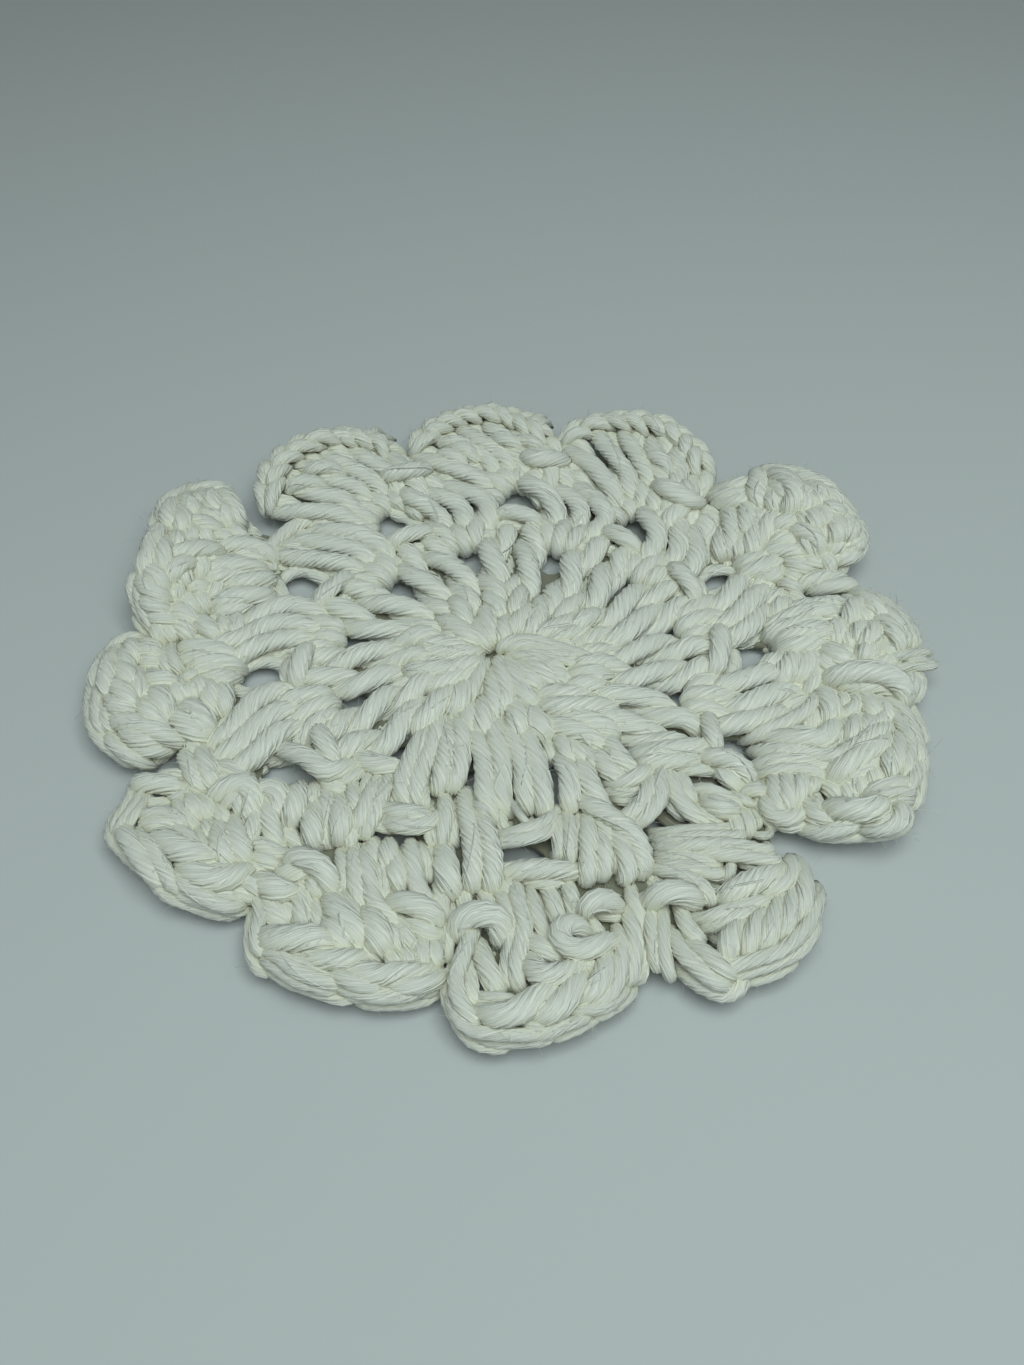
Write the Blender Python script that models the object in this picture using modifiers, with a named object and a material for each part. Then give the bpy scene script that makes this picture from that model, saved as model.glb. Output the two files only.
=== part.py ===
"""Crochet coaster: a flat round mat of thick white cotton yarn with twelve scalloped petals.

The mat is one closed solid. A thin ground with the open gaps of the work carries every
stitch as a raised ridge: the drawn-in centre, twelve pairs of posts, twelve groups of
three posts, twelve shells of six posts and the edging that runs round the petals. The
underside is cut flat where the mat touches the table, and the petals lift off it.
World units are metres, +Z is up, and the origin is the middle of the underside.
"""

from collections import namedtuple
import math

import bmesh
import bpy
from mathutils import Vector

MM = 0.001

# Yarn and fabric
GROUND_THICK = 2.3 * MM
SINK = 0.35 * MM
RIDGE_HEIGHT = 2.95 * MM
LONGEST_GROUND_EDGE = 4.0 * MM
VOXEL = 0.7 * MM
TARGET_TRIANGLES = 9400

# Radii of the rounds, from the middle of the mat
CENTRE_START = 1.6 * MM
CENTRE_END = 10.6 * MM
PAIR_START = 9.6 * MM
PAIR_KNEE = 15.5 * MM
PAIR_WAIST = 21.0 * MM
PAIR_END = 26.4 * MM
BAR_RADIUS = 27.8 * MM
GROUP_START = 24.4 * MM
GROUP_WAIST = 31.6 * MM
GROUP_END = 39.2 * MM
LOOP_START = 38.6 * MM
LOOP_CROWN = 40.6 * MM
LOOP_END = 43.4 * MM
SHELL_START = 35.8 * MM
SHELL_SIDE_START = 2.0 * MM
FLAT_RADIUS = 37.0 * MM

# Distances in from the scalloped edge
SHELL_INSET = 6.4 * MM
EDGING_INSET = 3.6 * MM
EDGE_INSET = 1.35 * MM

# Angles, in degrees, that the posts of one place spread to each side of its middle
PAIR_FOOT_SPREAD = 9.0
PAIR_KNEE_SPREAD = 8.0
PAIR_TOP_SPREAD = 5.0
PAIR_WAIST_SHARE = 0.235
BAR_OVERHANG = 3.0
GROUP_FOOT_SPREAD = 6.0
GROUP_TOP_SPREAD = 6.4
SHELL_FOOT_SPREAD = 9.0
LOOP_SPREAD = 3.6

# How far the short stitches of the edging reach in and out, and back and ahead of their middle
EDGING_REACH = 1.3 * MM
EDGING_LEAN = 0.46

# Half thickness of each kind of stitch
CENTRE_RADIUS = 1.45 * MM
POST_RADIUS = 1.62 * MM
SHELL_RADIUS = 1.5 * MM
BAR_THICK = 1.25 * MM
STITCH_RADIUS = 1.42 * MM
EDGE_RADIUS = 1.3 * MM
LOOP_RADIUS = 1.35 * MM

POSTS_IN_GROUP = 3
POSTS_IN_SHELL = 6
STITCHES_IN_EDGING = 9
SCALLOP_POWER = 2.7
EDGE_POINTS = 14
GAP_POINTS = 12
LIFT_AT_NOTCH = 0.35

Petal = namedtuple("Petal", "middle tip notch notch_radius lift")
# Angles in degrees counter-clockwise from +X, lengths in millimetres. A petal runs from the
# notch of the row before it to its own, and its rim lifts this far off the table.
PETALS = (
    Petal(middle=2.7, tip=54.0, notch=17.4, notch_radius=48.5, lift=2.4),
    Petal(middle=33.0, tip=54.6, notch=48.6, notch_radius=48.5, lift=3.8),
    Petal(middle=64.1, tip=53.6, notch=79.6, notch_radius=47.8, lift=2.8),
    Petal(middle=94.3, tip=53.0, notch=109.0, notch_radius=46.8, lift=2.0),
    Petal(middle=124.5, tip=54.2, notch=140.0, notch_radius=47.6, lift=3.0),
    Petal(middle=153.0, tip=55.6, notch=175.5, notch_radius=46.8, lift=4.6),
    Petal(middle=189.6, tip=53.5, notch=203.8, notch_radius=47.6, lift=1.6),
    Petal(middle=218.7, tip=53.8, notch=233.6, notch_radius=48.6, lift=1.2),
    Petal(middle=247.3, tip=51.8, notch=261.0, notch_radius=48.4, lift=1.2),
    Petal(middle=274.0, tip=54.2, notch=287.0, notch_radius=48.8, lift=1.4),
    Petal(middle=302.7, tip=54.4, notch=318.4, notch_radius=47.6, lift=1.6),
    Petal(middle=333.2, tip=53.4, notch=348.0, notch_radius=49.4, lift=2.6),
)

Gap = namedtuple("Gap", "angle radius length width")
# The gap of each petal, between the bars of round 2 and the foot of the shell.
SHELL_GAPS = (
    Gap(angle=358.6, radius=32.2, length=6.2, width=4.6),
    Gap(angle=386.0, radius=32.2, length=6.2, width=4.6),
    Gap(angle=413.8, radius=32.0, length=6.6, width=4.8),
    Gap(angle=446.4, radius=32.4, length=6.8, width=5.2),
    Gap(angle=480.6, radius=32.0, length=7.4, width=6.8),
    Gap(angle=512.4, radius=31.8, length=7.6, width=6.8),
    Gap(angle=543.6, radius=31.6, length=7.2, width=6.4),
    Gap(angle=575.2, radius=31.8, length=6.8, width=6.4),
    Gap(angle=604.2, radius=31.8, length=5.4, width=5.6),
    Gap(angle=631.8, radius=31.8, length=5.0, width=5.2),
    Gap(angle=658.6, radius=32.3, length=6.4, width=5.0),
    Gap(angle=688.4, radius=32.4, length=6.2, width=5.2),
)
# The gap after each pair of posts, which the next round is worked into.
PAIR_GAPS = (
    Gap(angle=11.0, radius=21.6, length=4.4, width=2.7),
    Gap(angle=38.1, radius=21.2, length=4.4, width=2.6),
    Gap(angle=70.4, radius=20.6, length=4.4, width=2.6),
    Gap(angle=104.3, radius=20.2, length=5.6, width=3.4),
    Gap(angle=137.2, radius=19.8, length=6.2, width=3.3),
    Gap(angle=170.5, radius=20.4, length=4.8, width=2.8),
    Gap(angle=199.2, radius=21.2, length=4.4, width=3.0),
    Gap(angle=231.0, radius=20.9, length=4.8, width=2.9),
    Gap(angle=258.4, radius=21.2, length=5.0, width=2.9),
    Gap(angle=284.0, radius=21.4, length=6.0, width=2.9),
    Gap(angle=310.7, radius=21.6, length=6.0, width=3.2),
    Gap(angle=341.1, radius=21.8, length=4.6, width=3.0),
)
# The openest places round the centre: the rest of round 1 closes up.
CENTRE_GAPS = (
    Gap(angle=45.4, radius=9.3, length=4.3, width=2.9),
    Gap(angle=121.7, radius=9.9, length=4.2, width=2.5),
    Gap(angle=158.5, radius=9.8, length=4.6, width=2.9),
    Gap(angle=214.3, radius=11.2, length=4.4, width=1.9),
)
# Where each pair of posts of round 2 comes out of round 1.
PAIR_FEET = (349.0, 377.0, 405.4, 450.5, 481.7, 518.5, 545.8, 574.3, 601.3, 628.7, 656.0, 683.8)


def clear_scene():
    """Empties the scene of the objects it starts with."""
    for obj in list(bpy.data.objects):
        bpy.data.objects.remove(obj, do_unlink=True)


def new_collection(name):
    """A collection linked to the scene."""
    collection = bpy.data.collections.new(name)
    bpy.context.scene.collection.children.link(collection)
    return collection


def cotton_material():
    """Undyed white cotton: matt, a little warm."""
    material = bpy.data.materials.new("white_cotton")
    material.use_nodes = True
    shader = material.node_tree.nodes["Principled BSDF"]
    shader.inputs["Base Color"].default_value = (0.82, 0.83, 0.76, 1.0)
    shader.inputs["Roughness"].default_value = 0.95
    shader.inputs["Metallic"].default_value = 0.0
    return material


def smooth(value):
    """Smooth step from 0 to 1."""
    value = min(max(value, 0.0), 1.0)
    return value * value * (3.0 - 2.0 * value)


def petal_span(index):
    """First and last angle of a petal, in degrees, rising, with the radii of its two notches."""
    before, petal = PETALS[index - 1], PETALS[index]
    first = before.notch - (360.0 if before.notch > petal.notch else 0.0)
    return first, petal.notch, before.notch_radius * MM, petal.notch_radius * MM


def edge_radius(index, angle):
    """Radius of the mat's edge at an angle within a petal: a round scallop between its notches."""
    petal = PETALS[index]
    first, last, low_first, low_last = petal_span(index)
    if angle < petal.middle:
        low, share = low_first, (petal.middle - angle) / (petal.middle - first)
    else:
        low, share = low_last, (angle - petal.middle) / (last - petal.middle)
    share = min(abs(share), 1.0)
    return low + (petal.tip * MM - low) * (1.0 - share**SCALLOP_POWER)


def petal_at(angle):
    """Index of the petal that an angle lies in, and the angle written in that petal's own turn."""
    for index in range(len(PETALS)):
        first, last = petal_span(index)[:2]
        for turn in (-720.0, -360.0, 0.0, 360.0):
            if first <= angle + turn < last:
                return index, angle + turn
    raise ValueError(f"no petal at {angle}")


def petal_lift(angle, radius):
    """How far the fabric's underside is off the table: nothing inside the flat round, then rising."""
    index, own = petal_at(angle)
    first, last = petal_span(index)[:2]
    share = smooth((radius - FLAT_RADIUS) / (PETALS[index].tip * MM - FLAT_RADIUS))
    across = math.sin(math.pi * (own - first) / (last - first))
    return PETALS[index].lift * MM * share * (LIFT_AT_NOTCH + (1.0 - LIFT_AT_NOTCH) * across)


def place(radius, angle, height):
    """World point at a radius, an angle in degrees and a height over the fabric's underside."""
    turn = math.radians(angle)
    lift = petal_lift(angle, radius)
    return Vector((radius * math.cos(turn), radius * math.sin(turn), height + lift))


def mesh_from_curve(curve_object):
    """Turns a curve object into a mesh datablock with its caps welded, and removes the curve."""
    graph = bpy.context.evaluated_depsgraph_get()
    mesh = bpy.data.meshes.new_from_object(curve_object.evaluated_get(graph))
    bpy.data.objects.remove(curve_object, do_unlink=True)
    solid = bmesh.new()
    solid.from_mesh(mesh)
    bmesh.ops.remove_doubles(solid, verts=solid.verts, dist=0.00001)
    solid.to_mesh(mesh)
    solid.free()
    return mesh


def add_spline(curve, points, radii=None, cyclic=False):
    """Adds one POLY spline through the points, with a radius at each."""
    spline = curve.splines.new("POLY")
    spline.points.add(len(points) - 1)
    for index, point in enumerate(points):
        spline.points[index].co = (point[0], point[1], point[2], 1.0)
        if radii:
            spline.points[index].radius = radii[index]
    spline.use_cyclic_u = cyclic


def gap_outline(gap):
    """Points round one gap: an oval with its long side along the radius."""
    turn = math.radians(gap.angle)
    outward = Vector((math.cos(turn), math.sin(turn), 0.0))
    along = Vector((-math.sin(turn), math.cos(turn), 0.0))
    points = []
    for step in range(GAP_POINTS):
        phase = math.tau * step / GAP_POINTS
        out = 0.5 * gap.length * MM * math.cos(phase)
        side = 0.5 * gap.width * MM * math.sin(phase)
        points.append(outward * (gap.radius * MM + out) + along * side)
    return points


def ground_outline():
    """Points round the mat's edge, a little inside the edging."""
    points = []
    for index in range(len(PETALS)):
        first, last = petal_span(index)[:2]
        for step in range(EDGE_POINTS):
            angle = first + (last - first) * step / EDGE_POINTS
            radius = edge_radius(index, angle) - EDGE_INSET
            turn = math.radians(angle)
            points.append(Vector((radius * math.cos(turn), radius * math.sin(turn), 0.0)))
    return points


def ground_mesh():
    """The thin ground of the mat, with every gap left open, bent up under the petals."""
    curve = bpy.data.curves.new("ground", "CURVE")
    curve.dimensions = "2D"
    curve.fill_mode = "BOTH"
    curve.extrude = GROUND_THICK / 2.0
    add_spline(curve, ground_outline(), cyclic=True)
    for gap in SHELL_GAPS + PAIR_GAPS + CENTRE_GAPS:
        add_spline(curve, gap_outline(gap), cyclic=True)
    flat = bpy.data.objects.new("ground", curve)
    bpy.context.scene.collection.objects.link(flat)
    mesh = mesh_from_curve(flat)
    solid = bmesh.new()
    solid.from_mesh(mesh)
    bmesh.ops.triangulate(solid, faces=solid.faces)
    long_edges = [edge for edge in solid.edges if edge.calc_length() > LONGEST_GROUND_EDGE]
    bmesh.ops.subdivide_edges(solid, edges=long_edges, cuts=3)
    bmesh.ops.triangulate(solid, faces=solid.faces)
    for vertex in solid.verts:
        radius = math.hypot(vertex.co.x, vertex.co.y)
        angle = math.degrees(math.atan2(vertex.co.y, vertex.co.x))
        vertex.co.z += GROUND_THICK / 2.0 - SINK + petal_lift(angle, radius)
    solid.to_mesh(mesh)
    solid.free()
    return mesh


def centre_stitches():
    """Round 1: twelve stitches that fan out from the closed middle."""
    for index, foot in enumerate(PAIR_FEET):
        after = near(PAIR_FEET[(index + 1) % len(PAIR_FEET)], foot)
        angle = (foot + after) / 2.0
        points = [
            place(CENTRE_START, angle, RIDGE_HEIGHT * 0.72),
            place(0.5 * (CENTRE_START + CENTRE_END), angle, RIDGE_HEIGHT * 0.88),
            place(CENTRE_END, angle, RIDGE_HEIGHT * 0.9),
        ]
        yield points, [CENTRE_RADIUS * 0.7, CENTRE_RADIUS, CENTRE_RADIUS * 1.15]


def near(angle, other):
    """The angle, in degrees, written in the turn that brings it nearest to another one."""
    return angle + 360.0 * round((other - angle) / 360.0)


def pair_posts():
    """Round 2: two posts between each two gaps, ending under the gap of a petal."""
    for index, gap in enumerate(SHELL_GAPS):
        foot = near(PAIR_FEET[index], gap.angle)
        before = near(PAIR_GAPS[index - 1].angle, gap.angle)
        after = near(PAIR_GAPS[index].angle, gap.angle)
        for side in (-1.0, 1.0):
            waist = before + (after - before) * (0.5 + PAIR_WAIST_SHARE * side)
            knee = 0.5 * (foot + PAIR_KNEE_SPREAD * side + waist)
            points = [
                place(PAIR_START, foot + PAIR_FOOT_SPREAD * side, RIDGE_HEIGHT * 0.8),
                place(PAIR_KNEE, knee, RIDGE_HEIGHT),
                place(PAIR_WAIST, waist, RIDGE_HEIGHT),
                place(PAIR_END, gap.angle + PAIR_TOP_SPREAD * side, RIDGE_HEIGHT * 0.94),
            ]
            yield points, [POST_RADIUS * 0.85, POST_RADIUS, POST_RADIUS, POST_RADIUS * 0.95]


def pair_bars():
    """The two-strand bar on top of each pair, at the inner side of a petal's gap."""
    for gap in SHELL_GAPS:
        reach = math.degrees(0.5 * gap.width * MM / BAR_RADIUS) + BAR_OVERHANG
        points = [
            place(BAR_RADIUS, gap.angle + reach * share, RIDGE_HEIGHT * height)
            for share, height in ((-1.0, 0.9), (0.0, 1.12), (1.0, 0.9))
        ]
        yield points, [BAR_THICK * 0.8, BAR_THICK, BAR_THICK * 0.8]


def group_posts():
    """Round 3: three posts worked into each gap of round 2, running out to a notch."""
    for index, petal in enumerate(PETALS):
        foot = PAIR_GAPS[index].angle
        start, end = SHELL_GAPS[index], SHELL_GAPS[(index + 1) % len(SHELL_GAPS)]
        low = near(start.angle, foot) + math.degrees(0.5 * start.width / start.radius)
        high = near(end.angle, foot) - math.degrees(0.5 * end.width / end.radius)
        for post in range(POSTS_IN_GROUP):
            share = (post + 0.5) / POSTS_IN_GROUP
            side = 2.0 * share - 1.0
            waist = low + (high - low) * share
            points = [
                place(GROUP_START, foot + GROUP_FOOT_SPREAD * side, RIDGE_HEIGHT * 0.85),
                place(GROUP_WAIST, waist, RIDGE_HEIGHT * 1.04),
                place(GROUP_END, petal.notch + GROUP_TOP_SPREAD * side, RIDGE_HEIGHT * 0.95),
            ]
            yield points, [POST_RADIUS * 0.85, POST_RADIUS, POST_RADIUS * 0.9]


def shell_posts():
    """Round 4: six posts that fan out of each petal's gap."""
    for index in range(len(PETALS)):
        first, last = petal_span(index)[:2]
        foot = near(SHELL_GAPS[index].angle, 0.5 * (first + last))
        for post in range(POSTS_IN_SHELL):
            share = (post + 0.5) / POSTS_IN_SHELL
            side = 2.0 * share - 1.0
            angle = first + (last - first) * share
            top = edge_radius(index, angle) - SHELL_INSET
            bottom = SHELL_START + SHELL_SIDE_START * side * side
            root = foot + SHELL_FOOT_SPREAD * side
            points = [
                place(bottom, root, RIDGE_HEIGHT * 0.85),
                place(0.5 * (bottom + top), 0.5 * (root + angle), RIDGE_HEIGHT * 1.05),
                place(top, angle, RIDGE_HEIGHT),
            ]
            yield points, [SHELL_RADIUS * 0.85, SHELL_RADIUS, SHELL_RADIUS]


def edging_stitches():
    """Round 5: short stitches that lean along the rim of each petal."""
    for index in range(len(PETALS)):
        first, last = petal_span(index)[:2]
        width = (last - first) / STITCHES_IN_EDGING
        for stitch in range(STITCHES_IN_EDGING):
            angle = first + width * (stitch + 0.5)
            radius = edge_radius(index, angle) - EDGING_INSET
            points = [
                place(radius - EDGING_REACH, angle - EDGING_LEAN * width, RIDGE_HEIGHT * 1.02),
                place(radius, angle, RIDGE_HEIGHT * 1.2),
                place(radius + EDGING_REACH, angle + EDGING_LEAN * width, RIDGE_HEIGHT),
            ]
            yield points, [STITCH_RADIUS * 0.85, STITCH_RADIUS, STITCH_RADIUS * 0.8]


def edge_strand():
    """The strand that closes the edge of each petal from notch to notch."""
    for index in range(len(PETALS)):
        first, last = petal_span(index)[:2]
        points = []
        for step in range(EDGE_POINTS + 1):
            angle = first + (last - first) * step / EDGE_POINTS
            angle = min(angle, last - 0.01)
            radius = edge_radius(index, angle) - EDGE_INSET
            points.append(place(radius, angle, 0.62 * GROUND_THICK))
        yield points, [EDGE_RADIUS] * len(points)


def notch_loops():
    """The fat loop that starts each petal, over the end of the group of posts before it."""
    for petal in PETALS:
        points = [
            place(LOOP_START, petal.notch - LOOP_SPREAD, RIDGE_HEIGHT * 0.9),
            place(LOOP_CROWN, petal.notch, RIDGE_HEIGHT * 1.3),
            place(LOOP_END, petal.notch + LOOP_SPREAD, RIDGE_HEIGHT * 1.15),
        ]
        yield points, [LOOP_RADIUS * 0.8, LOOP_RADIUS, LOOP_RADIUS * 0.9]


def stitch_mesh():
    """Every stitch of the mat as short round ridges in one mesh."""
    curve = bpy.data.curves.new("stitches", "CURVE")
    curve.dimensions = "3D"
    curve.bevel_depth = 1.0
    curve.bevel_resolution = 3
    curve.use_fill_caps = True
    rounds = (
        centre_stitches,
        pair_posts,
        pair_bars,
        group_posts,
        shell_posts,
        edging_stitches,
        edge_strand,
        notch_loops,
    )
    for stitches in rounds:
        for points, radii in stitches():
            add_spline(curve, points, radii)
    holder = bpy.data.objects.new("stitches", curve)
    bpy.context.scene.collection.objects.link(holder)
    return mesh_from_curve(holder)


def table_cutter(collection):
    """Everything below the table's surface, which cuts the underside flat."""
    depth = 10.0 * MM
    cutter_mesh = bpy.data.meshes.new("below_table")
    block = bmesh.new()
    bmesh.ops.create_cube(block, size=1.0)
    bmesh.ops.scale(block, vec=(0.2, 0.2, depth), verts=block.verts)
    bmesh.ops.translate(block, vec=(0.0, 0.0, -depth / 2.0), verts=block.verts)
    block.to_mesh(cutter_mesh)
    block.free()
    cutter = bpy.data.objects.new("below_table", cutter_mesh)
    cutter.hide_render = True
    cutter.display_type = "WIRE"
    collection.objects.link(cutter)
    return cutter


def join_meshes(meshes, name):
    """One mesh of several, whose bodies still overlap."""
    joined = bmesh.new()
    for mesh in meshes:
        joined.from_mesh(mesh)
    bmesh.ops.recalc_face_normals(joined, faces=joined.faces)
    mesh = bpy.data.meshes.new(name)
    joined.to_mesh(mesh)
    joined.free()
    for used in meshes:
        bpy.data.meshes.remove(used)
    return mesh


def build_coaster():
    """The mat as one solid: ground and stitches merged, thinned out and cut flat below."""
    parts = new_collection("crochet_coaster")
    cutters = new_collection("cutters")
    coaster = bpy.data.objects.new("coaster", join_meshes([ground_mesh(), stitch_mesh()], "coaster"))
    parts.objects.link(coaster)
    coaster.data.materials.append(cotton_material())

    merge = coaster.modifiers.new("merge_stitches", "REMESH")
    merge.mode = "VOXEL"
    merge.voxel_size = VOXEL
    merge.adaptivity = 0.0

    bpy.context.view_layer.update()
    graph = bpy.context.evaluated_depsgraph_get()
    merged = coaster.evaluated_get(graph).to_mesh()
    merged.calc_loop_triangles()
    ratio = TARGET_TRIANGLES / len(merged.loop_triangles)
    coaster.evaluated_get(graph).to_mesh_clear()

    thin = coaster.modifiers.new("fewer_faces", "DECIMATE")
    thin.decimate_type = "COLLAPSE"
    thin.ratio = ratio
    thin.use_collapse_triangulate = True

    flat = coaster.modifiers.new("flat_underside", "BOOLEAN")
    flat.operation = "DIFFERENCE"
    flat.solver = "EXACT"
    flat.object = table_cutter(cutters)


clear_scene()
build_coaster()
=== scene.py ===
"""Crochet coaster in thick white cotton: the yarn of every round, its finish and a soft studio.

The coaster lies flat on a pale floor. Each round is built as the yarn runs in it. Where the
photo shows the yarn clearly, its runs follow lists of stops that were read from the photo.
The others come from the stitches' own rules: two legs to a post that twist round each other,
a hook round the bar below, here and there a wrap at mid height, and a braid with thin strands
along each petal's edge. All yarn is then settled together, so that strands press on each
other. Lengths are in millimetres until a mesh is made, which is in metres as the frame is.
"""

import logging
import math
import random
from collections import defaultdict
from dataclasses import dataclass, field
from enum import Enum
from typing import Sequence

import bmesh
import bpy
import numpy as np
from mathutils import Matrix, Vector
from mathutils.kdtree import KDTree


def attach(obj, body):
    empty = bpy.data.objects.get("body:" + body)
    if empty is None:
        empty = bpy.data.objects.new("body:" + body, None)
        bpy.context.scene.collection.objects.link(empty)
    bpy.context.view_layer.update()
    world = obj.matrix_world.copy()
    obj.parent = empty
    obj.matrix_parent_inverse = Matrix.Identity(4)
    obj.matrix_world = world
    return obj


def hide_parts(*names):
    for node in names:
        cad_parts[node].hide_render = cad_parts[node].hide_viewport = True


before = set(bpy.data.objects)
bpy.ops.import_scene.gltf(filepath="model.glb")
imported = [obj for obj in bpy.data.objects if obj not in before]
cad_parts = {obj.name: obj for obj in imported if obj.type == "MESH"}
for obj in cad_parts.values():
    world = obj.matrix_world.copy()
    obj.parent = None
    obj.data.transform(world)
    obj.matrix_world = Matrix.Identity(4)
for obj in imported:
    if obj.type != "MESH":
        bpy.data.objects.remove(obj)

MM = 0.001
MM_PER_CM = 10.0
BODY = "root"
NODE = "coaster"
PHOTO_SIZE = (1024, 1365)
SEED = 12
UP = np.array((0.0, 0.0, 1.0))

# A line whose start leans off the upright by less than this sine counts as upright.
UPRIGHT = 0.1

# Steps of a smooth curve between two of its points, and the fewest steps of any run.
CURVE_STEPS = 8
LEAST_STEPS = 3

# Where a run may start in the fibres' pattern: millimetres along it, and yarns across it.
PATTERN_LENGTH = 50.0
PATTERN_YARNS = 64
PLIES = 12

Colour = tuple[float, float, float]
Spine = Sequence[tuple[float, float]]
Stops = tuple[tuple[float, float, float], ...]

log = logging.getLogger("coaster")


class Part(Enum):
    """The pieces that the yarn is gathered in, so that none grows too heavy."""

    CENTRE = "round_one"
    PAIRS = "round_two"
    GROUPS_BACK = "round_three_back"
    GROUPS_FRONT = "round_three_front"
    SHELLS_BACK = "shells_back"
    SHELLS_FRONT = "shells_front"
    RIM_BACK = "rim_back"
    RIM_FRONT = "rim_front"
    LOOSE = "loose_plies"
    FUZZ = "fuzz"


@dataclass(frozen=True)
class Petal:
    """One scallop of the rim, from the notch of the petal before it to its own.

    Angles are in degrees counter-clockwise from +X and lengths in millimetres.

    Attributes:
        middle: Angle of its middle.
        tip: Radius of its tip.
        notch: Angle of the notch that ends it.
        notch_radius: Radius of that notch.
        lift: How far its tip lies off the floor.
    """

    middle: float
    tip: float
    notch: float
    notch_radius: float
    lift: float


@dataclass(frozen=True)
class Gap:
    """One open place in the work: an oval with its long side along the radius.

    Attributes:
        angle: Angle of its middle, in degrees. It rises all through a round.
        radius: Radius of its middle.
        length: Its size along the radius.
        width: Its size across.
    """

    angle: float
    radius: float
    length: float
    width: float

    @property
    def outer(self) -> float:
        """Radius of its outer end."""
        return self.radius + 0.5 * self.length

    def beside(self, turn: float, apart: float) -> tuple[float, float]:
        """Finds a place beside the gap.

        Args:
            turn: How far round the gap the place lies, in radians from its outer end.
            apart: How far it lies off the gap's edge.

        Returns:
            How far the place lies from the mat's middle, along the gap's own direction, and how
            far to the side of that direction.
        """
        out = self.radius + (0.5 * self.length + apart) * math.cos(turn)
        side = (0.5 * self.width + apart) * math.sin(turn)
        return out, side


# The mat's petals and gaps and the feet of its pairs. Nearly all angles of the gaps, and some of
# their radii and sizes, were measured by a scratch program that found the dark places in a view of
# the photo straightened to the mat's plane. The rest was chosen in such views.
PETALS = (
    Petal(middle=2.7, tip=54.0, notch=17.4, notch_radius=48.5, lift=2.4),
    Petal(middle=33.0, tip=54.6, notch=48.6, notch_radius=48.5, lift=3.8),
    Petal(middle=64.1, tip=53.6, notch=79.6, notch_radius=47.8, lift=2.8),
    Petal(middle=94.3, tip=53.0, notch=109.0, notch_radius=46.8, lift=2.0),
    Petal(middle=124.5, tip=54.2, notch=140.0, notch_radius=47.6, lift=3.0),
    Petal(middle=153.0, tip=55.6, notch=175.5, notch_radius=46.8, lift=4.6),
    Petal(middle=189.6, tip=53.5, notch=203.8, notch_radius=47.6, lift=1.6),
    Petal(middle=218.7, tip=53.8, notch=233.6, notch_radius=48.6, lift=1.2),
    Petal(middle=247.3, tip=51.8, notch=261.0, notch_radius=48.4, lift=1.2),
    Petal(middle=274.0, tip=54.2, notch=287.0, notch_radius=48.8, lift=1.4),
    Petal(middle=302.7, tip=54.4, notch=318.4, notch_radius=47.6, lift=1.6),
    Petal(middle=333.2, tip=53.4, notch=348.0, notch_radius=49.4, lift=2.6),
)
SHELL_GAPS = (
    Gap(angle=358.6, radius=32.2, length=6.2, width=4.6),
    Gap(angle=386.0, radius=32.2, length=6.2, width=4.6),
    Gap(angle=413.8, radius=32.0, length=6.6, width=4.8),
    Gap(angle=446.4, radius=32.4, length=6.8, width=5.2),
    Gap(angle=480.6, radius=32.0, length=7.4, width=6.8),
    Gap(angle=512.4, radius=31.8, length=7.6, width=6.8),
    Gap(angle=543.6, radius=31.6, length=7.2, width=6.4),
    Gap(angle=575.2, radius=31.8, length=6.8, width=6.4),
    Gap(angle=604.2, radius=31.8, length=5.4, width=5.6),
    Gap(angle=631.8, radius=31.8, length=5.0, width=5.2),
    Gap(angle=658.6, radius=32.3, length=6.4, width=5.0),
    Gap(angle=688.4, radius=32.4, length=6.2, width=5.2),
)
PAIR_GAPS = (
    Gap(angle=11.0, radius=21.6, length=4.4, width=2.7),
    Gap(angle=38.1, radius=21.2, length=4.4, width=2.6),
    Gap(angle=70.4, radius=20.6, length=4.4, width=2.6),
    Gap(angle=104.3, radius=20.2, length=5.6, width=3.4),
    Gap(angle=137.2, radius=19.8, length=6.2, width=3.3),
    Gap(angle=170.5, radius=20.4, length=4.8, width=2.8),
    Gap(angle=199.2, radius=21.2, length=4.4, width=3.0),
    Gap(angle=231.0, radius=20.9, length=4.8, width=2.9),
    Gap(angle=258.4, radius=21.2, length=5.0, width=2.9),
    Gap(angle=284.0, radius=21.4, length=6.0, width=2.9),
    Gap(angle=310.7, radius=21.6, length=6.0, width=3.2),
    Gap(angle=341.1, radius=21.8, length=4.6, width=3.0),
)
CENTRE_GAPS = (
    Gap(angle=45.4, radius=9.3, length=4.3, width=2.9),
    Gap(angle=121.7, radius=9.9, length=4.2, width=2.5),
    Gap(angle=158.5, radius=9.8, length=4.6, width=2.9),
    Gap(angle=214.3, radius=11.2, length=4.4, width=1.9),
)
PAIR_FEET = (349.0, 377.0, 405.4, 450.5, 481.7, 518.5, 545.8, 574.3, 601.3, 628.7, 656.0, 683.8)


@dataclass(frozen=True)
class Laid:
    """One run that follows the photo.

    Attributes:
        thick: Share of the yarn's thickness.
        stops: Places on its way: x and y as seen on the sight plane, and height over the underside.
    """

    thick: float
    stops: Stops


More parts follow.
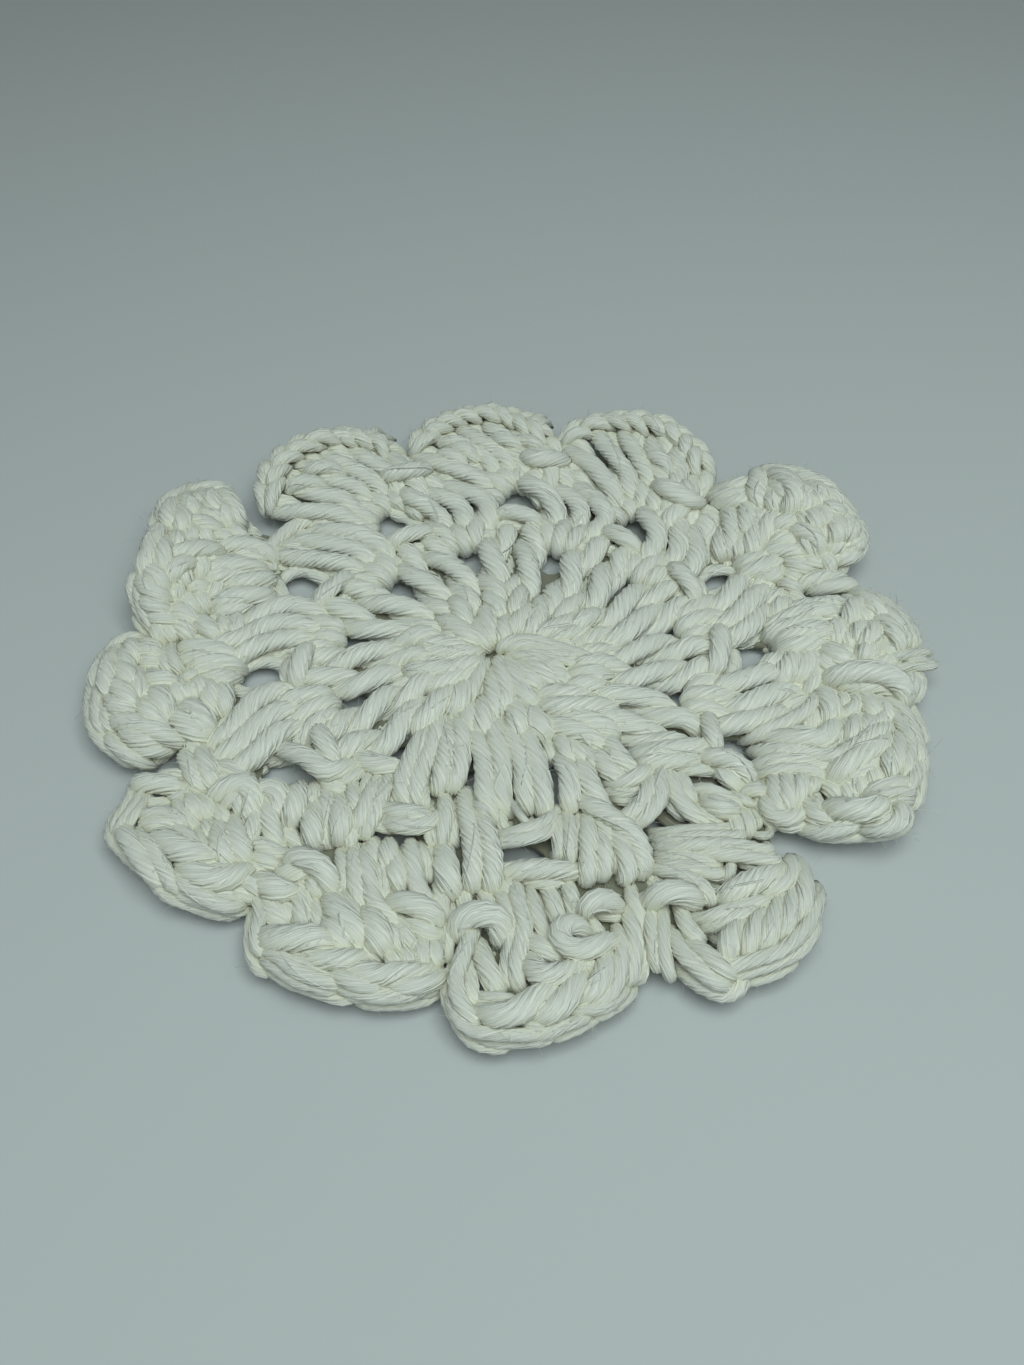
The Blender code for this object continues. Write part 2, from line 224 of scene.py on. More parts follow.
# The runs of the centre, of the front of rounds 2 and 3, and of nine petals.
CENTRE = (
    Laid(0.50, ((-0.7, 0.1, 3.0), (-0.7, 0.6, 3.9), (0.2, 1.6, 4.3), (1.7, 2.1, 4.3), (3.3, 2.0, 4.2),
        (5.0, 1.4, 4.0), (6.8, 0.5, 3.9), (8.6, -0.4, 3.8), (10.4, -1.5, 3.6), (11.6, -2.6, 2.8))),
    Laid(0.50, ((0.0, -0.2, 3.0), (0.3, 0.7, 4.0), (1.6, 1.4, 4.3), (3.1, 1.2, 4.2), (4.8, 0.5, 4.0),
        (6.6, -0.4, 3.9), (8.6, -1.3, 3.8), (10.6, -2.2, 3.0))),
    Laid(0.46, ((0.6, -0.2, 3.2), (1.8, 0.5, 4.0), (3.2, 0.3, 4.1), (4.8, -0.6, 4.0), (6.6, -1.4, 3.8),
        (8.6, -2.2, 3.7), (10.4, -3.0, 3.0))),
    Laid(0.52, ((0.3, -1.0, 3.2), (1.7, -0.7, 3.9), (3.2, -1.1, 4.0), (4.7, -2.0, 3.9), (6.1, -3.1, 3.7),
        (7.4, -4.2, 3.0))),
    Laid(0.85, ((-4.5, -0.4, 3.2), (-5.2, -0.4, 3.7), (-7.4, -0.3, 3.7), (-9.6, -0.2, 3.5),
        (-11.6, 0.1, 2.8))),
    Laid(0.85, ((-4.4, 0.6, 3.2), (-5.0, 0.8, 3.7), (-7.0, 1.1, 3.7), (-9.2, 1.3, 3.6), (-11.4, 1.4, 2.8))),
    Laid(0.85, ((-4.4, -1.4, 3.2), (-5.0, -1.5, 3.7), (-7.2, -1.6, 3.7), (-9.4, -2.0, 3.5),
        (-11.8, -2.4, 2.8))),
    Laid(0.85, ((-4.0, -2.4, 3.2), (-5.2, -2.8, 3.8), (-7.4, -3.1, 3.9), (-9.8, -3.4, 3.8),
        (-12.4, -3.6, 3.0))),
    Laid(0.85, ((-3.5, -2.9, 3.0), (-5.0, -3.8, 3.7), (-7.0, -4.6, 3.9), (-9.0, -5.2, 3.7),
        (-10.8, -5.6, 2.8))),
    Laid(0.60, ((-3.2, -3.0, 3.2), (-3.6, -3.8, 3.8), (-4.4, -5.4, 3.9), (-5.0, -7.2, 3.8),
        (-5.5, -9.0, 2.8))),
    Laid(0.95, ((-4.8, -5.4, 3.0), (-5.8, -7.2, 3.8), (-6.6, -8.8, 3.9), (-7.4, -10.4, 2.8))),
    Laid(0.95, ((-6.6, -6.8, 3.0), (-8.0, -8.2, 3.8), (-9.2, -9.9, 3.8), (-10.2, -11.8, 3.6),
        (-10.9, -13.6, 2.8))),
    Laid(0.50, ((-2.5, -3.2, 3.2), (-2.8, -4.4, 3.6), (-3.1, -6.2, 3.4), (-3.4, -7.8, 2.6))),
    Laid(0.80, ((-1.7, -3.1, 3.2), (-1.6, -4.8, 3.9), (-1.5, -7.0, 3.9), (-1.6, -9.2, 3.8),
        (-1.5, -11.6, 2.8))),
    Laid(0.72, ((-0.9, -2.8, 3.2), (-0.5, -4.8, 3.9), (-0.3, -6.8, 3.9), (-0.4, -8.8, 3.8),
        (-0.9, -10.8, 2.8))),
    Laid(0.90, ((-2.7, -8.6, 2.8), (-3.0, -10.4, 3.7), (-3.1, -12.4, 3.7), (-3.0, -14.4, 2.8))),
    Laid(0.90, ((-4.6, -9.9, 2.8), (-4.6, -11.6, 3.6), (-4.5, -13.4, 3.2), (-4.4, -14.8, 2.6))),
    Laid(0.80, ((0.1, -2.6, 3.2), (0.9, -4.4, 3.9), (1.7, -6.2, 3.9), (2.4, -8.0, 3.8), (3.0, -9.8, 2.8))),
    Laid(0.62, ((-0.3, -3.4, 3.2), (0.2, -5.2, 3.8), (0.6, -6.6, 2.8))),
    Laid(0.98, ((1.0, -9.4, 2.6), (1.3, -11.2, 3.6), (1.5, -13.0, 3.7), (1.6, -14.6, 2.8))),
    Laid(0.98, ((2.4, -9.6, 2.6), (3.0, -11.4, 3.7), (3.8, -13.2, 3.8), (4.6, -14.6, 2.8))),
    Laid(0.80, ((1.1, -2.0, 3.2), (2.3, -3.8, 3.9), (3.3, -5.6, 3.9), (4.2, -7.4, 2.8))),
    Laid(0.80, ((2.2, -1.6, 3.2), (3.7, -3.2, 3.9), (5.0, -4.8, 3.9), (6.1, -6.6, 2.8))),
    Laid(0.72, ((3.6, -1.8, 3.0), (5.1, -3.3, 3.7), (6.6, -4.8, 3.7), (8.0, -6.2, 2.8))),
    Laid(0.98, ((4.0, -7.8, 2.6), (6.0, -8.1, 3.7), (8.0, -8.1, 3.7), (9.8, -8.3, 2.8))),
    Laid(0.98, ((4.4, -9.1, 2.6), (6.4, -9.7, 3.7), (8.4, -9.9, 3.8), (10.6, -10.0, 3.6),
        (12.6, -10.6, 2.8))),
    Laid(0.95, ((5.4, -10.9, 2.6), (7.4, -11.4, 3.7), (9.4, -12.0, 3.8), (11.2, -13.0, 3.7),
        (12.4, -14.6, 2.8))),
    Laid(0.95, ((5.6, -12.5, 2.6), (7.2, -13.2, 3.6), (9.0, -13.9, 3.8), (10.4, -15.0, 3.7),
        (11.4, -16.6, 2.8))),
    Laid(0.95, ((8.2, -4.6, 2.6), (10.2, -4.8, 3.7), (12.4, -4.8, 3.0))),
    Laid(0.95, ((7.4, -6.0, 2.6), (9.4, -6.2, 3.6), (11.6, -6.4, 3.0))),
    Laid(0.80, ((-1.1, 1.5, 3.2), (-0.9, 2.2, 3.9), (-0.3, 4.2, 3.9), (0.1, 6.2, 2.8))),
    Laid(0.88, ((0.2, 2.8, 3.0), (1.2, 4.4, 3.8), (2.0, 6.2, 3.8), (2.6, 8.2, 2.8))),
    Laid(0.88, ((1.9, 2.8, 3.0), (3.1, 4.0, 3.8), (4.0, 5.6, 3.8), (4.5, 7.4, 3.6), (4.7, 9.4, 2.8))),
    Laid(0.88, ((3.8, 2.5, 3.0), (5.2, 3.3, 3.8), (6.8, 3.9, 3.7), (8.4, 4.7, 3.6), (9.6, 6.2, 2.8))),
    Laid(0.80, ((5.6, 1.8, 3.0), (7.2, 2.7, 3.7), (8.8, 3.2, 3.6), (10.4, 4.2, 2.8))),
    Laid(0.62, ((6.9, 2.4, 3.0), (7.5, 1.2, 3.7), (8.3, 0.2, 2.8))),
    Laid(0.62, ((9.0, 2.8, 2.8), (9.5, 1.4, 3.6), (9.6, 0.0, 2.8))),
    Laid(0.85, ((-2.1, 1.5, 3.2), (-2.2, 2.2, 3.9), (-2.4, 4.2, 3.8), (-2.6, 6.2, 3.7), (-2.8, 8.2, 2.8))),
    Laid(0.80, ((-3.1, 1.3, 3.2), (-3.3, 1.9, 3.8), (-3.8, 3.7, 3.8), (-4.0, 5.6, 2.8))),
    Laid(0.88, ((-3.9, 1.3, 3.2), (-4.4, 1.8, 3.8), (-5.8, 3.2, 3.8), (-7.2, 4.6, 3.7), (-8.6, 6.2, 2.8))),
    Laid(0.88, ((-4.2, 1.2, 3.2), (-5.2, 1.8, 3.7), (-6.8, 2.6, 3.7), (-7.8, 3.6, 2.8))),
    Laid(0.88, ((-4.6, 3.4, 2.8), (-5.4, 5.4, 3.7), (-6.2, 7.4, 3.7), (-7.2, 9.4, 2.8))),
    Laid(0.80, ((-0.6, 5.4, 2.8), (-1.0, 7.4, 3.7), (-1.6, 9.4, 3.6), (-2.2, 11.2, 2.8))),
    Laid(0.80, ((1.2, 5.8, 2.8), (1.4, 7.8, 3.7), (1.6, 9.8, 3.6), (1.8, 11.6, 2.8))),
)
PAIRS_FRONT = (
    Laid(0.86, ((-4.2, -13.2, 2.8), (-3.8, -15.2, 3.7), (-3.1, -17.2, 3.8), (-2.8, -19.2, 3.9),
        (-2.8, -21.0, 4.0), (-3.0, -23.0, 4.0), (-2.6, -25.0, 3.6), (-1.9, -26.8, 2.8))),
    Laid(0.86, ((-1.8, -11.6, 2.8), (-1.7, -13.6, 3.7), (-1.3, -15.6, 3.8), (-0.9, -17.6, 3.9),
        (-0.8, -19.8, 3.9), (-1.0, -22.0, 3.9), (-0.9, -24.0, 3.7), (-0.2, -26.0, 2.8))),
    Laid(0.86, ((-0.6, -11.8, 2.4), (0.0, -13.6, 3.4), (0.6, -15.2, 3.7), (1.3, -17.2, 3.8),
        (1.7, -19.2, 3.9), (1.7, -21.4, 3.9), (1.8, -23.6, 3.7), (2.2, -25.6, 2.8))),
    Laid(0.86, ((1.2, -12.6, 2.6), (2.0, -14.2, 3.5), (2.6, -15.8, 3.7), (3.2, -17.6, 3.8),
        (3.5, -19.6, 3.9), (3.8, -22.0, 3.9), (4.0, -24.2, 3.7), (4.0, -26.2, 2.8))),
    Laid(0.32, ((0.3, -24.6, 3.8), (1.0, -25.8, 4.4), (1.7, -26.8, 4.4), (2.2, -27.7, 3.8))),
    Laid(0.64, ((-1.8, -30.2, 2.6), (-0.3, -29.7, 3.9), (1.4, -29.3, 4.3), (3.2, -28.9, 4.2),
        (4.5, -28.1, 3.8), (5.2, -26.9, 2.8))),
    Laid(0.58, ((-1.4, -28.8, 2.8), (0.2, -28.8, 3.8), (1.3, -28.0, 4.4), (2.8, -28.0, 4.3),
        (4.2, -27.5, 4.0), (5.0, -26.4, 3.0))),
    Laid(0.60, ((-1.9, -25.2, 2.4), (-1.3, -26.8, 3.0), (-0.5, -28.2, 2.6))),
    Laid(0.50, ((-9.2, -20.0, 2.6), (-10.2, -21.6, 3.3), (-10.4, -23.2, 3.4), (-10.0, -24.9, 2.8))),
    Laid(0.80, ((-13.8, -22.3, 2.2), (-13.4, -23.4, 3.0), (-13.0, -24.7, 2.6))),
    Laid(0.82, ((-14.8, -25.0, 2.8), (-13.0, -25.5, 4.2), (-11.2, -25.8, 4.4), (-9.6, -26.2, 3.9),
        (-8.7, -27.0, 2.8))),
    Laid(0.82, ((-14.3, -26.4, 2.8), (-12.8, -26.9, 4.0), (-11.1, -27.1, 4.2), (-9.6, -27.1, 3.8),
        (-8.6, -26.6, 2.8))),
    Laid(0.50, ((-15.7, -27.4, 2.6), (-14.9, -26.9, 3.4), (-14.0, -27.1, 3.2), (-13.2, -27.8, 2.4))),
    Laid(0.95, ((6.8, -17.8, 2.8), (7.1, -19.8, 3.8), (7.1, -21.8, 3.9), (7.0, -23.8, 3.7),
        (7.0, -25.6, 2.8))),
    Laid(0.90, ((8.6, -18.2, 2.8), (9.1, -20.2, 3.7), (9.4, -22.2, 3.8), (9.9, -24.0, 3.5),
        (10.7, -25.8, 2.8))),
    Laid(0.50, ((8.3, -14.6, 2.8), (9.2, -16.6, 3.6), (10.1, -18.6, 3.7), (10.8, -20.6, 2.8))),
    Laid(0.95, ((11.4, -15.2, 2.8), (12.4, -17.2, 3.8), (13.4, -19.1, 3.9), (14.2, -20.7, 3.0))),
    Laid(0.95, ((10.4, -17.0, 2.8), (11.2, -18.8, 3.8), (12.3, -20.5, 3.8), (13.4, -21.8, 2.8))),
    Laid(0.80, ((12.2, -21.9, 2.8), (14.2, -21.3, 3.8), (15.8, -20.7, 3.8), (17.0, -19.8, 2.8))),
    Laid(0.72, ((12.2, -23.0, 2.6), (14.0, -22.7, 3.3), (15.6, -22.3, 2.6))),
    Laid(0.50, ((12.2, -23.8, 2.2), (13.4, -24.4, 2.8), (14.6, -24.6, 2.2))),
    Laid(0.74, ((16.6, -20.3, 2.8), (16.6, -22.2, 4.1), (16.0, -23.9, 4.3), (14.9, -25.3, 4.3),
        (13.6, -26.5, 3.9), (12.5, -27.3, 2.8))),
    Laid(0.74, ((17.8, -19.6, 2.8), (17.8, -21.8, 4.1), (17.4, -23.8, 4.3), (16.4, -25.6, 4.3),
        (15.1, -27.0, 4.0), (13.9, -28.0, 2.8))),
    Laid(0.88, ((24.6, -12.4, 3.0), (24.6, -14.2, 4.1), (24.5, -15.8, 4.0), (24.3, -17.6, 2.8))),
    Laid(0.88, ((-7.0, -11.4, 2.8), (-7.2, -13.6, 3.7), (-7.4, -15.8, 3.9), (-7.6, -18.0, 3.9),
        (-7.9, -20.4, 3.8), (-8.3, -22.6, 2.8))),
    Laid(0.88, ((-5.8, -11.2, 2.8), (-5.6, -13.4, 3.7), (-5.6, -15.4, 3.9), (-5.7, -17.6, 3.9),
        (-6.0, -19.8, 3.8), (-6.8, -22.2, 2.8))),
    Laid(0.88, ((-9.2, -12.0, 2.8), (-10.0, -14.2, 3.7), (-10.9, -16.4, 3.8), (-11.8, -18.4, 3.9),
        (-12.4, -20.4, 3.9), (-12.2, -22.5, 3.8), (-11.7, -24.6, 2.8))),
    Laid(0.88, ((-8.4, -11.6, 2.8), (-9.0, -14.0, 3.7), (-9.8, -16.4, 3.8), (-10.4, -18.5, 3.9),
        (-10.8, -20.6, 3.8), (-10.9, -22.6, 3.7), (-10.7, -24.5, 2.8))),
    Laid(0.62, ((4.5, -14.8, 2.4), (5.0, -16.6, 3.2), (5.2, -18.4, 2.6))),
    Laid(0.80, ((6.2, -13.6, 2.6), (6.6, -15.4, 3.6), (6.9, -17.2, 3.6), (7.1, -19.2, 2.8))),
    Laid(0.70, ((7.4, -14.0, 2.6), (7.8, -15.8, 3.5), (8.4, -17.6, 3.6), (9.0, -19.4, 2.8))),
)
GROUPS_FRONT = (
    Laid(0.82, ((-4.9, -23.6, 2.8), (-4.6, -26.0, 3.8), (-4.3, -28.5, 4.1), (-4.1, -31.0, 4.1),
        (-4.1, -33.5, 3.9), (-4.3, -36.0, 2.8))),
    Laid(0.82, ((-3.5, -24.4, 2.8), (-3.0, -26.6, 3.8), (-2.5, -28.9, 4.1), (-2.1, -31.2, 4.1),
        (-1.9, -33.6, 3.9), (-2.2, -36.2, 2.8))),
    Laid(0.42, ((-4.2, -24.8, 3.4), (-3.4, -24.4, 4.3), (-2.8, -25.1, 4.3), (-2.5, -26.6, 3.4))),
    Laid(0.70, ((-7.6, -23.8, 2.6), (-7.4, -26.0, 3.5), (-7.6, -28.0, 3.6), (-7.8, -30.0, 2.8))),
    Laid(0.58, ((-6.0, -24.6, 2.4), (-6.3, -26.6, 3.1), (-6.6, -28.6, 3.1), (-6.3, -30.2, 2.4))),
    Laid(1.00, ((-7.6, -30.6, 2.6), (-7.2, -32.6, 3.8), (-6.9, -34.6, 3.8), (-6.7, -36.6, 2.8))),
    Laid(0.62, ((-9.0, -25.8, 2.6), (-8.9, -27.9, 3.4), (-8.6, -29.9, 2.8))),
    Laid(0.62, ((-9.4, -30.9, 2.4), (-9.4, -32.8, 3.0), (-9.2, -34.6, 2.6))),
    Laid(0.62, ((5.2, -26.6, 2.6), (5.5, -28.6, 3.6), (5.6, -30.6, 3.6), (5.2, -32.4, 2.6))),
    Laid(0.62, ((6.5, -26.2, 2.8), (6.7, -28.4, 3.8), (6.7, -30.6, 3.9), (6.7, -32.9, 2.8))),
    Laid(0.40, ((8.0, -27.0, 2.8), (7.6, -28.4, 3.5), (7.4, -29.8, 2.8))),
    Laid(0.80, ((8.9, -27.0, 2.8), (9.0, -29.2, 3.8), (8.9, -31.4, 3.9), (8.6, -33.6, 3.6),
        (8.3, -35.4, 2.8))),
    Laid(0.80, ((10.3, -28.2, 2.8), (10.5, -30.4, 3.7), (10.4, -32.6, 3.8), (10.0, -34.8, 2.8))),
    Laid(0.88, ((-1.0, -34.3, 2.2), (1.0, -33.6, 3.4), (3.0, -33.5, 3.8), (5.0, -33.6, 3.7),
        (6.9, -34.3, 2.8))),
    Laid(0.62, ((1.5, -35.1, 2.2), (3.4, -35.3, 3.0), (5.4, -35.4, 2.6))),
    Laid(0.70, ((-0.5, -35.0, 2.4), (-0.1, -36.2, 3.0), (0.3, -37.4, 2.6))),
    Laid(0.88, ((8.0, -23.8, 2.6), (9.4, -24.9, 3.6), (10.8, -26.0, 3.9), (12.2, -27.3, 3.9),
        (13.4, -28.9, 3.9), (14.2, -30.7, 3.7), (14.6, -32.6, 3.5), (14.4, -34.6, 2.6))),
    Laid(0.82, ((11.0, -28.4, 2.8), (12.3, -29.9, 3.6), (12.9, -31.7, 3.8), (13.0, -33.7, 3.5),
        (12.7, -35.4, 2.8))),
    Laid(0.62, ((9.3, -26.2, 2.6), (10.5, -28.0, 3.1), (11.4, -30.0, 3.3), (11.8, -32.0, 3.3),
        (11.7, -34.0, 2.6))),
    Laid(0.95, ((-27.2, -15.8, 2.6), (-25.2, -16.3, 3.8), (-23.4, -17.4, 4.3), (-22.2, -18.8, 4.3),
        (-20.9, -19.4, 4.0), (-19.3, -18.9, 3.4), (-18.2, -18.3, 2.6))),
    Laid(0.95, ((-24.9, -22.6, 2.8), (-25.0, -23.6, 3.8), (-25.0, -24.6, 3.8), (-25.2, -26.4, 2.8))),
    Laid(0.82, ((-22.9, -22.2, 2.4), (-22.9, -23.2, 3.2), (-23.4, -24.6, 2.6))),
    Laid(0.95, ((-22.6, -24.2, 2.8), (-22.5, -26.2, 3.9), (-22.1, -28.0, 3.9), (-21.7, -29.6, 2.8))),
    Laid(0.72, ((-21.4, -22.0, 2.4), (-20.9, -24.0, 3.3), (-20.7, -26.0, 3.5), (-20.8, -28.0, 3.3),
        (-21.0, -29.6, 2.4))),
    Laid(0.95, ((-19.8, -23.7, 2.8), (-19.3, -25.6, 3.9), (-19.0, -27.4, 4.0), (-19.4, -29.2, 2.8))),
    Laid(0.72, ((-18.2, -24.6, 2.6), (-18.0, -26.4, 3.3), (-17.9, -28.2, 3.1), (-18.4, -29.9, 2.6))),
    Laid(0.72, ((-21.7, -20.4, 2.4), (-20.4, -21.4, 3.2), (-19.3, -22.3, 2.4))),
    Laid(0.62, ((-20.7, -21.0, 2.6), (-19.4, -20.6, 3.4), (-18.3, -19.8, 3.6), (-17.5, -18.8, 2.8))),
    Laid(0.90, ((-17.9, -17.8, 2.6), (-16.2, -18.2, 3.6), (-14.6, -18.7, 3.6), (-13.2, -19.3, 2.6))),
    Laid(0.70, ((-14.1, -19.4, 2.6), (-14.4, -21.2, 3.6), (-14.9, -23.0, 3.9), (-15.4, -24.8, 3.9),
        (-16.1, -26.6, 3.7), (-16.8, -28.6, 2.8))),
    Laid(0.70, ((-15.4, -20.0, 2.6), (-15.9, -22.0, 3.8), (-16.3, -24.0, 4.1), (-16.9, -26.0, 3.9),
        (-17.7, -28.2, 2.8))),
    Laid(0.52, ((-16.6, -19.2, 2.4), (-16.4, -20.6, 3.2), (-16.8, -22.4, 3.4), (-17.0, -24.0, 2.6))),
    Laid(0.62, ((-18.4, -21.0, 2.6), (-18.2, -22.6, 3.8), (-17.7, -24.4, 3.8), (-17.4, -26.2, 2.8))),
    Laid(0.90, ((-13.4, -31.0, 3.0), (-13.3, -32.0, 3.8), (-13.2, -33.2, 2.8))),
    Laid(0.85, ((-11.5, -31.3, 2.8), (-11.3, -32.2, 3.7), (-11.2, -33.4, 2.8))),
    Laid(0.80, ((-15.5, -30.4, 2.6), (-15.3, -31.8, 3.4), (-15.2, -33.2, 2.8))),
    Laid(0.72, ((-9.8, -31.0, 2.6), (-9.7, -32.0, 3.5), (-9.6, -33.2, 2.8))),
    Laid(0.72, ((18.6, -20.0, 2.6), (19.0, -22.0, 3.8), (19.4, -24.0, 3.8), (20.2, -25.7, 3.6),
        (21.4, -26.9, 3.3), (22.9, -27.8, 2.6))),
    Laid(0.64, ((19.8, -20.0, 2.6), (20.2, -21.8, 3.6), (20.6, -23.4, 3.5), (21.3, -24.9, 2.8))),
    Laid(0.62, ((18.3, -22.4, 2.2), (18.4, -24.2, 2.8), (18.9, -25.8, 2.8), (19.9, -26.9, 2.4))),
    Laid(0.95, ((15.8, -18.0, 2.6), (17.8, -17.4, 3.6), (19.8, -16.9, 3.9), (21.8, -17.0, 3.7),
        (23.6, -17.4, 2.8))),
    Laid(0.86, ((16.3, -19.2, 2.6), (18.2, -18.8, 3.6), (20.2, -18.5, 3.8), (22.3, -18.7, 2.8))),
    Laid(0.62, ((19.2, -19.7, 2.4), (20.9, -19.6, 3.3), (22.6, -19.9, 3.3), (24.0, -20.6, 2.6))),
    Laid(0.95, ((22.6, -17.8, 2.6), (24.5, -18.1, 4.1), (26.2, -18.5, 4.4), (27.3, -19.5, 4.3),
        (27.7, -20.9, 3.9), (27.9, -22.6, 2.8))),
    Laid(0.92, ((24.2, -20.3, 2.4), (25.5, -20.7, 3.6), (26.3, -21.7, 3.6), (26.7, -23.0, 2.6))),
    Laid(0.72, ((26.8, -23.6, 2.4), (27.9, -23.0, 3.6), (29.1, -23.1, 3.7), (29.5, -24.1, 2.8))),
    Laid(0.62, ((21.2, -23.1, 2.4), (22.7, -22.8, 3.5), (24.1, -23.5, 3.6), (25.3, -24.6, 3.4),
        (26.3, -25.8, 2.6))),
    Laid(0.95, ((22.6, -24.6, 2.6), (23.5, -25.5, 3.8), (24.8, -25.9, 3.8), (25.9, -26.6, 2.8))),
    Laid(0.60, ((21.6, -25.0, 2.2), (22.0, -26.2, 3.1), (22.8, -27.2, 3.1), (23.8, -28.2, 2.4))),
    Laid(0.42, ((25.6, -23.4, 2.6), (26.8, -24.5, 3.6), (28.3, -25.5, 2.6))),
    Laid(0.72, ((25.6, -26.9, 2.4), (25.6, -28.3, 3.3), (26.0, -29.8, 2.4))),
    Laid(0.72, ((26.8, -26.5, 2.4), (26.8, -28.0, 3.3), (26.8, -29.5, 2.4))),
    Laid(0.56, ((28.0, -26.1, 2.2), (27.7, -27.4, 2.8), (27.9, -28.6, 2.2))),
    Laid(0.38, ((26.9, -29.3, 2.4), (28.1, -29.7, 3.3), (29.4, -29.3, 2.4))),
)

# Which pairs, bars and groups the front's runs stand for, so that no rule makes them too.
LAID_PAIRS = (8, 9, 10)
LAID_BARS = (8, 9, 10, 11)
LAID_GROUPS = (7, 8, 9, 10)

# Tufts at two notches of the back, and the runs of each petal, named by its angle.
TUFTS = (
    Laid(0.55, ((-24.0, 45.4, 2.6), (-22.2, 46.2, 3.4), (-20.8, 47.4, 3.6), (-20.0, 48.6, 3.0))),
    Laid(0.50, ((-22.6, 44.6, 2.6), (-20.9, 45.7, 3.4), (-19.4, 46.6, 3.6), (-18.4, 47.0, 3.0))),
    Laid(0.38, ((-21.4, 44.0, 2.8), (-19.8, 45.0, 3.8), (-18.4, 45.4, 3.9), (-17.2, 44.9, 3.2))),
    Laid(0.55, ((2.4, 48.6, 2.6), (4.0, 50.0, 3.4), (5.2, 51.0, 3.6), (6.2, 51.5, 3.0))),
    Laid(0.50, ((3.0, 47.4, 2.6), (4.6, 49.0, 3.4), (5.8, 49.9, 3.6), (6.8, 50.2, 3.0))),
    Laid(0.36, ((4.2, 46.8, 2.8), (5.4, 47.8, 3.7), (6.6, 47.6, 3.7), (7.4, 46.2, 3.0))),
)
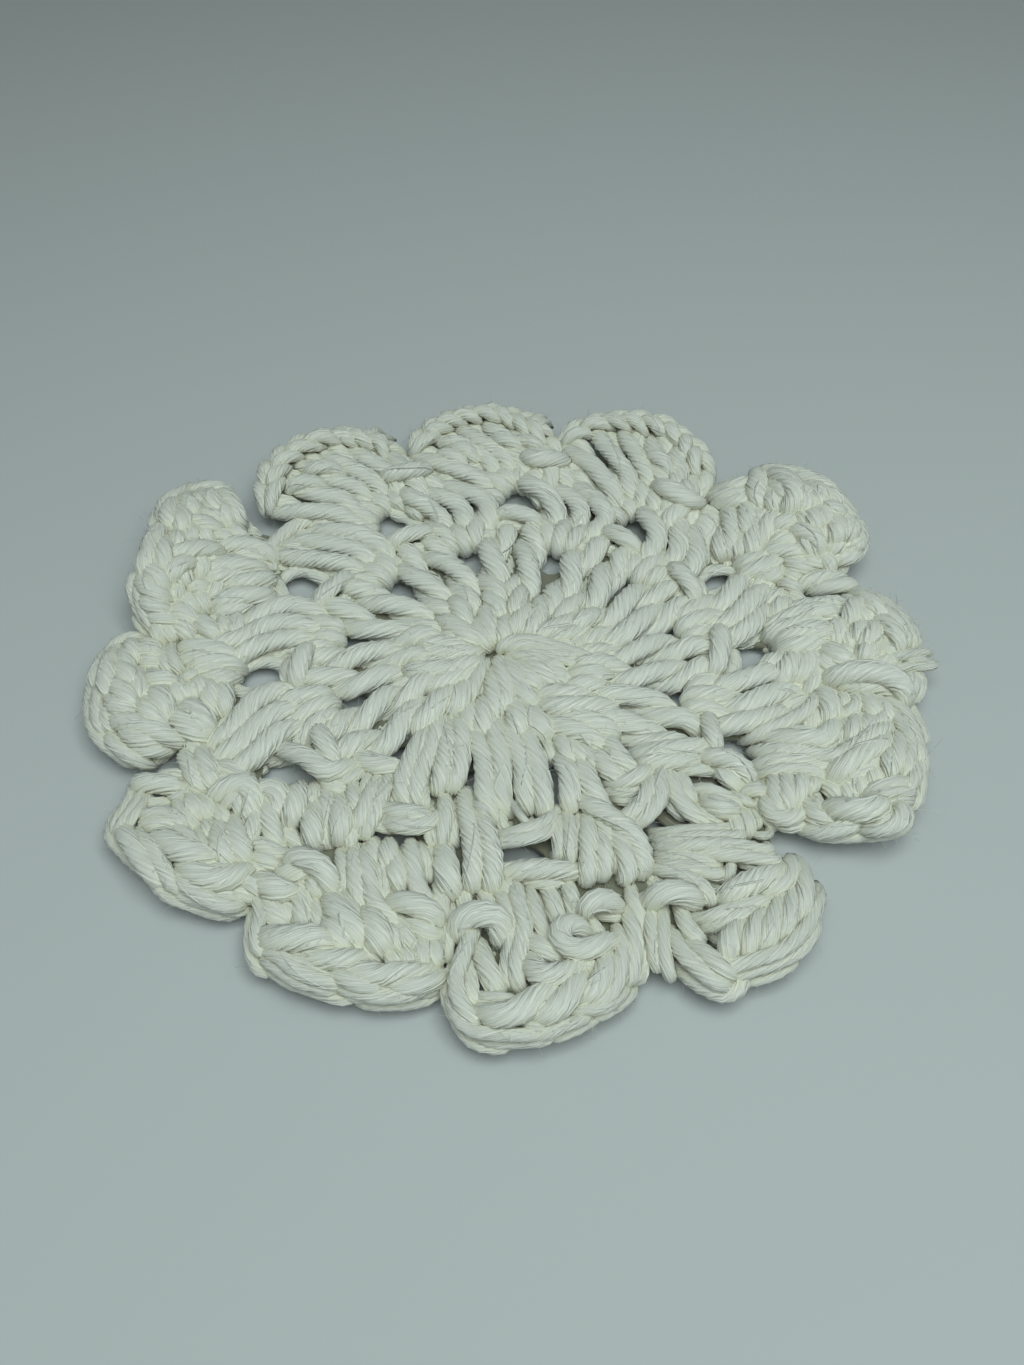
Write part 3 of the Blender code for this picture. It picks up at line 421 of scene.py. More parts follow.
PETAL_003 = (
    Laid(0.50, ((49.6, 8.6, 2.6), (50.9, 6.8, 3.2), (51.9, 4.6, 3.2), (52.5, 2.4, 3.2), (52.6, 0.4, 3.0),
        (52.0, -1.2, 2.4))),
    Laid(0.42, ((50.8, 8.0, 1.8), (52.0, 5.6, 2.2), (52.9, 3.0, 2.2), (53.1, 0.6, 2.2), (52.5, -1.2, 1.8))),
    Laid(0.60, ((49.0, 7.6, 2.8), (50.3, 5.4, 3.8), (51.2, 3.2, 3.9), (51.5, 1.2, 3.8), (51.2, -0.8, 3.0))),
    Laid(0.70, ((48.2, 4.6, 2.8), (49.6, 3.8, 4.0), (50.5, 2.4, 4.2), (50.7, 0.8, 4.1), (50.3, -0.8, 3.8),
        (49.6, -2.2, 2.8))),
    Laid(0.60, ((48.8, 2.0, 2.8), (49.5, 1.0, 3.9), (49.8, -0.2, 3.6), (49.4, -1.4, 2.8))),
    Laid(0.60, ((48.0, 0.6, 2.8), (48.6, -0.6, 3.7), (49.3, -1.6, 3.6), (50.1, -2.2, 2.6))),
    Laid(0.85, ((47.2, 8.4, 2.6), (48.3, 6.8, 3.9), (48.9, 5.2, 3.9), (48.8, 3.8, 3.0))),
    Laid(0.85, ((46.6, 7.6, 2.8), (47.4, 6.0, 3.9), (47.8, 4.4, 3.7), (47.6, 3.2, 2.8))),
    Laid(0.80, ((47.4, 7.4, 3.0), (46.3, 5.8, 4.2), (45.3, 4.4, 4.2), (44.3, 3.2, 3.2))),
    Laid(0.85, ((48.6, 4.4, 3.0), (47.5, 2.4, 4.2), (46.6, 0.6, 4.2), (45.6, -1.0, 3.2))),
    Laid(0.80, ((47.4, 4.0, 3.0), (46.3, 2.2, 4.1), (45.3, 0.4, 3.9), (44.8, -0.8, 3.0))),
    Laid(0.90, ((46.9, -0.4, 3.2), (46.0, -1.6, 4.3), (45.2, -3.0, 3.2))),
    Laid(0.80, ((43.7, -0.6, 3.0), (43.4, -1.8, 3.9), (43.7, -3.2, 3.0))),
    Laid(0.70, ((48.2, -1.2, 2.8), (47.4, -2.4, 3.7), (47.0, -3.6, 2.8))),
    Laid(0.90, ((43.6, 3.4, 3.0), (43.0, 1.6, 4.0), (42.7, -0.4, 3.0))),
    Laid(0.90, ((44.8, 2.6, 3.0), (44.4, 0.8, 4.0), (44.2, -0.8, 3.0))),
    Laid(0.95, ((42.4, 2.2, 3.0), (40.6, 1.6, 4.3), (38.6, 1.3, 4.4), (36.6, 1.0, 4.0), (35.4, 0.4, 3.0))),
    Laid(0.95, ((41.4, 0.8, 3.0), (39.4, 0.5, 4.0), (37.6, -0.1, 4.1), (35.9, -0.6, 3.0))),
    Laid(0.85, ((34.2, 1.6, 2.6), (36.0, 2.8, 3.7), (38.2, 4.0, 3.9), (40.4, 4.5, 3.9), (42.6, 4.1, 3.0))),
    Laid(0.85, ((34.6, 3.2, 2.6), (36.8, 4.6, 3.7), (39.2, 5.6, 3.9), (41.8, 5.6, 3.9), (44.0, 5.2, 3.0))),
    Laid(0.80, ((36.2, 5.6, 2.6), (38.4, 6.6, 3.6), (40.8, 7.2, 3.8), (43.2, 7.0, 3.8), (45.2, 6.6, 3.0))),
    Laid(0.70, ((38.6, 2.8, 2.8), (40.6, 3.2, 3.8), (42.4, 3.0, 3.0))),
    Laid(0.90, ((38.9, -0.6, 2.8), (38.5, -2.6, 3.8), (37.6, -4.4, 3.8), (36.2, -5.8, 2.8))),
    Laid(0.90, ((37.4, -1.2, 2.8), (36.6, -3.0, 3.7), (35.2, -4.6, 3.7), (33.4, -5.6, 2.8))),
    Laid(0.85, ((35.8, -2.0, 2.6), (34.4, -3.6, 3.6), (32.6, -4.8, 2.8))),
    Laid(0.90, ((40.6, -0.6, 3.0), (41.5, -1.8, 4.0), (42.5, -3.0, 4.0), (43.6, -4.0, 3.0))),
    Laid(0.90, ((39.7, -1.8, 3.0), (40.5, -3.0, 3.9), (41.6, -4.0, 3.8), (42.8, -4.6, 2.8))),
    Laid(0.60, ((39.4, -4.4, 2.6), (38.9, -5.8, 3.4), (38.0, -7.2, 3.2), (37.4, -8.4, 2.6))),
    Laid(0.80, ((42.6, -4.6, 2.6), (44.6, -4.3, 3.6), (46.6, -3.9, 3.6), (48.2, -3.0, 3.4),
        (49.6, -2.2, 2.8))),
    Laid(0.45, ((47.4, -3.6, 2.8), (49.0, -2.5, 3.6), (50.8, -1.9, 3.6), (52.6, -1.7, 3.2),
        (54.2, -1.8, 2.6))),
    Laid(0.45, ((46.8, -4.6, 2.8), (48.8, -4.3, 3.4), (50.8, -4.0, 3.2), (52.8, -3.8, 2.8),
        (54.4, -3.9, 2.2))),
    Laid(0.40, ((50.2, -3.2, 2.6), (51.6, -2.8, 3.4), (52.8, -3.0, 3.2), (53.6, -3.9, 2.4))),
    Laid(0.95, ((40.4, -6.2, 3.0), (42.6, -5.5, 4.3), (45.0, -5.2, 4.6), (47.2, -5.5, 4.5),
        (48.8, -6.6, 4.2), (49.4, -8.2, 3.8), (49.0, -9.8, 3.0))),
    Laid(0.80, ((41.0, -7.0, 2.8), (43.0, -6.6, 3.8), (45.2, -6.4, 4.0), (47.0, -6.8, 3.8),
        (48.0, -8.0, 3.4), (48.0, -9.4, 2.6))),
    Laid(0.50, ((51.4, -4.8, 2.0), (51.9, -6.4, 2.4), (51.4, -8.2, 2.4), (50.4, -9.8, 2.2))),
    Laid(0.60, ((50.6, -5.2, 2.4), (50.8, -6.8, 3.2), (50.2, -8.4, 3.2), (49.4, -9.6, 2.6))),
)
PETAL_033 = (
    Laid(0.60, ((38.6, 36.4, 2.6), (40.6, 36.6, 3.2), (42.6, 36.1, 3.3), (44.6, 35.5, 3.2),
        (46.0, 34.6, 2.6))),
    Laid(0.60, ((42.4, 34.6, 2.8), (44.4, 34.4, 3.6), (46.2, 33.6, 3.6), (47.4, 32.2, 3.4),
        (48.2, 30.6, 2.8))),
    Laid(0.50, ((48.0, 31.2, 2.4), (48.4, 29.2, 2.8), (48.9, 27.2, 2.8), (49.5, 25.2, 2.8),
        (49.8, 23.2, 2.4))),
    Laid(0.50, ((49.8, 24.8, 2.2), (50.2, 22.6, 2.6), (50.1, 20.4, 2.6), (49.4, 18.6, 2.6),
        (48.2, 17.2, 2.6), (46.8, 16.0, 2.2))),
    Laid(0.45, ((46.8, 33.8, 1.8), (48.3, 31.8, 2.0), (49.2, 29.4, 2.0), (49.9, 27.0, 2.0),
        (50.4, 24.6, 1.8))),
    Laid(0.90, ((39.4, 34.9, 3.0), (41.2, 34.0, 4.1), (42.4, 32.4, 4.3), (42.6, 30.4, 4.2),
        (41.9, 28.4, 4.0), (40.6, 26.6, 3.0))),
    Laid(0.85, ((39.5, 33.4, 3.0), (40.9, 32.5, 4.0), (41.5, 30.9, 4.1), (41.1, 29.1, 3.9),
        (40.2, 27.6, 3.0))),
    Laid(0.85, ((38.4, 31.8, 2.8), (39.4, 30.2, 3.8), (39.7, 28.6, 3.8), (39.2, 27.0, 2.8))),
    Laid(0.90, ((38.4, 35.4, 2.8), (37.5, 33.6, 3.8), (37.0, 31.6, 3.9), (37.1, 29.4, 3.8),
        (37.6, 27.6, 2.8))),
    Laid(0.80, ((43.2, 33.4, 3.0), (44.1, 31.8, 4.0), (44.2, 30.0, 4.0), (43.4, 28.2, 3.9),
        (42.2, 26.8, 3.0))),
    Laid(0.85, ((45.4, 33.2, 2.8), (46.1, 31.2, 3.9), (46.1, 29.2, 3.9), (45.5, 27.4, 2.8))),
    Laid(0.80, ((46.8, 32.0, 2.8), (47.5, 30.2, 3.7), (47.6, 28.4, 3.7), (47.0, 26.8, 2.8))),
    Laid(0.75, ((45.7, 28.4, 3.0), (46.9, 27.6, 3.9), (47.9, 26.5, 3.8), (48.5, 25.0, 2.8))),
    Laid(0.70, ((45.2, 27.5, 3.0), (45.9, 26.0, 4.0), (45.7, 24.4, 4.0), (45.0, 23.0, 3.0))),
    Laid(0.85, ((44.3, 26.9, 3.0), (44.8, 25.4, 4.0), (44.5, 24.0, 4.0), (43.8, 22.8, 3.0))),
    Laid(0.80, ((42.9, 26.2, 3.0), (43.5, 24.7, 3.9), (43.3, 23.2, 3.0))),
    Laid(0.85, ((48.5, 25.2, 2.8), (48.8, 23.2, 3.8), (48.4, 21.2, 3.8), (47.4, 19.4, 2.8))),
    Laid(0.80, ((49.5, 22.0, 2.4), (49.2, 20.2, 3.2), (48.3, 18.8, 3.2), (47.0, 17.8, 2.6))),
    Laid(0.85, ((47.0, 25.2, 3.0), (47.2, 23.2, 4.0), (46.8, 21.2, 4.0), (45.9, 19.4, 3.0))),
    Laid(0.80, ((45.9, 23.6, 3.0), (46.0, 21.8, 3.9), (45.5, 20.2, 3.0))),
    Laid(0.80, ((46.8, 20.2, 2.8), (45.9, 18.9, 3.7), (44.7, 18.0, 2.8))),
    Laid(0.80, ((48.8, 18.4, 2.4), (47.6, 17.5, 3.2), (46.2, 16.8, 3.2), (44.7, 16.6, 2.6))),
    Laid(0.55, ((46.6, 16.2, 2.0), (46.4, 14.8, 2.6), (45.6, 13.3, 2.0))),
    Laid(0.70, ((44.1, 17.8, 2.8), (44.6, 16.2, 3.6), (44.6, 14.6, 3.5), (43.8, 13.2, 2.6))),
    Laid(0.85, ((40.8, 21.6, 3.0), (41.8, 22.6, 4.1), (43.0, 22.2, 4.2), (43.4, 20.6, 4.1),
        (43.2, 18.6, 3.9), (42.8, 17.0, 2.8))),
    Laid(0.80, ((41.5, 21.0, 3.0), (42.2, 20.2, 4.0), (42.3, 18.8, 4.0), (41.9, 17.2, 3.0))),
    Laid(0.70, ((40.6, 20.4, 3.0), (40.9, 19.0, 3.8), (40.9, 17.6, 2.8))),
    Laid(0.85, ((37.0, 22.4, 2.8), (38.6, 23.4, 3.9), (40.4, 24.2, 3.9), (42.2, 25.0, 3.0))),
    Laid(0.85, ((37.2, 21.0, 2.8), (38.8, 21.8, 3.9), (40.4, 22.3, 3.0))),
    Laid(0.85, ((36.6, 19.6, 2.8), (38.2, 20.4, 3.8), (39.8, 20.6, 3.8), (41.0, 21.2, 2.8))),
    Laid(0.85, ((36.0, 18.0, 2.8), (37.6, 18.8, 3.8), (39.4, 19.2, 3.8), (40.7, 18.7, 3.7),
        (41.6, 17.4, 2.8))),
    Laid(0.85, ((39.8, 26.0, 2.8), (38.3, 24.4, 3.8), (36.9, 22.8, 3.8), (36.0, 20.8, 3.8),
        (35.4, 18.6, 2.8))),
    Laid(0.85, ((36.6, 28.4, 2.8), (36.4, 26.2, 3.8), (36.0, 24.0, 3.8), (35.2, 21.6, 3.8),
        (34.6, 19.0, 3.7), (34.0, 17.0, 2.8))),
    Laid(0.85, ((35.2, 28.6, 2.8), (35.1, 26.0, 3.8), (34.6, 23.4, 3.8), (34.0, 20.6, 3.7),
        (33.4, 18.0, 2.8))),
    Laid(0.85, ((34.0, 28.2, 2.8), (34.0, 25.4, 3.7), (33.6, 22.6, 3.7), (33.0, 19.8, 3.6),
        (32.4, 17.6, 2.8))),
    Laid(0.85, ((32.8, 28.2, 2.8), (32.8, 25.2, 3.6), (32.4, 22.4, 3.6), (31.8, 19.6, 3.5),
        (31.2, 17.6, 2.6))),
    Laid(0.80, ((31.7, 24.0, 2.6), (31.4, 21.6, 3.5), (31.0, 19.4, 3.5), (30.6, 17.6, 2.6))),
    Laid(0.80, ((31.2, 31.4, 2.8), (33.0, 31.9, 3.8), (34.8, 32.4, 3.8), (36.4, 33.4, 2.8))),
    Laid(0.80, ((31.0, 30.2, 2.8), (32.8, 30.6, 3.8), (34.6, 31.0, 3.8), (36.2, 31.8, 2.8))),
    Laid(0.80, ((31.4, 29.1, 2.8), (33.2, 29.5, 3.7), (35.0, 29.9, 3.7), (36.4, 30.2, 2.8))),
    Laid(0.85, ((32.8, 13.2, 2.8), (34.4, 14.2, 3.7), (36.2, 15.4, 3.7), (37.6, 17.0, 2.8))),
    Laid(0.85, ((32.6, 15.4, 2.6), (34.2, 16.1, 3.6), (35.8, 17.0, 3.6), (36.8, 18.2, 2.6))),
    Laid(0.80, ((34.2, 12.4, 2.6), (36.0, 13.3, 3.6), (37.4, 14.2, 2.6))),
    Laid(0.70, ((38.0, 14.0, 2.8), (39.1, 13.2, 3.6), (40.0, 12.3, 2.8))),
    Laid(0.75, ((39.0, 17.0, 2.8), (39.9, 15.8, 3.7), (41.0, 14.9, 3.7), (42.2, 14.6, 2.8))),
    Laid(0.75, ((41.2, 17.0, 2.8), (42.2, 16.2, 3.7), (43.2, 15.2, 2.8))),
    Laid(0.80, ((39.8, 11.2, 2.6), (41.6, 12.2, 3.5), (43.8, 12.7, 3.5), (46.0, 12.3, 2.6))),
    Laid(0.70, ((41.0, 10.7, 2.6), (43.0, 11.3, 3.4), (45.2, 11.5, 3.4), (47.2, 11.1, 2.6))),
    Laid(0.60, ((37.7, 12.1, 2.8), (38.6, 11.0, 3.6), (39.2, 9.7, 2.8))),
)
PETAL_153 = (
    Laid(0.70, ((-45.8, 34.9, 2.4), (-47.6, 33.6, 3.0), (-48.9, 31.8, 3.2), (-49.5, 29.9, 3.2),
        (-49.8, 28.0, 2.6))),
    Laid(0.60, ((-39.9, 31.6, 2.6), (-41.4, 33.8, 3.2), (-43.2, 35.0, 3.4), (-45.2, 35.2, 3.2),
        (-46.8, 34.2, 2.6))),
    Laid(0.45, ((-50.2, 31.2, 1.8), (-50.7, 29.6, 2.2), (-50.9, 28.0, 2.2), (-50.8, 26.4, 2.0))),
    Laid(0.50, ((-48.7, 26.8, 2.6), (-49.7, 26.0, 3.0), (-50.3, 24.6, 3.0), (-50.7, 22.6, 3.0),
        (-50.9, 20.6, 2.8))),
    Laid(0.45, ((-50.7, 20.4, 2.2), (-50.8, 18.4, 2.4), (-50.8, 16.4, 2.4), (-51.0, 14.6, 2.0))),
    Laid(0.50, ((-50.9, 16.2, 2.2), (-51.1, 14.4, 2.6), (-50.6, 12.4, 2.6), (-49.8, 10.4, 2.6),
        (-49.0, 8.6, 2.6), (-48.1, 7.1, 2.6), (-46.8, 5.2, 2.2))),
    Laid(0.50, ((-50.4, 14.2, 2.6), (-49.5, 12.6, 3.2), (-48.9, 10.8, 3.2), (-48.2, 9.0, 3.2),
        (-47.4, 7.4, 3.2), (-46.4, 5.6, 3.0), (-45.4, 3.8, 2.4))),
    Laid(0.45, ((-49.6, 8.6, 1.6), (-48.8, 6.7, 2.0), (-47.6, 5.1, 2.0), (-46.4, 3.9, 1.8))),
    Laid(0.80, ((-48.9, 25.4, 2.8), (-49.6, 23.0, 3.7), (-49.9, 20.6, 3.8), (-49.7, 18.2, 3.7),
        (-49.4, 16.2, 2.8))),
    Laid(0.80, ((-48.5, 23.8, 3.0), (-48.4, 21.6, 4.0), (-48.0, 19.4, 4.0), (-47.5, 17.2, 3.9),
        (-47.0, 15.6, 3.0))),
    Laid(0.80, ((-49.6, 18.2, 2.8), (-48.7, 16.2, 3.9), (-47.4, 14.2, 4.0), (-46.0, 12.4, 3.2))),
    Laid(0.85, ((-49.8, 15.4, 2.6), (-48.7, 13.4, 3.8), (-47.2, 11.6, 4.0), (-45.6, 10.2, 3.2))),
    Laid(0.80, ((-49.3, 12.8, 2.6), (-48.3, 10.8, 3.7), (-46.9, 9.3, 3.9), (-45.2, 8.6, 3.2))),
    Laid(0.70, ((-48.2, 9.6, 2.6), (-46.8, 8.2, 3.6), (-45.0, 7.3, 3.7), (-43.0, 6.3, 2.8))),
    Laid(0.85, ((-48.2, 32.6, 2.6), (-48.6, 30.4, 3.8), (-48.4, 28.2, 3.9), (-47.6, 26.0, 3.0))),
    Laid(0.80, ((-47.2, 31.4, 3.0), (-47.1, 29.2, 4.0), (-46.6, 27.0, 4.0), (-45.9, 25.0, 3.0))),
    Laid(0.80, ((-46.6, 33.0, 2.8), (-46.1, 31.0, 3.9), (-45.6, 29.2, 3.8), (-45.2, 27.8, 2.8))),
    Laid(0.85, ((-44.8, 33.6, 2.8), (-44.8, 31.8, 3.9), (-44.4, 30.2, 3.0))),
    Laid(0.90, ((-43.6, 33.6, 2.8), (-43.4, 32.0, 3.9), (-42.4, 30.4, 3.9), (-41.2, 28.8, 3.0))),
    Laid(0.80, ((-42.2, 34.2, 2.8), (-40.9, 32.2, 3.9), (-39.9, 30.1, 4.0), (-39.0, 28.2, 3.9),
        (-38.2, 26.6, 3.0))),
    Laid(0.80, ((-42.2, 32.0, 2.8), (-41.3, 30.0, 3.8), (-40.5, 28.0, 3.8), (-39.7, 26.0, 3.0))),
    Laid(0.85, ((-43.8, 30.4, 2.8), (-42.8, 29.2, 3.8), (-41.7, 27.9, 3.8), (-40.8, 26.5, 2.8))),
    Laid(0.75, ((-45.4, 27.2, 2.8), (-44.0, 27.1, 3.9), (-42.6, 26.3, 4.0), (-41.2, 24.9, 3.2))),
    Laid(0.75, ((-45.3, 26.0, 2.8), (-44.6, 24.4, 3.8), (-44.5, 22.7, 2.8))),
    Laid(0.80, ((-43.8, 25.6, 2.8), (-42.9, 24.2, 3.8), (-41.7, 23.1, 2.8))),
    Laid(0.80, ((-46.9, 24.6, 2.8), (-46.6, 22.8, 3.8), (-46.4, 21.0, 2.8))),
    Laid(0.80, ((-41.2, 24.6, 2.8), (-39.9, 23.6, 3.7), (-38.7, 22.4, 2.8))),
    Laid(0.80, ((-39.6, 26.0, 2.6), (-38.8, 24.8, 3.6), (-37.8, 23.4, 3.6), (-36.6, 22.2, 2.8))),
    Laid(0.95, ((-46.6, 19.2, 2.8), (-45.4, 20.8, 4.1), (-43.6, 21.3, 4.3), (-41.8, 20.7, 4.1),
        (-40.4, 19.2, 3.0))),
    Laid(0.90, ((-46.3, 14.6, 2.8), (-46.2, 16.6, 4.0), (-45.6, 18.3, 4.2), (-44.2, 18.7, 4.2),
        (-43.2, 17.4, 3.0))),
    Laid(0.85, ((-45.2, 16.9, 3.0), (-44.5, 15.4, 4.0), (-43.8, 14.2, 3.0))),
    Laid(0.85, ((-42.9, 19.0, 3.0), (-42.2, 17.2, 4.0), (-42.0, 15.4, 3.0))),
    Laid(0.80, ((-41.6, 19.3, 3.0), (-40.7, 18.2, 4.0), (-40.0, 16.9, 3.0))),
    Laid(0.85, ((-40.2, 22.0, 2.8), (-38.0, 22.0, 3.8), (-35.8, 21.4, 3.8), (-34.0, 20.0, 3.6),
        (-32.8, 18.4, 2.8))),
    Laid(0.85, ((-38.9, 20.6, 2.8), (-36.7, 20.4, 3.8), (-34.8, 19.4, 3.7), (-33.4, 17.9, 2.8))),
    Laid(0.80, ((-39.4, 18.6, 2.8), (-37.6, 18.8, 3.8), (-35.6, 18.2, 3.7), (-34.0, 17.0, 2.8))),
    Laid(0.85, ((-41.7, 16.5, 2.8), (-39.8, 17.4, 3.9), (-37.6, 17.5, 3.9), (-35.4, 16.9, 3.8),
        (-33.6, 15.6, 2.8))),
    Laid(0.85, ((-41.5, 15.2, 2.8), (-39.4, 16.2, 3.9), (-37.2, 16.3, 3.9), (-35.0, 15.8, 3.8),
        (-33.2, 14.7, 2.8))),
    Laid(0.75, ((-40.0, 10.8, 2.8), (-39.6, 12.6, 3.7), (-39.4, 14.4, 2.8))),
    Laid(0.85, ((-38.2, 12.6, 2.8), (-36.6, 13.6, 3.8), (-34.8, 14.3, 3.8), (-33.0, 14.3, 2.8))),
    Laid(0.85, ((-38.7, 11.6, 2.8), (-36.8, 12.2, 3.7), (-34.8, 12.8, 3.7), (-33.0, 12.9, 2.8))),
    Laid(0.90, ((-39.5, 9.6, 2.8), (-37.8, 10.5, 3.8), (-36.0, 11.2, 3.8), (-34.2, 11.4, 3.7),
        (-32.6, 11.4, 2.8))),
    Laid(0.80, ((-38.9, 8.5, 2.6), (-37.2, 9.1, 3.6), (-35.4, 9.9, 3.6), (-33.8, 10.2, 2.6))),
    Laid(0.80, ((-43.2, 13.2, 2.8), (-41.8, 13.4, 3.7), (-40.7, 12.2, 2.8))),
    Laid(0.80, ((-43.4, 11.6, 2.8), (-42.7, 9.8, 3.7), (-41.9, 8.0, 2.8))),
    Laid(0.70, ((-45.5, 13.6, 2.8), (-44.8, 12.2, 3.7), (-44.5, 10.6, 2.8))),
    Laid(0.80, ((-44.9, 9.5, 2.8), (-43.5, 8.7, 3.7), (-42.3, 7.5, 3.7), (-41.6, 6.0, 2.8))),
    Laid(0.80, ((-41.9, 12.4, 2.8), (-41.1, 10.6, 3.7), (-40.6, 8.8, 2.8))),
    Laid(0.80, ((-41.3, 6.7, 2.8), (-39.9, 5.9, 3.7), (-38.7, 4.6, 3.6), (-37.8, 3.2, 2.8))),
    Laid(0.85, ((-43.5, 6.6, 2.8), (-42.3, 5.2, 3.7), (-41.2, 3.6, 2.8))),
    Laid(0.70, ((-44.9, 6.4, 2.6), (-44.2, 4.8, 3.6), (-43.6, 3.4, 2.6))),
    Laid(0.75, ((-46.3, 7.0, 2.6), (-45.6, 5.0, 3.5), (-44.8, 3.0, 2.6))),
    Laid(0.75, ((-37.4, 7.2, 2.6), (-37.0, 5.6, 3.5), (-36.8, 3.8, 2.6))),
    Laid(0.75, ((-35.9, 7.0, 2.6), (-35.6, 5.4, 3.5), (-35.4, 3.6, 2.6))),
)
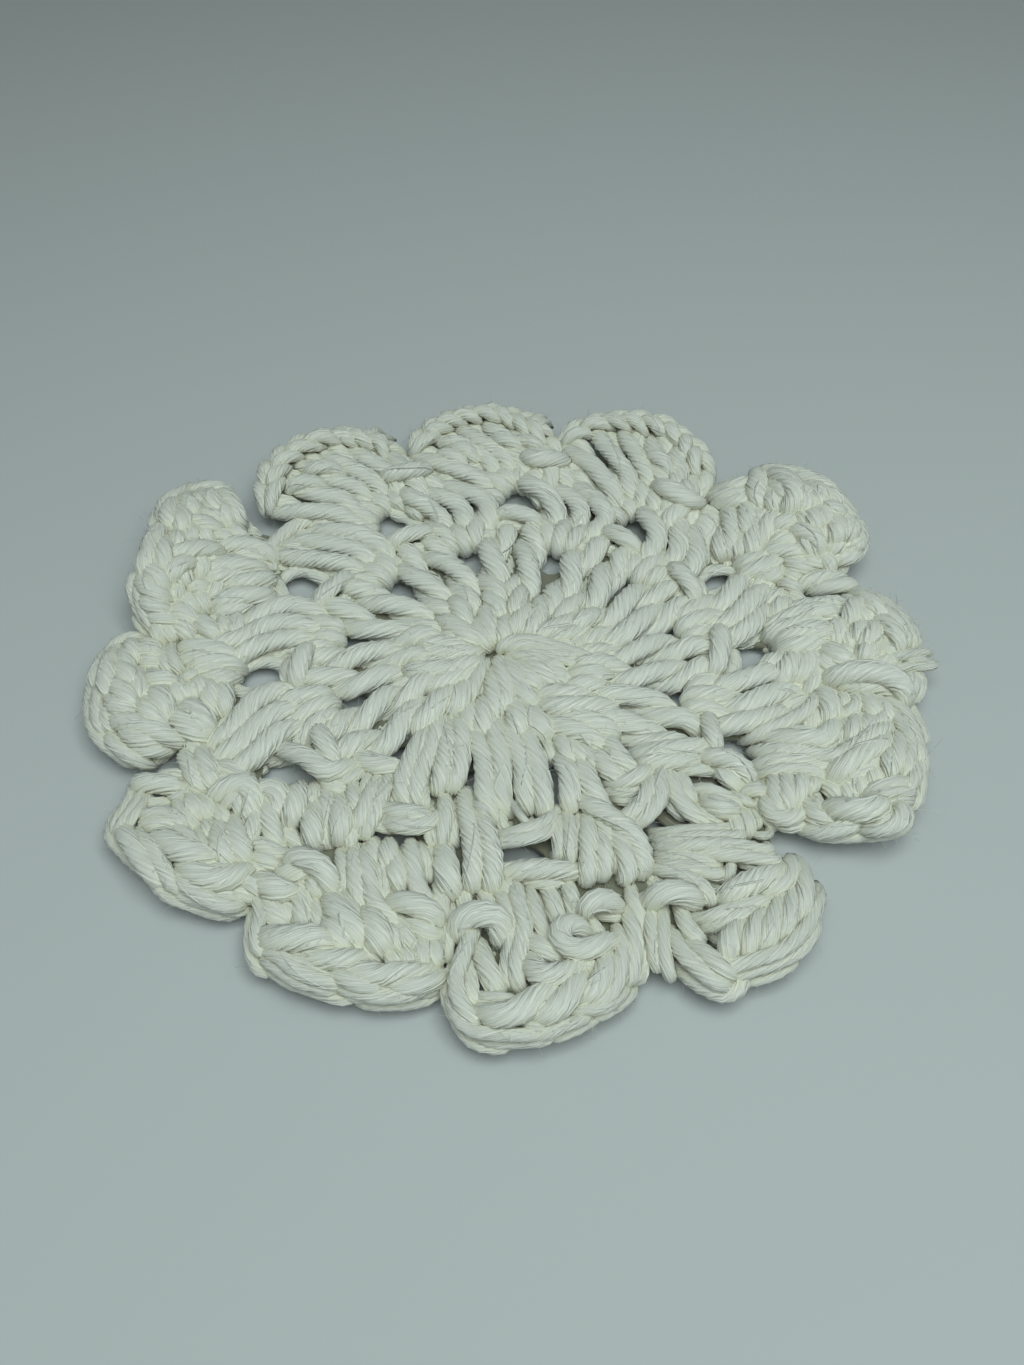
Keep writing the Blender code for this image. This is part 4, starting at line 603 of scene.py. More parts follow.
PETAL_189 = (
    Laid(0.50, ((-47.6, 3.3, 2.4), (-49.0, 3.9, 3.0), (-50.2, 3.6, 3.0), (-51.0, 2.5, 3.0),
        (-51.4, 1.0, 2.6))),
    Laid(0.60, ((-51.7, 1.2, 2.2), (-52.3, -0.6, 2.8), (-52.5, -2.6, 2.8), (-52.3, -4.6, 2.4))),
    Laid(0.55, ((-51.4, -4.8, 2.6), (-51.3, -6.6, 3.0), (-50.9, -8.6, 3.0), (-50.2, -10.4, 3.0),
        (-49.4, -12.2, 2.6))),
    Laid(0.50, ((-52.6, -4.4, 1.6), (-52.3, -6.6, 2.0), (-51.9, -9.0, 2.2), (-50.9, -11.4, 2.2),
        (-49.4, -13.4, 2.2), (-47.6, -15.2, 2.2), (-45.6, -17.2, 2.0))),
    Laid(0.75, ((-50.9, 1.6, 2.6), (-50.8, -0.4, 3.6), (-50.6, -2.4, 3.8), (-50.2, -4.4, 3.8),
        (-49.9, -6.4, 3.2))),
    Laid(0.60, ((-49.9, 1.6, 2.8), (-49.5, 0.0, 3.8), (-48.8, -1.2, 3.9), (-47.9, -2.2, 3.0))),
    Laid(0.70, ((-49.3, 3.2, 2.6), (-48.6, 2.0, 3.7), (-48.4, 0.4, 3.8), (-48.0, -0.8, 3.0))),
    Laid(0.55, ((-48.2, 3.1, 2.4), (-46.9, 2.9, 3.4), (-45.6, 2.1, 3.6), (-44.8, 0.9, 3.0))),
    Laid(0.80, ((-48.0, 0.8, 2.8), (-46.9, 1.5, 3.9), (-45.6, 1.2, 3.9), (-44.8, 0.2, 3.0))),
    Laid(0.60, ((-47.3, 0.0, 2.8), (-46.2, -0.5, 3.7), (-45.1, -0.8, 3.7), (-44.4, -1.6, 2.8))),
    Laid(0.80, ((-49.8, -1.0, 3.0), (-48.9, -2.6, 3.9), (-48.0, -4.2, 4.1), (-47.3, -6.0, 3.2))),
    Laid(0.80, ((-49.9, -3.0, 3.0), (-48.9, -5.0, 4.0), (-47.6, -7.0, 4.2), (-46.5, -8.8, 3.4))),
    Laid(0.70, ((-50.0, -5.8, 2.8), (-49.0, -7.6, 3.8), (-47.6, -9.0, 4.0), (-46.2, -9.9, 3.2))),
    Laid(0.60, ((-50.2, -7.6, 2.4), (-49.6, -9.2, 3.2), (-48.8, -10.8, 3.2), (-47.9, -12.0, 2.6))),
    Laid(0.70, ((-46.9, -2.4, 2.8), (-46.7, -4.4, 3.8), (-46.4, -6.4, 3.8), (-45.9, -8.2, 2.8))),
    Laid(0.55, ((-44.7, 1.6, 2.6), (-44.3, 0.0, 3.7), (-43.5, -1.6, 3.7), (-42.7, -2.8, 2.8))),
    Laid(0.55, ((-43.9, 1.6, 2.8), (-43.3, 0.0, 3.9), (-42.5, -1.4, 3.9), (-41.7, -2.6, 3.0))),
    Laid(0.50, ((-43.1, 1.2, 2.8), (-42.4, -0.4, 3.8), (-41.5, -1.4, 2.8))),
    Laid(0.85, ((-45.6, -3.4, 2.8), (-44.3, -4.2, 3.8), (-42.9, -4.4, 3.8), (-41.8, -5.0, 2.8))),
    Laid(0.70, ((-45.7, -5.0, 2.6), (-45.4, -6.6, 3.6), (-44.9, -8.0, 2.8))),
    Laid(0.90, ((-45.3, -7.0, 2.8), (-44.4, -8.6, 4.1), (-43.5, -10.4, 4.3), (-42.5, -12.0, 3.4))),
    Laid(0.90, ((-44.2, -6.2, 2.8), (-43.3, -7.8, 4.2), (-42.7, -9.6, 4.2), (-42.2, -11.0, 3.0))),
    Laid(0.80, ((-42.6, -5.8, 2.8), (-42.4, -7.4, 3.9), (-42.0, -8.8, 3.0))),
    Laid(0.80, ((-41.5, -4.8, 2.8), (-41.3, -6.4, 3.8), (-41.0, -8.0, 3.0))),
    Laid(0.80, ((-40.3, -4.6, 2.8), (-40.1, -6.0, 3.8), (-39.9, -7.4, 3.0))),
    Laid(0.80, ((-39.1, -4.4, 2.8), (-38.8, -5.8, 3.8), (-38.5, -7.2, 3.0))),
    Laid(0.80, ((-37.8, -4.6, 2.8), (-37.5, -6.2, 3.7), (-37.1, -8.0, 3.6), (-36.8, -9.6, 2.8))),
    Laid(0.80, ((-36.4, -4.8, 2.6), (-36.2, -6.6, 3.6), (-35.9, -8.4, 3.5), (-35.6, -9.8, 2.6))),
    Laid(0.90, ((-41.5, -9.2, 3.0), (-40.0, -10.2, 4.1), (-38.6, -11.8, 4.1), (-37.4, -13.4, 3.0))),
    Laid(0.85, ((-40.0, -8.1, 3.0), (-38.7, -9.4, 4.0), (-37.7, -11.2, 4.0), (-36.8, -12.8, 3.0))),
    Laid(0.75, ((-37.9, -8.6, 2.8), (-37.2, -10.2, 3.7), (-36.8, -11.8, 2.8))),
    Laid(0.50, ((-41.1, -4.2, 3.0), (-40.3, -3.3, 4.0), (-39.3, -2.4, 3.2))),
    Laid(0.85, ((-42.1, 1.0, 2.8), (-40.2, 1.1, 3.7), (-38.2, 0.8, 3.7), (-36.4, 0.2, 3.5),
        (-35.0, -0.8, 2.8))),
    Laid(0.85, ((-41.7, -0.3, 2.8), (-39.6, -0.6, 3.6), (-37.6, -0.8, 3.6), (-35.8, -1.2, 3.4),
        (-34.8, -2.0, 2.6))),
    Laid(0.80, ((-40.4, -2.0, 2.6), (-38.4, -2.0, 3.5), (-36.6, -2.2, 3.4), (-35.2, -2.8, 2.6))),
    Laid(0.80, ((-38.4, -3.4, 2.6), (-36.8, -3.6, 3.4), (-35.2, -3.8, 2.6))),
    Laid(0.80, ((-48.6, -10.6, 3.0), (-46.6, -11.0, 4.0), (-44.4, -11.9, 4.2), (-42.2, -13.1, 4.0),
        (-40.2, -14.2, 3.0))),
    Laid(0.75, ((-47.0, -12.2, 2.8), (-45.4, -13.1, 3.9), (-43.5, -13.8, 3.9), (-41.4, -14.4, 2.8))),
    Laid(0.60, ((-46.2, -13.8, 2.4), (-44.8, -14.8, 3.4), (-43.0, -14.9, 3.4), (-41.2, -14.8, 2.6))),
    Laid(0.60, ((-48.6, -13.2, 2.4), (-46.8, -14.9, 3.0), (-45.0, -16.2, 3.0), (-43.6, -17.4, 2.4))),
    Laid(0.42, ((-46.8, -12.4, 2.6), (-45.9, -14.0, 3.2), (-45.0, -15.4, 2.4))),
)
PETAL_218 = (
    Laid(0.46, ((-45.3, -24.8, 1.9), (-45.6, -26.6, 2.0), (-45.2, -28.2, 2.0), (-44.0, -29.6, 2.0),
        (-42.7, -31.0, 2.0), (-41.2, -32.3, 1.9), (-39.8, -33.3, 1.8))),
    Laid(0.46, ((-39.7, -33.0, 2.2), (-38.8, -34.3, 2.3), (-37.8, -35.4, 2.3), (-36.4, -36.3, 2.2),
        (-34.9, -36.9, 2.0), (-33.4, -37.7, 1.9), (-31.8, -38.3, 1.9), (-30.0, -38.5, 1.8))),
    Laid(0.65, ((-44.3, -27.2, 2.8), (-43.1, -28.2, 3.6), (-42.2, -29.4, 3.7), (-41.2, -30.8, 3.6),
        (-40.2, -32.1, 3.4), (-39.2, -33.3, 3.2), (-38.2, -34.5, 2.6))),
    Laid(0.60, ((-42.2, -27.9, 2.8), (-41.0, -28.9, 3.6), (-40.1, -30.3, 3.7), (-39.2, -31.9, 3.6),
        (-38.2, -33.1, 3.4), (-37.0, -34.3, 3.2), (-35.7, -35.2, 2.8))),
    Laid(0.62, ((-36.9, -33.4, 2.8), (-35.8, -34.3, 3.5), (-34.4, -35.2, 3.6), (-33.0, -36.2, 3.6),
        (-31.6, -37.1, 3.3), (-30.2, -37.5, 2.8))),
    Laid(0.50, ((-37.9, -35.0, 2.0), (-36.3, -35.7, 2.4), (-34.7, -36.4, 2.5), (-33.1, -37.2, 2.4),
        (-31.4, -37.9, 2.3), (-29.6, -38.2, 2.0))),
    Laid(0.56, ((-33.8, -35.0, 2.8), (-32.3, -35.5, 3.4), (-30.8, -36.2, 3.3), (-29.4, -36.7, 2.6))),
    Laid(0.40, ((-43.9, -20.8, 2.2), (-44.0, -22.4, 2.7), (-44.6, -24.2, 2.8), (-45.1, -26.0, 2.8),
        (-44.9, -27.6, 2.4))),
    Laid(0.40, ((-43.0, -21.8, 2.8), (-43.3, -23.5, 3.2), (-44.1, -25.1, 3.2), (-44.4, -26.7, 3.1),
        (-43.9, -28.0, 2.6))),
    Laid(0.36, ((-42.2, -22.8, 2.8), (-42.7, -24.4, 3.4), (-43.5, -25.8, 3.3), (-43.9, -27.0, 2.8))),
    Laid(0.78, ((-43.8, -21.0, 2.4), (-42.5, -20.4, 3.4), (-40.9, -20.5, 3.8), (-39.4, -20.9, 3.7),
        (-38.4, -21.6, 3.0))),
    Laid(0.52, ((-41.3, -19.4, 2.4), (-39.9, -19.0, 3.2), (-38.7, -19.3, 3.4), (-38.0, -20.2, 2.6))),
    Laid(0.36, ((-39.6, -22.6, 2.6), (-38.5, -22.3, 3.4), (-37.9, -21.2, 2.8))),
    Laid(0.50, ((-42.6, -22.4, 2.2), (-41.6, -23.3, 2.7), (-40.3, -23.4, 2.7), (-39.3, -22.9, 2.2))),
    Laid(0.72, ((-38.4, -16.2, 2.8), (-37.7, -17.9, 3.7), (-36.9, -19.6, 3.7), (-36.0, -21.3, 3.0))),
    Laid(0.72, ((-37.0, -16.2, 2.8), (-36.2, -17.8, 3.7), (-35.5, -19.4, 3.7), (-34.9, -21.0, 3.0))),
    Laid(0.52, ((-35.8, -16.3, 2.6), (-35.0, -17.6, 3.2), (-34.3, -19.0, 3.2), (-33.8, -20.3, 2.6))),
    Laid(0.75, ((-34.3, -18.3, 2.4), (-33.0, -18.6, 3.2), (-31.8, -19.3, 2.6))),
    Laid(0.50, ((-42.3, -25.3, 2.8), (-40.8, -24.8, 3.7), (-39.2, -25.0, 3.9), (-37.9, -25.9, 3.7),
        (-37.2, -27.2, 3.0))),
    Laid(0.72, ((-42.0, -26.3, 2.2), (-40.6, -26.3, 3.0), (-39.2, -26.6, 3.2), (-37.9, -27.4, 2.8))),
    Laid(0.95, ((-39.7, -27.5, 2.8), (-38.6, -28.5, 3.9), (-37.3, -29.6, 4.2), (-36.0, -30.5, 4.2),
        (-34.7, -31.2, 3.9), (-33.5, -31.7, 3.0))),
    Laid(0.65, ((-38.0, -26.9, 2.8), (-37.0, -28.0, 3.6), (-36.0, -29.2, 3.8), (-35.0, -30.4, 3.4))),
    Laid(0.85, ((-36.2, -31.9, 2.8), (-35.1, -32.9, 3.8), (-33.8, -33.8, 4.1), (-32.3, -34.2, 4.1),
        (-30.8, -33.9, 3.8), (-29.6, -33.3, 3.0))),
    Laid(0.62, ((-34.6, -32.3, 2.8), (-33.2, -32.9, 3.7), (-31.7, -33.2, 3.8), (-30.2, -33.0, 3.2))),
    Laid(0.62, ((-38.3, -23.4, 2.6), (-37.4, -24.6, 3.3), (-36.6, -26.0, 3.1), (-36.0, -27.2, 2.4))),
    Laid(0.72, ((-37.2, -22.8, 2.6), (-36.4, -24.0, 3.4), (-35.9, -25.4, 3.0))),
    Laid(0.62, ((-35.7, -22.4, 2.6), (-35.3, -24.0, 3.2), (-35.0, -25.6, 2.8))),
    Laid(0.50, ((-34.8, -26.0, 2.6), (-34.1, -27.2, 3.4), (-33.6, -28.6, 2.6))),
    Laid(0.42, ((-35.6, -27.2, 2.6), (-34.9, -28.7, 3.4), (-34.2, -30.2, 3.3), (-33.5, -31.5, 2.6))),
    Laid(0.82, ((-32.9, -27.1, 2.8), (-32.7, -28.7, 3.8), (-32.1, -30.3, 4.0), (-31.2, -31.8, 3.4))),
    Laid(0.82, ((-31.6, -26.6, 2.8), (-31.1, -28.2, 3.8), (-30.6, -29.8, 4.0), (-30.1, -31.4, 3.4))),
    Laid(0.85, ((-34.7, -22.8, 2.6), (-33.4, -21.6, 3.8), (-31.7, -20.9, 4.3), (-30.3, -21.2, 4.4),
        (-29.7, -22.6, 4.0), (-29.5, -24.2, 3.6), (-29.7, -26.0, 3.0))),
    Laid(0.62, ((-33.2, -24.2, 2.6), (-32.3, -22.9, 3.7), (-31.1, -22.3, 4.0), (-30.6, -23.4, 3.9),
        (-30.7, -25.2, 3.2))),
    Laid(0.62, ((-34.0, -24.6, 2.4), (-33.2, -25.4, 3.0), (-32.5, -26.6, 2.6))),
    Laid(0.78, ((-29.2, -23.6, 2.8), (-28.8, -22.2, 3.8), (-27.9, -21.4, 4.2), (-27.0, -22.0, 4.2),
        (-26.6, -23.2, 4.0), (-26.4, -24.4, 3.6), (-26.2, -26.2, 3.0))),
    Laid(0.70, ((-27.8, -22.6, 3.0), (-27.6, -24.4, 3.7), (-27.3, -26.2, 3.7), (-26.9, -28.0, 3.6),
        (-26.2, -29.6, 2.8))),
    Laid(0.62, ((-29.1, -23.6, 2.8), (-29.0, -25.4, 3.6), (-29.1, -27.2, 3.6), (-29.4, -29.0, 3.3),
        (-29.6, -30.6, 2.6))),
    Laid(0.42, ((-28.2, -24.4, 2.8), (-28.2, -26.2, 3.4), (-28.3, -28.0, 2.8))),
    Laid(0.85, ((-25.2, -22.6, 2.6), (-25.2, -23.6, 3.4), (-25.3, -24.8, 3.4), (-25.0, -26.4, 2.8))),
    Laid(0.62, ((-29.4, -29.2, 2.6), (-28.1, -29.7, 3.5), (-26.8, -30.2, 3.6), (-25.6, -31.0, 2.8))),
    Laid(0.60, ((-28.9, -30.8, 2.4), (-27.9, -31.3, 3.4), (-26.9, -31.9, 3.4), (-26.2, -32.8, 2.6))),
    Laid(0.52, ((-29.1, -32.3, 2.4), (-28.2, -32.9, 3.0), (-27.2, -33.2, 2.6))),
    Laid(0.62, ((-30.4, -34.2, 2.8), (-29.0, -34.2, 3.6), (-27.9, -34.8, 3.4), (-27.6, -36.0, 2.6))),
    Laid(0.62, ((-30.6, -35.1, 2.4), (-29.2, -35.4, 3.2), (-28.2, -36.2, 2.6))),
)
PETAL_247 = (
    Laid(0.60, ((-26.6, -26.2, 1.9), (-24.9, -28.2, 2.8), (-23.2, -30.4, 2.2))),
    Laid(0.80, ((-26.9, -35.4, 1.8), (-25.7, -37.2, 2.7), (-24.7, -39.0, 2.7), (-24.0, -41.0, 2.0))),
    Laid(0.70, ((-25.9, -34.4, 1.8), (-24.7, -35.9, 2.6), (-23.8, -37.4, 2.2))),
    Laid(0.80, ((-24.6, -33.4, 2.6), (-24.0, -31.4, 4.0), (-22.4, -31.6, 4.7), (-21.0, -32.4, 4.7),
        (-20.2, -34.0, 4.2), (-19.8, -35.8, 3.2))),
    Laid(0.75, ((-25.4, -33.2, 2.4), (-24.0, -32.9, 3.6), (-22.6, -33.0, 3.4), (-21.8, -33.6, 2.6))),
    Laid(0.85, ((-27.6, -34.8, 2.6), (-26.4, -35.3, 3.8), (-25.0, -35.8, 3.8), (-24.0, -36.2, 2.8))),
    Laid(0.45, ((-27.6, -36.0, 2.4), (-26.9, -37.8, 3.0), (-26.8, -39.6, 3.2), (-26.8, -41.6, 3.2),
        (-26.2, -43.4, 2.8))),
    Laid(0.42, ((-27.9, -39.0, 1.8), (-27.8, -41.2, 2.0), (-27.5, -43.2, 2.0), (-26.8, -44.8, 1.8),
        (-25.6, -45.6, 1.6))),
    Laid(0.55, ((-25.8, -42.9, 2.8), (-24.4, -43.4, 3.4), (-23.4, -44.4, 3.6), (-22.2, -45.3, 3.6),
        (-20.8, -45.9, 3.4), (-19.4, -46.5, 3.2), (-18.0, -47.2, 2.6))),
    Laid(0.45, ((-23.0, -43.3, 2.8), (-22.1, -43.9, 3.5), (-21.2, -44.9, 3.5), (-20.0, -45.7, 3.4),
        (-18.8, -46.4, 2.8))),
    Laid(0.45, ((-25.8, -43.9, 2.4), (-24.6, -44.9, 2.8), (-23.3, -46.0, 2.8), (-21.8, -46.8, 2.8),
        (-20.2, -47.3, 2.6), (-18.6, -47.8, 2.4))),
    Laid(0.40, ((-25.4, -45.4, 1.6), (-24.2, -46.0, 1.7), (-22.9, -47.0, 1.7), (-21.4, -47.5, 1.7),
        (-19.8, -48.1, 1.7), (-18.0, -48.6, 1.7), (-16.4, -48.8, 1.7))),
    Laid(0.55, ((-18.1, -46.1, 3.0), (-17.1, -46.2, 3.6), (-16.1, -47.0, 3.5), (-14.8, -47.4, 3.4),
        (-13.3, -47.9, 2.8))),
    Laid(0.55, ((-17.6, -47.2, 2.4), (-16.0, -47.7, 2.8), (-14.2, -48.1, 2.9), (-12.2, -48.3, 2.9),
        (-10.4, -48.1, 2.8), (-8.8, -47.7, 2.6))),
    Laid(0.62, ((-12.8, -47.1, 2.8), (-11.4, -47.3, 3.4), (-9.8, -47.4, 3.4), (-8.4, -47.2, 3.2),
        (-7.4, -46.8, 2.6))),
    Laid(0.36, ((-17.0, -48.4, 1.9), (-15.2, -48.8, 2.0), (-13.2, -48.8, 2.0), (-11.2, -48.7, 2.0),
        (-9.4, -48.4, 2.0), (-8.0, -48.2, 1.8))),
    Laid(0.45, ((-15.6, -49.1, 1.3), (-13.8, -49.4, 1.4), (-12.0, -49.5, 1.4), (-10.3, -49.4, 1.4),
        (-8.8, -49.0, 1.4), (-7.6, -48.2, 1.3))),
    Laid(0.95, ((-26.0, -42.2, 2.8), (-24.4, -41.6, 4.0), (-22.6, -41.6, 4.3), (-20.9, -41.8, 4.2),
        (-19.4, -42.8, 3.4))),
    Laid(0.72, ((-22.2, -43.2, 2.6), (-20.8, -43.9, 3.6), (-19.0, -44.3, 3.8), (-17.2, -44.3, 3.8),
        (-15.6, -43.9, 2.8))),
    Laid(0.50, ((-20.4, -42.4, 2.8), (-18.9, -43.1, 3.4), (-17.2, -43.4, 3.4), (-15.8, -43.2, 2.8))),
    Laid(0.70, ((-17.4, -45.4, 2.6), (-15.9, -45.8, 3.7), (-14.2, -46.3, 3.8), (-12.4, -46.2, 3.7),
        (-10.6, -46.0, 3.6), (-8.8, -45.7, 2.8))),
    Laid(0.60, ((-17.3, -31.0, 3.0), (-17.1, -33.0, 3.7), (-16.9, -35.0, 3.6), (-16.5, -37.0, 3.2),
        (-16.3, -38.8, 2.6))),
    Laid(0.62, ((-16.0, -31.0, 3.0), (-15.6, -33.0, 3.7), (-15.4, -35.2, 3.6), (-15.0, -37.2, 3.4),
        (-14.2, -38.6, 3.4), (-13.0, -39.6, 3.2), (-12.4, -41.2, 2.6))),
    Laid(0.55, ((-14.5, -31.4, 2.6), (-14.0, -33.2, 3.4), (-13.8, -35.0, 3.4), (-13.9, -36.8, 3.0),
        (-13.4, -38.2, 2.4))),
    Laid(0.62, ((-13.2, -31.2, 3.0), (-12.8, -33.0, 3.9), (-12.3, -34.7, 3.8), (-12.0, -36.0, 2.6))),
    Laid(0.66, ((-11.2, -31.0, 3.0), (-10.8, -33.0, 3.7), (-10.4, -35.0, 3.7), (-9.6, -36.7, 3.6),
        (-8.6, -37.8, 2.8))),
    Laid(0.80, ((-13.2, -37.8, 2.6), (-12.0, -37.2, 4.2), (-10.4, -37.6, 4.5), (-9.0, -38.2, 4.4),
        (-8.1, -39.4, 3.8), (-7.9, -40.6, 2.8))),
    Laid(0.88, ((-19.3, -37.2, 2.8), (-18.5, -38.6, 3.9), (-17.6, -40.1, 4.1), (-16.6, -41.5, 3.8),
        (-16.0, -42.6, 2.8))),
    Laid(0.75, ((-19.5, -39.4, 2.6), (-18.9, -40.8, 3.7), (-18.1, -42.0, 3.8), (-17.0, -42.9, 2.8))),
    Laid(0.55, ((-18.2, -36.2, 2.8), (-17.6, -37.6, 3.5), (-16.8, -39.0, 3.6), (-16.0, -40.2, 3.2),
        (-15.5, -41.4, 2.6))),
    Laid(0.95, ((-15.3, -39.2, 2.8), (-14.6, -40.4, 3.9), (-14.0, -41.8, 4.1), (-13.5, -43.0, 3.4))),
    Laid(0.62, ((-13.4, -40.2, 2.8), (-12.8, -41.6, 3.5), (-12.4, -43.0, 3.2))),
    Laid(0.50, ((-12.0, -39.7, 2.6), (-11.6, -41.0, 3.4), (-11.0, -42.3, 3.4), (-10.2, -43.2, 2.8))),
    Laid(0.62, ((-11.2, -40.2, 2.6), (-10.2, -40.4, 3.5), (-9.2, -41.0, 3.5), (-8.4, -41.8, 2.8))),
    Laid(0.45, ((-15.9, -41.0, 2.6), (-15.6, -42.2, 3.2), (-15.0, -43.4, 3.2), (-14.3, -44.4, 2.4))),
    Laid(0.62, ((-13.0, -43.4, 2.6), (-12.2, -44.4, 3.4), (-12.1, -45.5, 2.8))),
    Laid(0.62, ((-11.4, -43.2, 2.6), (-10.8, -44.4, 3.4), (-10.7, -45.6, 2.8))),
    Laid(0.56, ((-9.6, -42.0, 2.6), (-9.4, -43.6, 3.3), (-9.3, -45.2, 2.8))),
    Laid(0.56, ((-8.3, -41.9, 2.6), (-8.1, -43.5, 3.2), (-8.0, -45.1, 2.6))),
    Laid(0.70, ((-24.8, -36.8, 2.2), (-24.5, -38.2, 2.8), (-24.0, -39.8, 2.2))),
    Laid(0.75, ((-23.2, -35.4, 2.2), (-22.9, -37.0, 3.0), (-22.6, -38.6, 2.9), (-22.5, -40.0, 2.4))),
    Laid(0.62, ((-22.0, -34.0, 2.6), (-21.3, -35.0, 3.6), (-20.6, -36.2, 2.8))),
    Laid(0.55, ((-21.4, -36.6, 2.2), (-21.1, -38.2, 2.9), (-20.5, -39.6, 2.9), (-20.1, -40.9, 2.2))),
    Laid(0.55, ((-18.8, -31.2, 2.6), (-18.4, -33.0, 3.2), (-18.3, -34.8, 3.0), (-18.9, -36.4, 2.4))),
)
